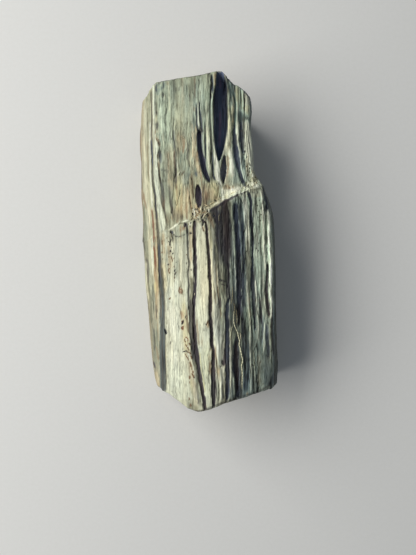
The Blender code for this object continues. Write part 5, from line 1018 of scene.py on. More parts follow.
# ------------------------------------------------------ warm patches
stroke("B", 0.42, 0.05, (183, 203.0, 1.6), (191, 205.0, 2.8), (199, 205.6, 3.4), (205, 205.0, 2.6), soft=0.8, fade=3)
stroke("T", 0.45, 0.0, (184, 211.0, 2.4), (193, 213.0, 2.8), (200, 211.0, 3.0), soft=0.8, fade=3)
stroke("Y", 0.65, -0.05, (180, 208.4, 1.6), (186, 212.0, 2.8), (192, 216.4, 2.0), (197, 214.0, 2.4), soft=0.8, fade=2)
stroke("B", 0.50, 0.10, (186, 208.0, 0.6), (192, 209.0, 0.7), (198, 209.6, 0.6), soft=0.6, fade=1)
stroke("D", 0.50, 0.12, (181, 202.0, 0.6), (187, 202.6, 0.6), (194, 202.8, 0.6), (202, 203.4, 0.7), soft=0.6, fade=1)
stroke("B", 0.35, 0.0, (206, 178.0, 4.0), (214, 178.0, 5.0), (220, 176.0, 4.0), soft=0.9, fade=3)
stroke("T", 0.45, 0.0, (186, 186.0, 2.0), (200, 187.0, 2.4), (214, 187.0, 2.4), soft=0.8, fade=4)
stroke("B", 0.50, 0.10, (202, 186.2, 0.6), (210, 186.6, 0.8), (218, 186.6, 0.7), soft=0.6, fade=1)
stroke("B", 0.45, 0.08, (195, 180.0, 0.5), (205, 181.0, 0.6), (216, 181.6, 0.6), soft=0.6, fade=2)
stroke("T", 0.50, 0.0, (130, 192.4, 1.4), (142, 193.2, 1.6), (156, 195.0, 1.8), (168, 197.4, 1.8), (178, 199.4, 1.4), soft=0.7, fade=4)
stroke("C", 0.55, -0.06, (124, 191.8, 0.8), (136, 192.4, 0.9), (150, 193.0, 0.9), soft=0.5, fade=2)
stroke("T", 0.40, 0.0, (134, 181.0, 3.0), (142, 181.0, 3.4), (152, 182.0, 2.4), soft=0.9, fade=3)
stroke("B", 0.55, 0.12, (132, 178.0, 0.5), (138, 177.4, 0.7), (142, 176.8, 0.5), soft=0.6, fade=1)
stroke("B", 0.55, 0.12, (138, 184.4, 0.6), (146, 183.8, 0.8), (153, 182.8, 0.6), soft=0.6, fade=1)

# ------------------------------------------------------ near strip and face
stroke("T", 0.35, -0.04, (276, 155.8, 1.6), (288, 156.4, 2.2), (300, 157.2, 2.2), (312, 158.2, 1.6), soft=0.8, fade=4)
stroke("W", 0.55, 0.0, (282, 169.0, 3.0), (300, 170.0, 4.4), (320, 171.0, 4.6), (338, 171.6, 4.0), soft=0.9, fade=8)
stroke("W", 0.55, 0.0, (346, 172.0, 4.0), (362, 173.0, 5.0), (380, 174.0, 5.0), (392, 175.0, 4.0), soft=0.9, fade=8)
stroke("W", 0.45, 0.0, (300, 180.0, 2.0), (286, 176.0, 3.0), (272, 182.0, 2.0), soft=0.9, fade=4)

# --------------------------------------------------- darkest lines, once more
stroke("V", 0.85, 0.25, (236, 194.2, 0.5), (244, 194.4, 0.8), (252, 194.6, 0.9), (262, 195.1, 1.0), (272, 195.3, 0.9), (282, 195.3, 0.9), (290, 194.8, 0.8), (300, 194.0, 0.8), (308, 193.5, 0.8), (318, 193.0, 0.6), soft=0.5, fade=2)
stroke("V", 0.75, 0.20, (326, 193.2, 0.6), (334, 193.8, 0.9), (342, 195.0, 1.0), (350, 196.0, 0.8), soft=0.5, fade=2)
stroke("C", 0.70, -0.15, (275.4, 193.1, 0.4), (279.0, 193.6, 0.6), (283.0, 193.4, 0.5), soft=0.4, fade=0.8)
stroke("V", 0.75, 0.20, (340, 235.6, 0.8), (348, 235.2, 1.4), (358, 235.0, 2.2), (370, 235.8, 1.8), (382, 236.4, 1.2), (390, 237.0, 0.6), soft=0.9, fade=2)
stroke("G", 0.75, -0.12, (293, 221.6, 0.5), (304, 222.0, 0.8), (316, 222.2, 0.7), (330, 222.0, 0.7), (344, 221.6, 0.5), soft=0.4, fade=2)
stroke("K", 0.70, 0.15, (296, 218.4, 0.4), (302, 218.4, 0.6), (309, 218.6, 0.4), soft=0.4, fade=1.5)
stroke("K", 0.70, 0.15, (297, 220.2, 0.4), (302, 220.0, 0.7), (308, 220.4, 0.4), soft=0.4, fade=1.5)
stroke("D", 0.75, 0.15, (312, 223.0, 0.4), (322, 223.0, 0.6), (334, 223.0, 0.5), (342, 222.8, 0.4), soft=0.4, fade=1.5)
stroke("P", 0.75, -0.12, (318, 223.9, 0.4), (325, 223.9, 0.6), (333, 223.7, 0.4), soft=0.4, fade=1.2)
stroke("B", 0.60, 0.08, (291, 214.6, 0.4), (297, 214.8, 0.7), (304, 215.2, 0.5), soft=0.5, fade=1.2)
stroke("S3", 0.70, -0.10, (307, 229.6, 0.6), (312, 230.0, 1.0), (320, 230.2, 0.7), soft=0.5, fade=1.2)
stroke("S3", 0.65, -0.10, (307, 244.6, 0.7), (312, 244.8, 1.1), (320, 245.0, 0.8), soft=0.5, fade=1.2)
stroke("V", 0.75, 0.15, (304, 235.8, 0.4), (312, 236.0, 0.7), (324, 235.4, 0.5), soft=0.4, fade=1.2)
stroke("V", 0.70, 0.15, (304, 238.6, 0.5), (314, 238.8, 1.0), (324, 238.9, 0.6), soft=0.4, fade=1.2)
stroke("Q", 0.70, -0.10, (244, 212.4, 0.8), (256, 212.6, 1.1), (266, 213.0, 1.4), (275, 213.6, 1.7), (284, 213.8, 1.5), fade=4)
stroke("O", 0.75, 0.10, (243, 215.4, 1.2), (250, 215.6, 1.6), (258, 216.0, 1.7), (264, 216.8, 1.5), (270, 217.2, 1.1), fade=3)
stroke("O", 0.70, -0.05, (263, 223.6, 1.6), (271, 224.4, 2.2), (280, 224.6, 2.2), (288, 223.8, 1.4), soft=0.8, fade=4)
stroke("D", 0.70, 0.12, (262, 218.5, 0.5), (272, 218.5, 0.6), (284, 218.5, 0.5), soft=0.5, fade=2)
stroke("C", 0.50, -0.05, (272, 217.0, 0.5), (279, 217.2, 0.7), (286, 216.6, 0.7), soft=0.6, fade=2)
stroke("D", 0.65, 0.12, (246, 214.4, 0.4), (254, 214.6, 0.6), (262, 214.8, 0.4), soft=0.5, fade=2)
stroke("V", 0.75, 0.15, (262, 227.4, 0.8), (272, 228.2, 1.0), (284, 228.0, 1.0), soft=0.5, fade=2)
chip("D", 0.75, 0.12, (279.4, 218.6, 0.4), (280.4, 221.4, 0.6), (281.0, 224.0, 0.6), (282.6, 226.2, 0.4), soft=0.4, fade=0.3)
chip("D", 0.70, 0.12, (283.8, 220.6, 0.4), (284.6, 223.0, 0.5), (285.6, 225.4, 0.4), soft=0.4, fade=0.3)
chip("K", 0.80, 0.20, (285.2, 226.6, 0.6), (286.6, 227.2, 0.9), (287.8, 227.0, 0.5), soft=0.4, fade=0.3)
stroke("R", 0.85, 0.14, (219, 152.0, 0.5), (226, 152.9, 0.9), (233, 153.6, 0.7), (238, 154.0, 0.5), soft=0.5, fade=4)
stroke("R", 0.85, 0.14, (245, 153.8, 0.6), (250, 154.4, 0.9), (256, 154.8, 0.9), (262, 155.4, 1.0), (268, 155.4, 0.7), soft=0.5, fade=4)
stroke("T2", 0.70, 0.08, (268, 155.0, 0.7), (274, 155.2, 1.0), (280, 155.8, 0.6), soft=0.5, fade=1.5)
stroke("Y", 0.70, -0.06, (281, 154.8, 0.6), (287, 155.0, 1.0), (294, 155.2, 0.7), soft=0.6, fade=1.5)
stroke("O", 0.60, 0.12, (334, 153.4, 0.6), (340, 154.6, 0.9), (347, 155.2, 0.6), soft=0.6, fade=2)
stroke("W", 0.75, -0.10, (344, 218.4, 1.2), (350, 219.2, 2.0), (357, 219.4, 2.0), (362, 219.0, 1.0), soft=0.6, fade=3)
stroke("K", 0.65, 0.12, (348, 224.4, 0.7), (354, 224.2, 1.2), (361, 224.2, 1.3), (366, 223.8, 0.8), soft=0.6, fade=2)
stroke("O", 0.55, 0.05, (360, 216.6, 0.8), (366, 216.6, 1.2), (370, 217.6, 0.8), soft=0.6, fade=2)
stroke("W", 0.65, -0.08, (369, 220.2, 0.8), (374, 220.5, 1.4), (379, 220.6, 0.8), soft=0.5, fade=1.5)
stroke("O", 0.55, 0.05, (377, 216.0, 1.0), (384, 216.2, 1.8), (392, 216.2, 1.6), (400, 216.6, 1.4), soft=0.7, fade=3)
stroke("V", 0.75, 0.15, (380, 215.0, 0.5), (388, 215.5, 0.8), (397, 215.6, 0.7), soft=0.5, fade=2)
stroke("G", 0.60, -0.05, (384, 223.0, 0.8), (390, 223.4, 1.0), (394, 222.8, 0.6), soft=0.6, fade=2)
stroke("V", 0.75, 0.15, (344, 195.4, 0.8), (352, 196.4, 1.1), (360, 197.4, 1.1), (368, 198.4, 1.0), (376, 199.6, 0.9), (384, 200.9, 0.9), (392, 202.2, 0.8), (400, 203.4, 0.7), soft=0.5, fade=2)
stroke("Y", 0.75, -0.10, (352, 199.2, 0.6), (360, 200.2, 0.7), (368, 201.0, 0.7), (376, 202.2, 0.6), (384, 203.4, 0.6), (392, 204.6, 0.5), soft=0.5, fade=2)
stroke("D", 0.60, 0.08, (350, 194.0, 0.9), (357, 194.2, 1.5), (362, 194.6, 0.9), soft=0.7, fade=2)
stroke("O", 0.65, 0.05, (361, 194.2, 0.9), (366, 194.8, 1.3), (371, 195.0, 0.8), soft=0.7, fade=2)
# Pale threads at the near right end.
stroke("P", 0.70, -0.14, (371, 250.4, 0.5), (378, 251.0, 0.9), (386, 251.3, 1.0), (392, 250.8, 0.7), soft=0.6, fade=2)
stroke("P", 0.65, -0.14, (364, 253.6, 0.4), (372, 254.4, 0.7), (382, 254.8, 0.8), (391, 254.6, 0.6), soft=0.6, fade=2)
stroke("D", 0.55, 0.12, (368, 252.6, 0.4), (380, 253.0, 0.5), (390, 252.8, 0.5), soft=0.6, fade=2)
stroke("P", 0.72, -0.15, (376, 232.9, 0.4), (383, 233.6, 0.6), (391, 234.0, 0.8), (397, 233.8, 0.5), soft=0.6, fade=2)
stroke("L6", 0.60, -0.10, (368, 215.8, 0.6), (380, 216.6, 0.8), (392, 217.0, 0.8), (400, 217.4, 0.6), soft=0.7, fade=3)
stroke("O", 0.45, 0.08, (372, 217.8, 0.3), (384, 218.3, 0.4), (396, 218.8, 0.4), soft=0.6, fade=2)
stroke("C", 0.60, -0.08, (384, 223.8, 0.4), (390, 224.0, 0.5), (395, 223.8, 0.4), soft=0.5, fade=1.5)
# Between the oval hole and the step.
stroke("B", 0.38, 0.0, (192, 205.2, 1.0), (199, 206.0, 1.5), (206, 205.6, 1.3), soft=0.8, fade=2)
stroke("O", 0.60, 0.10, (182.6, 211.0, 0.4), (186, 213.0, 0.5), (189, 215.0, 0.5), (192, 216.4, 0.4), soft=0.5, fade=1)
stroke("O", 0.50, 0.10, (186.6, 219.4, 0.4), (192, 218.0, 0.5), (198.6, 216.2, 0.5), soft=0.5, fade=1)
stroke("W", 0.60, -0.08, (205.0, 213.4, 0.6), (203.4, 215.4, 0.9), (202.2, 218.0, 0.7), soft=0.5, fade=0.8)
chip("D", 0.80, 0.15, (199.6, 213.8, 0.4), (200.4, 215.2, 0.6), (201.2, 216.4, 0.4), soft=0.5, fade=0.5)
# Right of the slot: the pale outer ridge and the two dark bands beside it.
stroke("L5", 0.68, -0.08, (122, 246.8, 1.2), (133, 247.4, 1.9), (145, 248.4, 2.1), (157, 249.4, 1.7), (166, 250.6, 1.1), soft=0.8, fade=4)
stroke("D", 0.72, 0.15, (116, 242.2, 0.7), (126, 242.5, 1.1), (136, 242.8, 1.4), (146, 243.0, 1.3), (151, 243.4, 0.6), soft=0.7, fade=3)
stroke("N", 0.88, 0.22, (131, 232.6, 0.5), (139, 233.0, 1.3), (149, 233.8, 1.6), (157, 234.9, 1.7), (164, 236.3, 1.5), (170, 238.0, 0.8), soft=0.5, fade=2)
stroke("O", 0.45, 0.08, (130, 246.0, 0.3), (142, 246.8, 0.4), (154, 247.6, 0.3), soft=0.6, fade=3)
chip("W", 0.75, -0.10, (208.8, 193.8, 0.5), (211.6, 194.6, 0.8), (214.6, 194.8, 0.6), soft=0.5, fade=0.5)
chip("W", 0.70, -0.10, (206.6, 199.8, 0.4), (208.8, 200.6, 0.7), (210.8, 200.8, 0.5), soft=0.5, fade=0.5)


# Washes: broad colour, laid before the strokes.
BASE_COLOUR = srgb(184, 180, 154)
WASHES = []


def wash(ink, strength, soft, *marks, fade=1.0):
    WASHES.append((ink, strength, soft, 0.0, fade, np.array(marks, float)))


# The left side.
wash("H1", 0.9, 0.25, (88, 146.0, 6.5), (240, 147.0, 6.5))
wash("H2", 0.85, 0.4, (236, 149.0, 7.0), (300, 150.0, 7.0), (390, 156.0, 8.0), fade=6)
wash("H3", 0.60, 0.4, (300, 148.0, 3.5), (345, 152.0, 3.5), (392, 157.0, 4.0), fade=10)
wash("H3", 0.55, 0.5, (100, 142.0, 2.2), (170, 140.5, 2.0), (240, 143.0, 2.4), (330, 149.5, 2.4), (388, 156.5, 2.6), fade=3)
# The upper face, left to right.
wash("M1", 0.95, 0.12, (62, 186.0, 30.0), (120, 188.0, 31.0), (170, 190.0, 31.0), (205, 190.0, 30.0), fade=1.0)
wash("M2", 0.70, 0.5, (80, 190.0, 10.0), (130, 192.0, 10.0), (170, 192.0, 8.0), fade=10)
wash("H4", 0.50, 0.5, (90, 177.0, 7.0), (130, 177.0, 7.0), (160, 174.0, 8.0), fade=10)
wash("M2", 0.60, 0.5, (80, 166.0, 8.0), (120, 166.0, 9.0), (150, 167.0, 7.0), fade=10)
wash("H4", 0.75, 0.5, (168, 186.0, 12.0), (200, 187.0, 15.0), (222, 184.0, 14.0), fade=8)
wash("M3", 0.75, 0.4, (176, 164.0, 6.0), (196, 168.0, 8.0), (214, 171.0, 9.0), (226, 173.0, 7.0), fade=6)
wash("H5", 0.80, 0.5, (180, 210.0, 7.0), (202, 210.0, 8.0), fade=5)
# Right of the slot, and the step's face.
wash("L1", 0.90, 0.25, (72, 238.0, 14.0), (125, 240.0, 13.0), fade=1.0)
wash("L2", 0.90, 0.3, (125, 240.0, 13.0), (185, 246.0, 14.0), fade=4.0)
wash("H5", 0.85, 0.4, (206, 213.0, 3.0), (200, 219.0, 3.6), fade=2.0)
wash("W1", 0.95, 0.22, (197.0, 223.5, 4.2), (193.5, 229.0, 5.8), (190.5, 236.0, 5.2), (188.0, 243.0, 3.6), (185.5, 252.0, 3.4), (184.0, 258.0, 3.0), fade=1.5)
# The near half's left face and crest.
wash("L3", 0.95, 0.25, (242, 180.0, 17.0), (300, 180.0, 16.0), (400, 188.0, 24.0), fade=2.0)
wash("L4", 0.90, 0.3, (222, 203.5, 9.0), (300, 204.0, 10.0), (350, 206.0, 9.0), fade=1.0)
wash("L3", 0.90, 0.4, (345, 205.0, 9.0), (410, 208.0, 9.0), fade=3.0)
wash("M3", 0.60, 0.5, (228, 178.0, 9.0), (240, 180.0, 9.0), fade=4.0)
# Right of the crest.
wash("P1", 0.85, 0.35, (196, 250.0, 22.0), (260, 250.0, 23.0), (300, 250.0, 23.0), fade=2.0)
wash("P2", 0.85, 0.35, (300, 252.0, 23.0), (340, 252.0, 23.0), (400, 252.0, 25.0), fade=4.0)
# Partly painted shade: the flank below the saw cut, which faces away from the light, is washed darker over its dark
# stain.
wash("E1", 0.92, 0.25, (206, 221.5, 7.5), (222, 222.0, 7.4), (240, 222.6, 7.4), (257, 223.2, 7.0), fade=9)
wash("F1", 0.85, 0.4, (258, 221.0, 6.0), (290, 221.5, 6.0), (335, 221.0, 5.0), fade=5)
wash("L5", 0.85, 0.4, (246, 213.5, 3.0), (300, 214.5, 3.0), (335, 217.0, 4.0), (398, 219.0, 4.5), fade=5)
wash("E2", 0.75, 0.4, (203, 235.0, 6.5), (260, 235.5, 6.0), (305, 237.0, 5.0), fade=5)
wash("E3", 0.70, 0.4, (312, 237.0, 6.0), (395, 238.0, 6.0), fade=6)
wash("L5", 0.80, 0.5, (336, 219.0, 4.0), (352, 219.6, 4.0), (398, 219.4, 3.6), fade=5)
wash("R1", 0.80, 0.4, (196, 272.0, 3.0), (250, 275.0, 3.0), (330, 275.5, 3.5), (385, 275.0, 4.0), fade=2)

# Hollows: depth, the colour inside, then marks. The darker, bluish colours inside are painted shade, laid over the
# hollows' real depth.
HOLLOWS = (
    (4.6, srgb(114, 124, 152),
     ((71, 219.6, 3.0), (76, 220.0, 4.0), (85, 220.9, 5.2), (95, 220.0, 6.2), (105, 220.0, 6.5), (117, 220.2, 6.6),
      (128, 220.1, 6.4), (136, 219.6, 5.8), (144, 219.2, 4.8), (151, 219.1, 3.5), (157, 218.8, 1.8), (160.5, 218.6, 0.6))),
    (3.2, srgb(166, 165, 176),
     ((156, 223.9, 0.8), (161, 223.7, 1.8), (167, 223.3, 2.6), (173, 222.8, 2.9), (178, 222.6, 2.1), (183, 223.0, 0.7))),
    (3.2, srgb(158, 148, 164),
     ((185.4, 197.4, 0.9), (187.6, 197.5, 2.1), (191, 198.0, 2.8), (196, 198.2, 3.1), (201, 198.6, 2.8),
      (205, 199.0, 1.9), (207.4, 199.1, 0.8))),
    (3.0, srgb(128, 126, 147),
     ((131.4, 199.0, 1.5), (134, 198.9, 2.1), (141, 199.0, 2.2), (150, 199.8, 2.2), (160, 201.9, 2.3), (170, 203.9, 2.4),
      (177, 206.6, 2.0), (182, 209.3, 0.8))),
)

# Soft tones laid over everything else: how much lighter or darker, by colour.
TONES = (
    ((1.10, 1.10, 1.09), ((98, 170.0, 6.0), (125, 170.0, 7.0), (152, 171.0, 6.0))),
    ((1.05, 1.05, 1.04), ((84, 164.0, 5.0), (120, 162.0, 6.0), (150, 165.0, 5.0))),
    ((1.09, 1.08, 1.05), ((178, 177.0, 6.0), (198, 178.0, 8.0), (216, 177.0, 9.0))),
    ((1.08, 1.08, 1.09), ((186, 206.0, 4.0), (194, 208.0, 6.0), (202, 210.0, 5.0))),
    ((1.06, 1.07, 1.07), ((100, 240.0, 9.0), (130, 240.0, 10.0), (172, 240.0, 9.0))),
    ((1.10, 1.11, 1.10), ((216, 269.0, 3.0), (260, 269.5, 3.0), (306, 270.0, 3.0))),
    ((1.08, 1.08, 1.06), ((346, 205.0, 4.0), (370, 206.0, 4.0), (398, 207.0, 4.0))),
    ((1.10, 1.08, 1.07), ((170, 228.0, 6.0), (184, 228.0, 8.0), (196, 232.0, 7.0))),
    ((1.06, 1.06, 1.05), ((184, 212.0, 5.0), (196, 212.0, 6.0))),
    ((0.90, 0.88, 0.86), ((206, 202.0, 5.0), (212, 198.0, 7.0), (219, 196.0, 5.0))),
    ((1.09, 1.04, 0.97), ((260, 160.0, 5.0), (276, 161.0, 6.0), (294, 161.0, 5.0))),
    ((1.08, 1.07, 1.05), ((262, 210.0, 5.0), (282, 211.0, 6.0), (302, 212.0, 5.0))),
    ((1.13, 1.11, 1.06), ((104, 229.0, 3.0), (116, 230.0, 4.0), (130, 230.0, 4.0), (150, 230.0, 4.0))),
    ((1.06, 1.06, 1.05), ((348, 172.0, 7.0), (368, 174.0, 8.0), (384, 178.0, 6.0))),
    ((1.07, 1.06, 1.03), ((338, 212.0, 6.0), (356, 212.0, 8.0), (378, 213.0, 6.0))),
    ((1.12, 1.11, 1.05), ((306, 250.0, 6.0), (322, 244.0, 7.0), (342, 238.0, 6.0), (370, 241.0, 5.0))),
    ((0.93, 0.93, 0.95), ((280, 232.0, 5.0), (292, 233.0, 6.0), (304, 232.0, 4.0))),
    ((1.10, 1.10, 1.09), ((264, 221.0, 3.0), (290, 222.0, 4.0), (326, 222.0, 3.0))),
    ((1.04, 1.03, 1.035), ((304, 174.0, 7.0), (340, 175.0, 8.0), (366, 176.0, 8.0))),
    ((1.08, 1.10, 1.12), ((392, 195.0, 5.0), (404, 196.0, 6.0))),
    ((0.93, 0.93, 0.94), ((322, 222.0, 4.0), (332, 221.0, 5.0), (340, 221.0, 3.0))),
    ((0.96, 0.99, 1.00), ((88, 208.0, 5.0), (110, 208.0, 5.0), (130, 206.0, 4.0))),
    ((0.93, 0.97, 1.02), ((170, 186.0, 5.0), (180, 187.0, 5.0), (188, 187.0, 3.0))),
    ((0.96, 0.95, 0.95), ((240, 184.0, 6.0), (262, 188.0, 7.0), (280, 188.0, 5.0))),
    ((0.96, 0.95, 0.95), ((310, 183.0, 5.0), (335, 186.0, 5.0), (352, 188.0, 4.0))),
    ((0.92, 0.95, 0.99), ((378, 256.0, 10.0), (392, 240.0, 8.0), (398, 224.0, 6.0))),
    ((1.03, 1.02, 1.03), ((100, 146.0, 7.0), (160, 146.0, 7.0), (230, 148.0, 8.0))),
    ((1.04, 1.03, 1.02), ((232, 202.0, 6.0), (270, 203.0, 7.0), (330, 205.0, 7.0))),
)


# -------------------------------------------------------- laying the strokes
def refine(marks, parts=4):
    """A smooth run of marks through the given ones."""
    if len(marks) < 3:
        return marks
    ends = np.vstack([2 * marks[0] - marks[1], marks, 2 * marks[-1] - marks[-2]])
    out = []
    for i in range(1, len(ends) - 2):
        p0, p1, p2, p3 = ends[i - 1], ends[i], ends[i + 1], ends[i + 2]
        for k in range(parts):
            t = k / parts
            out.append(0.5 * (2 * p1 + (p2 - p0) * t + (2 * p0 - 5 * p1 + 4 * p2 - p3) * t * t
                              + (3 * p1 - p0 - 3 * p2 + p3) * t ** 3))
    out.append(ends[-2])
    return np.array(out)


def line_distance(u, v, marks):
    """Distance to a line of marks, its half width there, and the run to its nearer end."""
    best = np.full(len(u), 1e9)
    width, reach = np.zeros(len(u)), np.zeros(len(u))
    seg = np.hypot(np.diff(marks[:, 0]), np.diff(marks[:, 1])) + 1e-9
    run = np.concatenate([[0.0], np.cumsum(seg)])
    for i in range(len(marks) - 1):
        (v0, u0, w0), (v1, u1, w1) = marks[i], marks[i + 1]
        dv, du = v1 - v0, u1 - u0
        t = np.clip(((v - v0) * dv + (u - u0) * du) / (dv * dv + du * du + 1e-12), 0, 1)
        d = np.hypot(v - v0 - t * dv, u - u0 - t * du)
        near = d < best
        best = np.where(near, d, best)
        width = np.where(near, w0 + (w1 - w0) * t, width)
        along = run[i] + t * seg[i]
        reach = np.where(near, np.minimum(along, run[-1] - along), reach)
    return best, width, reach


def streaks(across, along, seed, octaves=2):
    """Noise drawn out along the grain, different in the two halves of the block."""
    warp = (0.9 * noise(_gx * 0.11, _gy * 0.05, seed + 3)
            + 0.25 * noise(_gx * 0.5, _gy * 0.17, seed + 4))
    gx = _gx + warp + np.where(IS_SPLIT, 173.1, 0.0)
    return fractal(gx * across, _gy * along, seed, octaves)


# Everything drawn on the plan is laid on the seen surface only.
N_TOP = TOP_COLUMNS
seen_u, seen_v = PLAN_U.ravel(), PLAN_V.ravel()
# The marks are read at the middle of what is seen, a little left of where it lies.
seen_u = seen_u - np.interp(seen_u, (145, 170, 200, 222, 240, 272), (0.05, 0.12, 0.38, 0.55, 0.65, 0.55))
wob_u = seen_u + 0.16 * noise(seen_u * 0.30, seen_v * 0.055, 501) + 0.24 * noise(seen_u * 0.8, seen_v * 0.21, 502)
wob_v = seen_v + 0.25 * noise(seen_u * 0.35, seen_v * 0.20, 503)
fibre = streaks(3.0, 0.30, 510, 2)[:, :N_TOP].ravel()
edge_break = streaks(1.6, 0.9, 511, 2)[:, :N_TOP].ravel()

depth_px = np.zeros(len(seen_u))
shade = np.zeros((len(seen_u), 3)) + BASE_COLOUR


def lay(marks, soft, fade, pad=1.8, still=False):
    marks = refine(marks)
    wide = marks[:, 2].max() * pad + 1.0
    pick = np.nonzero((seen_v > marks[:, 0].min() - wide) & (seen_v < marks[:, 0].max() + wide)
                      & (seen_u > marks[:, 1].min() - wide) & (seen_u < marks[:, 1].max() + wide))[0]
    if not len(pick):
        return pick, np.zeros(0)
    if still:
        d, w, reach = line_distance(seen_u[pick] + 0.3 * (wob_u - seen_u)[pick], seen_v[pick], marks)
        w = np.maximum(w * (1 + 0.04 * edge_break[pick]), 0.34)
    else:
        d, w, reach = line_distance(wob_u[pick], wob_v[pick], marks)
        w = np.maximum(w * (1 + 0.30 * edge_break[pick]), 0.34)
    m = 1 - smoothstep(1 - soft, 1 + soft, d / w)
    m = m * (0.3 + 0.7 * smoothstep(0.0, max(fade, 0.01), reach))
    return pick, m


CRISP = {"K": 0.62, "V": 0.65, "N": 0.65, "D": 0.70, "B": 0.75, "O": 0.80, "W": 0.75, "Q": 0.80}
for ink, strength, soft, depth, fade, marks in WASHES + STROKES:
    pick, m = lay(marks, soft * CRISP.get(ink, 1.0), fade)
    if not len(pick):
        continue
    a = np.clip(strength * m * (1 + 0.30 * fibre[pick]), 0, 1)[:, None]
    shade[pick] = shade[pick] * (1 - a) + INK[ink] * a
    depth_px[pick] += depth * m

for gain, marks in TONES:
    pick, m = lay(np.array(marks, float), 0.9, 6.0)
    shade[pick] = shade[pick] * (1 + (np.array(gain) - 1) * m[:, None])

for depth, inside, marks in HOLLOWS:
    pick, m = lay(np.array(marks, float), 0.20, 0.01, still=True)
    a = smoothstep(0.05, 0.70, m)[:, None]
    inner = inside * (1 + 0.12 * fibre[pick])[:, None]
    shade[pick] = shade[pick] * (1 - a) + inner * a
    depth_px[pick] += depth * smoothstep(0.0, 1.0, m)
# A warmer streak down the floor of the long hollow.
for marks in (((74, 219.2, 0.9), (80, 219.6, 1.1), (88, 219.8, 0.8)),
              ((110, 219.4, 0.7), (122, 219.6, 1.2), (136, 219.2, 1.2), (148, 218.8, 0.8))):
    pick, m = lay(np.array(marks, float), 0.8, 3.0, still=True)
    a = (0.75 * m)[:, None]
    shade[pick] = shade[pick] * (1 - a) + srgb(156, 132, 160) * a
# The slot's right wall lies in shade.
pick, m = lay(np.array(((76, 224.4, 1.0), (86, 225.6, 1.3), (105, 226.0, 1.4), (126, 225.8, 1.4), (140, 224.2, 1.2),
                        (150, 222.4, 0.9)), float), 0.8, 3.0, still=True)
shade[pick] = shade[pick] * (1 - 0.35 * m)[:, None]

shade = shade.reshape(ROWS, N_TOP, 3)
sunk = depth_px.reshape(ROWS, N_TOP)

# Marks that the eye sees edge-on, on the walls, run out softly along the grain.
sight = np.array([0.0, 0.0, EYE]) - LOOP[:, :N_TOP]
sight /= np.linalg.norm(sight, axis=2, keepdims=True)
facing = (NORMAL[:, :N_TOP] * sight).sum(2)
reach = 26
padded = np.pad(shade, ((reach + 1, reach), (0, 0), (0, 0)), mode="edge")
total = np.cumsum(padded, axis=0)
smooth_shade = (total[2 * reach + 1:] - total[:-2 * reach - 1]) / (2 * reach + 1)
padded = np.pad(smooth_shade, ((reach + 1, reach), (0, 0), (0, 0)), mode="edge")
total = np.cumsum(padded, axis=0)
smooth_shade = (total[2 * reach + 1:] - total[:-2 * reach - 1]) / (2 * reach + 1)
edge_on = (smoothstep(0.20, 0.06, facing) * (COLUMN_S > 0.5)[None, :])[..., None]
shade = shade * (1 - edge_on) + smooth_shade * edge_on

# ------------------------------------------------------------ the wood's relief
def across_share(full_half, split_half):
    """A value that changes across the block, given at shares of its top in each half."""
    rows = np.where(KIND[:, None] < 0.5,
                    np.interp(COLUMN_S, *zip(*full_half))[None, :],
                    np.interp(COLUMN_S, *zip(*split_half))[None, :])
    out = np.ones((ROWS, COLS))
    out[:, :N_TOP] = rows
    return out


def hairlines(across, along, seed, width):
    """Thin wavy lines along the grain: 1 on a line and 0 off it."""
    return 1 - smoothstep(0.0, width, np.abs(streaks(across, along, seed, 2)))


coarse = across_share(((0, 0.5), (0.2, 0.5), (0.3, 0.25), (0.5, 0.22), (0.60, 0.40), (0.66, 0.7), (1, 0.8)),
                      ((0, 0.5), (0.15, 0.4), (0.3, 0.3), (0.5, 0.35), (0.6, 0.5), (0.7, 0.5), (1, 0.5)))
fine = across_share(((0, 0.7), (0.2, 0.7), (0.3, 0.45), (0.5, 0.45), (0.6, 1.1), (1, 1.3)),
                    ((0, 0.7), (0.2, 1.1), (0.5, 1.3), (0.7, 1.2), (1, 1.2)))
calm = np.where((KIND > 0.02) & (KIND < 1.5), 0.45, 1.0)[:, None]
coarse, fine = coarse * calm, fine * calm
coarse[:, N_TOP:] = 1.2
fine[:, N_TOP:] = 1.0
relief = (0.10 * streaks(0.8, 0.04, 601) + 0.05 * streaks(2.2, 0.10, 611)) * coarse
relief = relief + 0.03 * streaks(4.4, 0.35, 621) * fine
gate_a = smoothstep(-0.25, 0.25, streaks(0.45, 0.03, 651, 1))
gate_b = smoothstep(-0.15, 0.35, streaks(0.7, 0.08, 653, 1))
gate_c = smoothstep(-0.10, 0.40, streaks(0.9, 0.16, 655, 1))
lines_a = hairlines(0.62, 0.022, 661, 0.16) * gate_a
lines_b = hairlines(1.25, 0.055, 663, 0.22) * gate_b
lines_c = hairlines(2.30, 0.120, 665, 0.30) * gate_c
relief = relief - (0.26 * lines_a + 0.12 * lines_b) * coarse - 0.06 * lines_c * fine
low = smoothstep(0.3, 3.0, LOOP[..., 2])
relief = relief * low
# Splits and steps in the rough hidden wall.
wall = np.zeros((ROWS, COLS))
wall[:, N_TOP:N_TOP + WALL_COLUMNS] = 1.0
ledge = streaks(0.33, 0.018, 641, 1)
relief = relief + wall * low * (0.35 * (smoothstep(-0.1, 0.1, ledge) - 0.7) + 0.12 * streaks(1.4, 0.05, 645))

points = LOOP + NORMAL * relief[..., None]

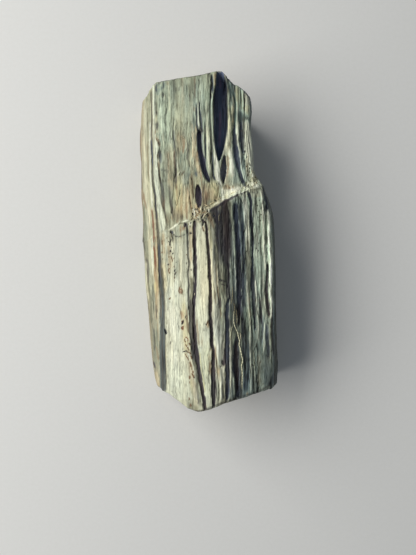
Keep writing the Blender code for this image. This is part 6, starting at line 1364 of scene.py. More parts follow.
# Recesses go straight away from the eye, so that their edges stay where drawn.
eye = np.array([0.0, 0.0, EYE])
away = points[:, :N_TOP] - eye
away /= np.linalg.norm(away, axis=2, keepdims=True)
ends = np.minimum(LOOP[:, :N_TOP, 1] - LOOP[:1, :N_TOP, 1], LOOP[-1:, :N_TOP, 1] - LOOP[:, :N_TOP, 1])
hold = smoothstep(0.0, 6.0, ends)
away[..., 1] *= hold
near_edge = np.minimum(COLUMN_S, 1 - COLUMN_S)[None, :]
limit = np.minimum(LOOP[:, :N_TOP, 2] - 2.0, 0.2 + 2.4 * ends)
sunk = np.minimum(sunk, np.maximum(limit, 0.0)) * smoothstep(0.0, 0.012, near_edge)
points[:, :N_TOP] += away * sunk[..., None]
points[..., 2] = np.maximum(points[..., 2], 0.0)

# ------------------------------------------------- colour of the unseen sides
full = np.zeros((ROWS, COLS, 3))
full[:, :N_TOP] = shade
side = BASE_COLOUR + np.array([1.0, 0.98, 0.90]) * (0.10 * streaks(0.7, 0.03, 701)
                                                    + 0.05 * streaks(2.2, 0.08, 711))[..., None] - 0.07
dark_line = smoothstep(0.30, 0.75, streaks(1.5, 0.04, 721))[..., None]
side = side * (1 - 0.45 * dark_line) + (INK["D"] * 0.45) * dark_line
brown = smoothstep(0.25, 0.8, streaks(0.5, 0.03, 731))[..., None]
side = side * (1 - 0.35 * brown) + INK["T"] * 0.35 * brown
unseen = side[:, N_TOP:]
f = np.arange(1, COLS - N_TOP + 1)
from_right = smoothstep(12.0, 0.0, f)[None, :, None] * 0.8
from_left = smoothstep(10.0, 0.0, (COLS - N_TOP) - f)[None, :, None] * 0.8
unseen = unseen * (1 - from_right) + shade[:, -1:] * from_right
unseen = unseen * (1 - from_left) + shade[:, :1] * from_left
full[:, N_TOP:] = unseen

# The near part of the right side is finely ribbed.
busy = np.ones((ROWS, N_TOP)).ravel()
pick, m = lay(np.array(((258, 246.0, 27.0), (290, 246.0, 31.0), (392, 246.0, 33.0)), float), 4.0, 8.0)
busy[pick] += 0.9 * m
ribs = hairlines(2.6, 0.075, 667, 0.34) * smoothstep(-0.3, 0.2, streaks(1.2, 0.11, 669, 1))
pale_ribs = hairlines(2.9, 0.085, 671, 0.26) * smoothstep(-0.1, 0.4, streaks(1.1, 0.12, 673, 1))
ribbed = np.zeros((ROWS, COLS))
ribbed[:, :N_TOP] = busy.reshape(ROWS, N_TOP) - 1

# Overall figure, soft and fine.
figure = (0.022 * streaks(0.8, 0.05, 801) + 0.040 * streaks(2.2, 0.13, 811))
warmth = 0.018 * streaks(0.6, 0.06, 831)
dark = 1 - (0.42 * lines_a + 0.30 * lines_b) * np.minimum(coarse, 1.1) - 0.24 * lines_c * fine
dark = dark * (1 - 0.30 * ribs * ribbed) * (1 + 0.30 * pale_ribs * ribbed)
full = full * ((1 + 2.0 * figure * (0.5 + 0.5 * fine)) * dark)[..., None]
full[..., 0] += warmth
full[..., 2] -= warmth
full = np.clip(full * np.array([0.978, 1.0, 0.995]), 0.02, 1.0)


# How strong the shader's fibres are, over the block.
crispness = across_share(((0, 0.9), (0.12, 0.9), (0.25, 1.1), (0.50, 0.9), (0.56, 0.7), (0.60, 1.0), (0.72, 1.8), (1, 2.0)),
                         ((0, 0.9), (0.12, 0.9), (0.25, 1.6), (0.45, 1.5), (0.6, 1.0), (1, 1.0)))
crispness *= np.where((KIND > 0.02) & (KIND < 1.5), 0.7, 1.0)[:, None]
for marks in (((70, 244.0, 17.0), (100, 244.0, 17.0), (126, 242.0, 16.0)), ((186, 236.0, 16.0), (198, 232.0, 16.0))):
    pick, m = lay(np.array(marks, float), 3.0, 4.0)
    calm = crispness[:, :N_TOP].ravel()
    calm[pick] *= 1 - 0.30 * m
    crispness[:, :N_TOP] = calm.reshape(ROWS, N_TOP)
for _depth, _inside, marks in HOLLOWS:
    pick, m = lay(np.array(marks, float), 0.3, 0.01)
    calm = crispness[:, :N_TOP].ravel()
    calm[pick] *= 1 - 0.75 * m
    crispness[:, :N_TOP] = calm.reshape(ROWS, N_TOP)


def linear(c):
    return np.where(c <= 0.04045, c / 12.92, ((c + 0.055) / 1.055) ** 2.4)


# ---------------------------------------------------------------- end faces
def cap_rings(row, end, outward, seed):
    """Rings from an end's rim in to the middle line of the face."""
    rim = points[row].copy()
    base = LOOP[row]
    xl, xr = base[:, 0].min() + 3.0, base[:, 0].max() - 3.0
    top_x, top_z = base[:N_TOP, 0], base[:N_TOP, 2]
    order = np.argsort(top_x)
    mx = np.clip(rim[:, 0], xl, xr)
    mz = 0.40 * np.interp(mx, top_x[order], top_z[order])
    ex, ey = [p[0] for p in end], [p[1] for p in end]
    rings = []
    for k in range(1, CAP_RINGS + 1):
        f = 1 - (k / CAP_RINGS) * 0.965 if k > 1 else 0.985
        x = mx + (rim[:, 0] - mx) * f
        z = mz + (rim[:, 2] - mz) * f
        flat = np.interp(x, ex, ey)
        y = rim[:, 1] * f ** 6 + flat * (1 - f ** 6)
        rough = (0.10 * fractal(x * 0.35, z * 0.9, seed, 3) + 0.05 * noise(x * 2.4, z * 2.4, seed + 9))
        y = y + outward * (rough - 0.05) * (1 - f ** 6)
        rings.append(np.stack([x, y, z], -1))
    return np.array(rings)


# A worn edge round both end faces.
for row, nxt in ((0, 1), (ROWS - 1, ROWS - 2)):
    worn = 0.16 + 0.12 * noise(GIRTH * 0.8, GIRTH * 0 + row, 905) + 0.10 * noise(GIRTH * 2.6, GIRTH * 0 + row, 906)
    worn = np.clip(worn, 0.03, 0.5) * smoothstep(0.0, 1.0, LOOP[row, :, 2] + 0.4)
    points[row] -= NORMAL[row] * worn[:, None]
points[..., 2] = np.maximum(points[..., 2], 0.0)
near_rings = cap_rings(0, NEAR_END, -1.0, 911)
far_rings = cap_rings(ROWS - 1, FAR_END, 1.0, 921)


def build_block():
    verts = np.concatenate([points.reshape(-1, 3), near_rings.reshape(-1, 3), far_rings.reshape(-1, 3)])
    colour = np.concatenate([full.reshape(-1, 3)] + [np.repeat(np.zeros((1, 3)) + INK["T"], r.shape[0] * COLS, 0)
                                                      for r in (near_rings, far_rings)])
    grain = np.concatenate([np.zeros(ROWS * COLS), np.ones(2 * CAP_RINGS * COLS)])
    n0 = ROWS * COLS
    faces, uvs = [], []
    total = GIRTH[-1] + float(np.linalg.norm(LOOP[:, 0, [0, 2]] - LOOP[:, -1, [0, 2]], axis=1).mean())
    sheet = total + 2.0
    gg = np.append(GIRTH, total)
    y_low = LOOP[..., 1].min()
    for r in range(ROWS - 1):
        y0, y1 = LOOP[r, :, 1] - y_low, LOOP[r + 1, :, 1] - y_low
        for c in range(COLS):
            d = (c + 1) % COLS
            faces.append((r * COLS + c, r * COLS + d, (r + 1) * COLS + d, (r + 1) * COLS + c))
            uvs.extend(((gg[c], y0[c]), (gg[c + 1], y0[d]), (gg[c + 1], y1[d]), (gg[c], y1[c])))
    length = LOOP[..., 1].max() - y_low + 2.0
    for start, ring0, rings, turn, left in ((n0, 0, near_rings, True, 24.0),
                                            (n0 + CAP_RINGS * COLS, (ROWS - 1) * COLS, far_rings, False, 24.0 + 50.0)):
        def at(k, c):
            return ring0 + c if k == 0 else start + (k - 1) * COLS + c
        for k in range(CAP_RINGS):
            for c in range(COLS):
                d = (c + 1) % COLS
                q = (at(k, c), at(k, d), at(k + 1, d), at(k + 1, c))
                q = q[::-1] if turn else q
                faces.append(q)
                uvs.extend((verts[i][0] + left, verts[i][2] + length) for i in q)
        # The innermost ring is a slit; it's closed from left to right.
        last = [at(CAP_RINGS, c) for c in range(COLS)]
        xs = [verts[i][0] for i in last]
        a, b = int(np.argmin(xs)), int(np.argmax(xs))
        one = [(a + k) % COLS for k in range((b - a) % COLS + 1)]
        two = [(a - k) % COLS for k in range((a - b) % COLS + 1)]
        i = j = 0
        while i < len(one) - 1 or j < len(two) - 1:
            if j == len(two) - 1 or (i < len(one) - 1 and xs[one[i + 1]] <= xs[two[j + 1]]):
                corner = (one[i], one[i + 1], two[j])
                i += 1
            else:
                corner = (one[i], two[j + 1], two[j])
                j += 1
            if len(set(corner)) < 3:
                continue
            corner = [last[c] for c in (corner[::-1] if turn else corner)]
            faces.append(tuple(corner))
            uvs.extend((verts[c][0] + left, verts[c][2] + length) for c in corner)
    side = max(sheet, length + 30.0)
    mesh = bpy.data.meshes.new("palo_santo")
    moved = (verts - np.array([ORIGIN[0], ORIGIN[1], 0.0])) * MM
    mesh.from_pydata(moved.tolist(), [], faces)
    layer = mesh.uv_layers.new(name="OFBake")
    layer.data.foreach_set("uv", (np.array(uvs) / side).ravel())
    paint = mesh.color_attributes.new(name="paint", type="FLOAT_COLOR", domain="POINT")
    rgba = np.ones((len(verts), 4))
    rgba[:, :3] = linear(np.clip(colour, 0.0, 1.0))
    rgba[:ROWS * COLS, 3] = crispness.ravel()
    paint.data.foreach_set("color", rgba.ravel())
    mask = mesh.attributes.new(name="endgrain", type="FLOAT", domain="POINT")
    mask.data.foreach_set("value", grain)
    bm = bmesh.new()
    bm.from_mesh(mesh)
    bm.faces.ensure_lookup_table()
    big = [face for face in bm.faces if len(face.verts) > 4]
    bmesh.ops.triangulate(bm, faces=big)
    if bm.calc_volume(signed=True) < 0:
        bmesh.ops.reverse_faces(bm, faces=bm.faces)
    bm.to_mesh(mesh)
    bm.free()
    mesh.shade_smooth()
    obj = bpy.data.objects.new("weathered_block", mesh)
    bpy.context.scene.collection.objects.link(obj)
    return obj


# ---------------------------------------------------------------- materials
class Nodes:
    """Short hand for building a node tree."""

    def __init__(self, tree):
        self.tree = tree

    def add(self, kind, **values):
        node = self.tree.nodes.new(kind)
        for name, value in values.items():
            setattr(node, name, value)
        return node

    def link(self, a, b):
        self.tree.links.new(a, b)

    def math(self, op, a, b=None, clamp=False):
        node = self.add("ShaderNodeMath", operation=op, use_clamp=clamp)
        for i, value in enumerate((a, b)):
            if value is None:
                continue
            if isinstance(value, (int, float)):
                node.inputs[i].default_value = value
            else:
                self.link(value, node.inputs[i])
        return node.outputs[0]

    def mix(self, fac, a, b, blend="MIX"):
        node = self.add("ShaderNodeMix", data_type="RGBA", blend_type=blend)
        for socket, value in ((node.inputs[0], fac), (node.inputs[6], a), (node.inputs[7], b)):
            if isinstance(value, (int, float)):
                socket.default_value = value
            elif isinstance(value, (tuple, list, np.ndarray)):
                socket.default_value = (*[float(c) for c in value][:3], 1.0)
            else:
                self.link(value, socket)
        return node.outputs[2]

    def ramp(self, value, *stops):
        node = self.add("ShaderNodeValToRGB")
        points = node.color_ramp.elements
        while len(points) < len(stops):
            points.new(0.5)
        for element, (pos, level) in zip(points, stops):
            element.position = pos
            element.color = (level, level, level, 1.0)
        self.link(value, node.inputs[0])
        return node.outputs[0]

    def noise(self, vector, scale=1.0, detail=2.0, rough=0.5, distort=0.0):
        node = self.add("ShaderNodeTexNoise", noise_dimensions="3D")
        self.link(vector, node.inputs["Vector"])
        node.inputs["Scale"].default_value = scale
        node.inputs["Detail"].default_value = detail
        node.inputs["Roughness"].default_value = rough
        node.inputs["Distortion"].default_value = distort
        return node.outputs["Fac"]

    def shifted(self, vector, offset):
        node = self.add("ShaderNodeVectorMath", operation="ADD")
        self.link(vector, node.inputs[0])
        node.inputs[1].default_value = (offset, 2.0 * offset, 0.5 * offset)
        return node.outputs[0]

    def stretched(self, vector, x, y, z):
        node = self.add("ShaderNodeMapping")
        node.inputs["Scale"].default_value = (x, y, z)
        self.link(vector, node.inputs["Vector"])
        return node.outputs[0]


def wood_material():
    mat = bpy.data.materials.new("weathered palo santo")
    mat.use_nodes = True
    tree = mat.node_tree
    tree.nodes.clear()
    n = Nodes(tree)
    out = n.add("ShaderNodeOutputMaterial")
    shader = n.add("ShaderNodeBsdfPrincipled")
    n.link(shader.outputs[0], out.inputs[0])
    coords = n.add("ShaderNodeTexCoord").outputs["Object"]
    mm = n.stretched(coords, 1000.0, 1000.0, 1000.0)
    bend = n.add("ShaderNodeTexNoise", noise_dimensions="3D")
    n.link(n.stretched(mm, 0.16, 0.05, 0.16), bend.inputs["Vector"])
    bend.inputs["Scale"].default_value = 1.0
    bend.inputs["Detail"].default_value = 1.0
    shift = n.add("ShaderNodeVectorMath", operation="MULTIPLY_ADD")
    n.link(bend.outputs["Color"], shift.inputs[0])
    shift.inputs[1].default_value = (1.6, 0.0, 1.6)
    n.link(mm, shift.inputs[2])
    wavy = shift.outputs[0]

    paint = n.add("ShaderNodeAttribute", attribute_name="paint").outputs["Color"]
    mask = n.add("ShaderNodeAttribute", attribute_name="endgrain").outputs["Fac"]

    detail = n.add("ShaderNodeAttribute", attribute_name="paint").outputs["Alpha"]

    # Fibres: broad and fine threads, with thin splits along them.
    curl = n.add("ShaderNodeTexNoise", noise_dimensions="3D")
    n.link(n.stretched(mm, 0.85, 0.34, 0.85), curl.inputs["Vector"])
    curl.inputs["Scale"].default_value = 1.0
    curl.inputs["Detail"].default_value = 1.0
    curled = n.add("ShaderNodeVectorMath", operation="MULTIPLY_ADD")
    n.link(curl.outputs["Color"], curled.inputs[0])
    curled.inputs[1].default_value = (0.75, 0.0, 0.75)
    n.link(wavy, curled.inputs[2])
    thread = curled.outputs[0]
    band = n.noise(n.stretched(thread, 1.15, 0.055, 1.15), 1.0, 2.0, 0.55)
    hair = n.noise(n.stretched(thread, 2.4, 0.17, 2.4), 1.0, 3.0, 0.66)
    speck = n.noise(n.stretched(mm, 2.6, 1.3, 2.6), 1.0, 2.0, 0.6)

    def thin_lines(across, along, width, low, high, offset):
        field = n.noise(n.stretched(n.shifted(thread, offset), across, along, across), 1.0, 1.0, 0.4)
        off = n.math("ABSOLUTE", n.math("SUBTRACT", field, 0.5))
        line = n.ramp(off, (0.0, 1.0), (width, 0.0))
        where = n.ramp(n.noise(n.stretched(n.shifted(mm, offset + 7.7), 0.30, 0.05, 0.30), 1.0, 1.0, 0.5),
                       (low, 0.0), (high, 1.0))
        return n.math("MULTIPLY", line, where)

    wide_splits = thin_lines(0.62, 0.030, 0.030, 0.44, 0.54, 3.3)
    thin_splits = thin_lines(1.25, 0.075, 0.045, 0.40, 0.52, 31.0)
    pores = n.ramp(n.noise(n.stretched(thread, 3.6, 0.75, 3.6), 1.0, 1.0, 0.4), (0.26, 1.0), (0.35, 0.0))

    def centred(value, amount):
        return n.math("MULTIPLY", n.math("SUBTRACT", value, 0.5), amount)

    swing = n.math("ADD", n.math("ADD", centred(hair, FIBRE_HAIR), centred(band, FIBRE_BAND)),
                   centred(speck, FIBRE_SPECK))
    splits = n.math("ADD", n.math("MULTIPLY", wide_splits, 0.55), n.math("MULTIPLY", thin_splits, 0.38))
    swing = n.math("SUBTRACT", swing, splits)
    gain = n.math("MAXIMUM", n.math("ADD", n.math("MULTIPLY", swing, detail), FIBRE_BASE), 0.15)
    vector_gain = n.add("ShaderNodeVectorMath", operation="SCALE")
    n.link(paint, vector_gain.inputs[0])
    n.link(gain, vector_gain.inputs["Scale"])
    side = n.mix(n.math("MULTIPLY", pores, 0.40), vector_gain.outputs[0], srgb_linear(92, 78, 62))

    # End grain: rings round a pith off to one side, with rays and pores.
    centre = n.add("ShaderNodeVectorMath", operation="ADD")
    n.link(n.stretched(mm, 1.0, 0.0, 1.0), centre.inputs[0])
    centre.inputs[1].default_value = (-11.0, 0.0, 24.0)
    ringless = n.add("ShaderNodeVectorMath", operation="MULTIPLY_ADD")
    n.link(bend.outputs["Color"], ringless.inputs[0])
    ringless.inputs[1].default_value = (2.4, 0.0, 2.4)
    n.link(centre.outputs[0], ringless.inputs[2])
    radius = n.add("ShaderNodeVectorMath", operation="LENGTH")
    n.link(ringless.outputs[0], radius.inputs[0])
    slow = n.noise(n.stretched(mm, 0.22, 0.22, 0.22), 1.0, 2.0, 0.5)
    grain = n.noise(n.stretched(mm, 1.6, 1.6, 1.6), 1.0, 3.0, 0.6)
    phase = n.math("MULTIPLY", radius.outputs["Value"], 5.3)
    phase = n.math("ADD", phase, n.math("MULTIPLY", slow, 6.0))
    phase = n.math("ADD", phase, n.math("MULTIPLY", grain, 1.1))
    wave = n.math("MULTIPLY_ADD", n.math("SINE", phase), 0.5)
    wave.node.inputs[2].default_value = 0.5
    wave = n.math("POWER", wave, 3.0)
    patch = n.noise(n.stretched(n.shifted(mm, 5.1), 0.34, 0.34, 0.34), 1.0, 3.0, 0.6)
    wave = n.math("MULTIPLY", wave, n.ramp(patch, (0.34, 0.30), (0.62, 1.0)))
    dots = n.ramp(n.noise(n.stretched(mm, 5.0, 5.0, 5.0), 1.0, 1.0, 0.4), (0.30, 1.0), (0.40, 0.0))
    saw = n.noise(n.stretched(n.shifted(mm, 2.3), 0.9, 0.9, 2.6), 1.0, 3.0, 0.6)
    # Drying checks that run out from the pith.
    split_up = n.add("ShaderNodeSeparateXYZ")
    n.link(ringless.outputs[0], split_up.inputs[0])
    turn = n.math("ARCTAN2", split_up.outputs["Z"], split_up.outputs["X"])
    turn = n.math("ADD", n.math("MULTIPLY", turn, 9.5), n.math("MULTIPLY", grain, 0.10))
    check = n.math("ABSOLUTE", n.math("SUBTRACT", n.math("FRACT", turn), 0.5))
    check = n.ramp(check, (0.0, 1.0), (0.030, 0.0))
    check = n.math("MULTIPLY", check, n.ramp(n.noise(n.stretched(n.shifted(mm, 9.4), 0.20, 0.20, 0.20), 1.0, 2.0, 0.5),
                                             (0.46, 0.0), (0.56, 1.0)))
    end = n.mix(grain, srgb_linear(204, 184, 146), srgb_linear(160, 134, 100))
    end = n.mix(n.math("MULTIPLY", wave, 0.62), end, srgb_linear(112, 86, 60))
    end = n.mix(n.ramp(patch, (0.36, 0.50), (0.60, 0.06)), end, srgb_linear(158, 154, 134))
    end = n.mix(n.math("MULTIPLY", dots, 0.45), end, srgb_linear(70, 58, 46))
    end = n.mix(n.math("MULTIPLY", saw, 0.30), end, srgb_linear(196, 186, 160))
    end = n.mix(n.math("MULTIPLY", check, 0.85), end, srgb_linear(44, 36, 32))
    colour = n.mix(mask, side, end)
    n.link(colour, shader.inputs["Base Color"])

    rough = n.math("MULTIPLY_ADD", hair, 0.18)
    rough.node.inputs[2].default_value = 0.70
    n.link(rough, shader.inputs["Roughness"])
    shader.inputs["Specular IOR Level"].default_value = 0.28

    height = n.math("ADD", n.math("MULTIPLY", band, 1.2), n.math("MULTIPLY", hair, 0.9))
    height = n.math("ADD", height, n.math("MULTIPLY", speck, 0.25))
    height = n.math("SUBTRACT", height, n.math("MULTIPLY", pores, 0.30))
    height = n.math("SUBTRACT", height, n.math("MULTIPLY", splits, 1.3))
    height = n.math("MULTIPLY", height, detail)
    end_height = n.math("MULTIPLY_ADD", wave, 0.4)
    bits = n.math("SUBTRACT", n.math("MULTIPLY", saw, 1.2), n.math("MULTIPLY", dots, 0.5))
    n.link(n.math("SUBTRACT", bits, n.math("MULTIPLY", check, 1.6)), end_height.node.inputs[2])
    both = n.add("ShaderNodeMix", data_type="FLOAT")
    n.link(mask, both.inputs[0])
    n.link(height, both.inputs[2])
    n.link(end_height, both.inputs[3])
    bump = n.add("ShaderNodeBump")
    bump.inputs["Strength"].default_value = 0.8
    bump.inputs["Distance"].default_value = 0.00014
    n.link(both.outputs[0], bump.inputs["Height"])
    n.link(bump.outputs[0], shader.inputs["Normal"])
    return mat


def srgb_linear(r, g, b):
    return linear(np.array([r, g, b]) / 255.0)


block = build_block()
block.data.materials.append(wood_material())
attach(block, "root")
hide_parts("palo_santo_stick")

# ------------------------------------------------------------- loose fibres
# Colour, half width in plan units, how far the middle stands off in mm, then
# plan marks (v, u).
FIBRES = (
    ((232, 229, 192), 0.56, 0.12, ((311, 233.5), (316, 233.6), (320, 233.5), (323.5, 233.8), (326.5, 234.7), (329.5, 236.1),
                                   (332.5, 237.7), (335.5, 238.4), (338, 239.1), (341, 239.9), (343.2, 239.5),
                                   (345, 239.3), (347.5, 239.8), (350, 240.5), (355, 241.3), (359.5, 242.5), (362.5, 242.3),
                                   (365, 241.3), (367.5, 241.6), (371, 242.1), (376, 242.4), (382, 242.1), (389, 242.1))),
    ((214, 206, 176), 0.36, 0.06, ((332.6, 240.0), (335.4, 240.7), (338.4, 240.4), (341.4, 239.8))),
    ((168, 168, 138), 0.42, 0.06, ((325, 233.6), (328.5, 231.6), (333, 230.8), (341, 230.4))),
    ((160, 150, 120), 0.36, 0.05, ((309, 236.2), (314, 236.2), (319, 236.6), (324, 236.9))),
    ((146, 140, 112), 0.36, 0.05, ((286, 232.4), (293, 232.6), (300, 232.0), (304, 231.2))),
    ((150, 142, 112), 0.32, 0.05, ((303, 233.4), (306.5, 234.6), (311, 234.2), (316, 235.0))),
    ((236, 228, 196), 0.42, 0.12, ((213.6, 193.8), (211.0, 193.0), (208.2, 193.2))),
    ((230, 216, 180), 0.40, 0.14, ((210.8, 195.4), (212.2, 197.4), (213.0, 199.0))),
    ((236, 226, 190), 0.44, 0.16, ((206.4, 200.2), (208.4, 201.2), (211.0, 201.4))),
    ((214, 196, 158), 0.36, 0.12, ((204.2, 204.2), (205.6, 206.4), (206.8, 209.0))),
    ((232, 220, 184), 0.36, 0.14, ((209.2, 205.2), (208.2, 207.6), (208.4, 210.4))),
    ((222, 208, 170), 0.32, 0.12, ((204.4, 209.4), (202.8, 212.0), (201.6, 214.6))),
    ((226, 212, 176), 0.32, 0.12, ((217.4, 196.0), (216.0, 199.0), (214.2, 201.6))),
    ((206, 190, 152), 0.30, 0.10, ((219.6, 192.4), (218.6, 195.4), (218.4, 198.0))),
    ((228, 216, 180), 0.32, 0.12, ((215.4, 204.6), (213.2, 206.6), (212.0, 209.0))),
    ((198, 182, 146), 0.28, 0.10, ((199.8, 217.4), (198.2, 220.0), (197.6, 222.6))),
    ((236, 226, 194), 0.30, 0.10, ((194.6, 229.4), (192.8, 232.8), (191.6, 236.4))),
    ((226, 218, 188), 0.28, 0.10, ((188.6, 242.4), (186.8, 245.6), (184.6, 248.2))),
    ((222, 212, 180), 0.30, 0.12, ((186.4, 252.4), (184.2, 255.0), (182.8, 258.0))),
    ((206, 200, 166), 0.26, 0.08, ((176.4, 250.2), (173.2, 251.6), (169.6, 251.8))),
    ((214, 208, 176), 0.26, 0.08, ((152.2, 247.4), (156.4, 248.4), (160.2, 247.8))),
    ((206, 200, 168), 0.26, 0.07, ((132.6, 155.4), (137.0, 156.4), (141.8, 156.0))),
    ((176, 168, 134), 0.26, 0.06, ((171.6, 180.6), (173.4, 179.2), (175.8, 178.4))),
    ((150, 142, 112), 0.26, 0.06, ((214.0, 219.4), (217.6, 218.6), (221.4, 219.2))),
    ((140, 146, 122), 0.28, 0.06, ((352.0, 253.4), (357.4, 254.4), (363.0, 254.0), (369.0, 255.0))),
    ((128, 122, 98), 0.26, 0.06, ((232.4, 172.2), (236.0, 171.2), (239.8, 172.4))),
)
EYE_AT = Vector((-ORIGIN[0], -ORIGIN[1], EYE)) * MM


def cast(tree, v, u):
    """Where the line of sight through a plan mark meets the block, and the face's normal there."""
    x, y, _z = place(v, u, 0.0)
    foot = Vector((x - ORIGIN[0], y - ORIGIN[1], 0.0)) * MM
    hit, normal, _index, _far = tree.ray_cast(EYE_AT, (foot - EYE_AT).normalized())
    return None if hit is None else (np.array(hit) / MM, np.array(normal))


def build_fibres(body):
    tree = BVHTree.FromPolygons([v.co for v in body.data.vertices], [p.vertices for p in body.data.polygons])
    verts, faces, uvs, paints = [], [], [], []
    pieces = [(np.array(colour) / 255.0, lift, 0.75, np.array([(*mark, wide) for mark in marks], float))
              for colour, wide, lift, marks in FIBRES]
    pieces += [(INK[ink] * 0.92, 0.012, 0.30, marks * (1, 1, 0.85)) for ink, marks in FLAKES]
    for i, (colour, lift, thin, marks) in enumerate(pieces):
        run = np.concatenate([[0], np.cumsum(np.linalg.norm(np.diff(marks[:, :2], axis=0), axis=1))])
        count = max(9, int(run[-1] * 2.2))
        at = np.linspace(0, run[-1], count)
        path = np.column_stack([np.interp(at, run, marks[:, 0]), np.interp(at, run, marks[:, 1])])
        wide = np.interp(at, run, marks[:, 2])
        for _ in range(3):
            path[1:-1] = 0.25 * path[:-2] + 0.5 * path[1:-1] + 0.25 * path[2:]
        spots = [cast(tree, v, u) for v, u in path]
        if None in spots:
            continue
        middle = np.array([a for a, _b in spots])
        normal = np.array([b for _a, b in spots])
        high = middle[:, 2].copy()
        for _ in range(6):
            high[1:-1] = np.maximum(0.25 * high[:-2] + 0.5 * high[1:-1] + 0.25 * high[2:], middle[1:-1, 2])
            normal[1:-1] = 0.25 * normal[:-2] + 0.5 * normal[1:-1] + 0.25 * normal[2:]
        share = np.linspace(0, 1, count)
        middle[:, 2] = high
        normal /= np.linalg.norm(normal, axis=1)[:, None]
        along = np.gradient(middle, axis=0)
        along /= np.linalg.norm(along, axis=1)[:, None]
        across = np.cross(along, normal)
        across /= np.linalg.norm(across, axis=1)[:, None]
        swell = np.sin(np.pi * share) ** 0.35 * (1 + 0.18 * np.sin(at * 1.7 + i) + 0.10 * np.sin(at * 4.1 + 2 * i))
        half = wide * (EYE - 25.0) / FOCAL * np.maximum(swell, 0.12)
        thick = thin * half
        middle = middle + normal * (thick * 0.4 + lift * (0.3 + 0.7 * np.sin(np.pi * share)))[:, None]
        first = len(verts)
        for j in range(count):
            for k in range(6):
                a = 2 * math.pi * k / 6
                verts.append(middle[j] + across[j] * half[j] * math.cos(a) + normal[j] * thick[j] * math.sin(a))
                tone = 1.0 + 0.10 * math.sin(at[j] * 2.3 + i) + 0.06 * math.sin(at[j] * 5.9 + 3 * i + k)
                paints.append([*linear(np.clip(colour * tone, 0, 1)), 1.0])
        for j in range(count - 1):
            for k in range(6):
                a, b = first + j * 6 + k, first + j * 6 + (k + 1) % 6
                faces.append((a, b, b + 6, a + 6))
                left, right = (i + 0.1 + 0.8 * k / 6) / len(pieces), (i + 0.1 + 0.8 * (k + 1) / 6) / len(pieces)
                low, top = 0.05 + 0.9 * j / count, 0.05 + 0.9 * (j + 1) / count
                uvs.extend(((left, low), (right, low), (right, top), (left, top)))
        for j, order, level in ((0, -1, 0.02), (count - 1, 1, 0.98)):
            faces.append(tuple(first + j * 6 + k for k in range(6))[::order])
            uvs.extend(((i + 0.5 + 0.3 * math.cos(k)) / len(pieces), level + 0.01 * math.sin(k)) for k in range(6))
    mesh = bpy.data.meshes.new("loose_fibres")
    mesh.from_pydata([tuple(v * MM) for v in np.array(verts)], [], faces)
    layer = mesh.uv_layers.new(name="OFBake")
    layer.data.foreach_set("uv", np.array(uvs, float).ravel())
    paint = mesh.color_attributes.new(name="paint", type="FLOAT_COLOR", domain="POINT")
    paint.data.foreach_set("color", np.array(paints, float).ravel())
    bm = bmesh.new()
    bm.from_mesh(mesh)
    bmesh.ops.recalc_face_normals(bm, faces=bm.faces)
    bm.to_mesh(mesh)
    bm.free()
    mesh.shade_smooth()
    obj = bpy.data.objects.new("loose_fibres", mesh)
    bpy.context.scene.collection.objects.link(obj)
    return obj


def fibre_material():
    mat = bpy.data.materials.new("loose fibre wood")
    mat.use_nodes = True
    n = Nodes(mat.node_tree)
    shader = mat.node_tree.nodes["Principled BSDF"]
    paint = n.add("ShaderNodeAttribute", attribute_name="paint").outputs["Color"]
    coords = n.add("ShaderNodeTexCoord").outputs["Object"]
    grain = n.noise(n.stretched(coords, 9000.0, 2500.0, 9000.0), 1.0, 2.0, 0.6)
    tone = n.math("MULTIPLY_ADD", grain, 0.5)
    tone.node.inputs[2].default_value = 0.75
    grey = n.add("ShaderNodeCombineColor")
    for socket in grey.inputs[:3]:
        n.link(tone, socket)
    n.link(n.mix(1.0, paint, grey.outputs[0], "MULTIPLY"), shader.inputs["Base Color"])
    shader.inputs["Roughness"].default_value = 0.8
    shader.inputs["Specular IOR Level"].default_value = 0.2
    return mat


fibres = build_fibres(block)
fibres.data.materials.append(fibre_material())
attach(fibres, "root")

# ------------------------------------------------------------- floor and light
def floor_material():
    mat = bpy.data.materials.new("pale floor")
    mat.use_nodes = True
    n = Nodes(mat.node_tree)
    shader = mat.node_tree.nodes["Principled BSDF"]
    coords = n.add("ShaderNodeTexCoord").outputs["Object"]
    fine = n.noise(n.stretched(coords, 900.0, 900.0, 900.0), 1.0, 3.0, 0.6)
    n.link(n.mix(fine, srgb_linear(226, 226, 222), srgb_linear(232, 232, 229)), shader.inputs["Base Color"])
    shader.inputs["Roughness"].default_value = 0.9
    shader.inputs["Specular IOR Level"].default_value = 0.2
    # Far from the block the floor melts into the pale backdrop.
    far = n.add("ShaderNodeVectorMath", operation="LENGTH")
    n.link(coords, far.inputs[0])
    fade = n.ramp(far.outputs["Value"], (0.17, 0.0), (0.62, 1.0))
    clear = n.add("ShaderNodeBsdfTransparent")
    blend = n.add("ShaderNodeMixShader")
    n.link(fade, blend.inputs[0])
    n.link(shader.outputs[0], blend.inputs[1])
    n.link(clear.outputs[0], blend.inputs[2])
    n.link(blend.outputs[0], mat.node_tree.nodes["Material Output"].inputs["Surface"])
    return mat


floor_mesh = bpy.data.meshes.new("floor")
floor_mesh.from_pydata([(-4, -4, 0), (4, -4, 0), (4, 4, 0), (-4, 4, 0)], [], [(0, 1, 2, 3)])
floor = bpy.data.objects.new("floor", floor_mesh)
bpy.context.scene.collection.objects.link(floor)
floor.data.materials.append(floor_material())

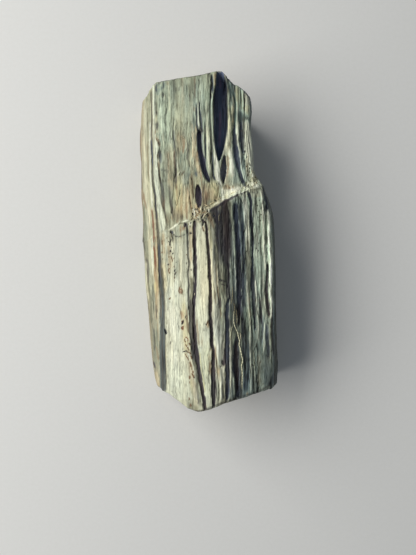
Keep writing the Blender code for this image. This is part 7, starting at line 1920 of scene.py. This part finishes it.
LIGHT_TURN, LIGHT_RISE, LIGHT_FAR = math.radians(11.0), math.radians(40.0), 0.6
aim = Vector((0.0, 0.01, 0.012))
towards = Vector((-math.cos(LIGHT_TURN) * math.cos(LIGHT_RISE), math.sin(LIGHT_TURN) * math.cos(LIGHT_RISE),
                  math.sin(LIGHT_RISE)))
lamp = bpy.data.lights.new("soft window", "AREA")
lamp.shape = "RECTANGLE"
lamp.size, lamp.size_y = 0.86, 0.43
lamp.energy = LAMP_POWER
lamp.color = (1.0, 0.985, 0.955)
lamp_obj = bpy.data.objects.new("soft window", lamp)
bpy.context.scene.collection.objects.link(lamp_obj)
lamp_obj.location = aim + towards * LIGHT_FAR
lamp_obj.rotation_euler = (-towards).to_track_quat("-Z", "Y").to_euler()
lamp_obj.visible_camera = False

world = bpy.data.worlds.new("studio")
bpy.context.scene.world = world
world.use_nodes = True
wn = Nodes(world.node_tree)
world.node_tree.nodes.clear()
w_out = wn.add("ShaderNodeOutputWorld")
background = wn.add("ShaderNodeBackground")
background.inputs["Color"].default_value = (0.80, 0.88, 1.0, 1.0)
background.inputs["Strength"].default_value = FILL
backdrop = wn.add("ShaderNodeBackground")
backdrop.inputs["Color"].default_value = (*srgb_linear(214, 214, 210)[:3], 1.0)
seen = wn.add("ShaderNodeMixShader")
wn.link(wn.add("ShaderNodeLightPath").outputs["Is Camera Ray"], seen.inputs[0])
wn.link(background.outputs[0], seen.inputs[1])
wn.link(backdrop.outputs[0], seen.inputs[2])
wn.link(seen.outputs[0], w_out.inputs[0])

camera_data = bpy.data.cameras.new("camera")
camera_data.lens = 30.0
camera_data.sensor_width = 36.0
camera_data.clip_start = 0.01
camera = bpy.data.objects.new("camera", camera_data)
bpy.context.scene.collection.objects.link(camera)
camera.location = ((0.0 - ORIGIN[0]) * MM, (0.0 - ORIGIN[1]) * MM, EYE * MM)
camera.rotation_euler = (0.0, 0.0, 0.0)
bpy.context.scene.camera = camera
bpy.context.scene.view_settings.view_transform = "Standard"
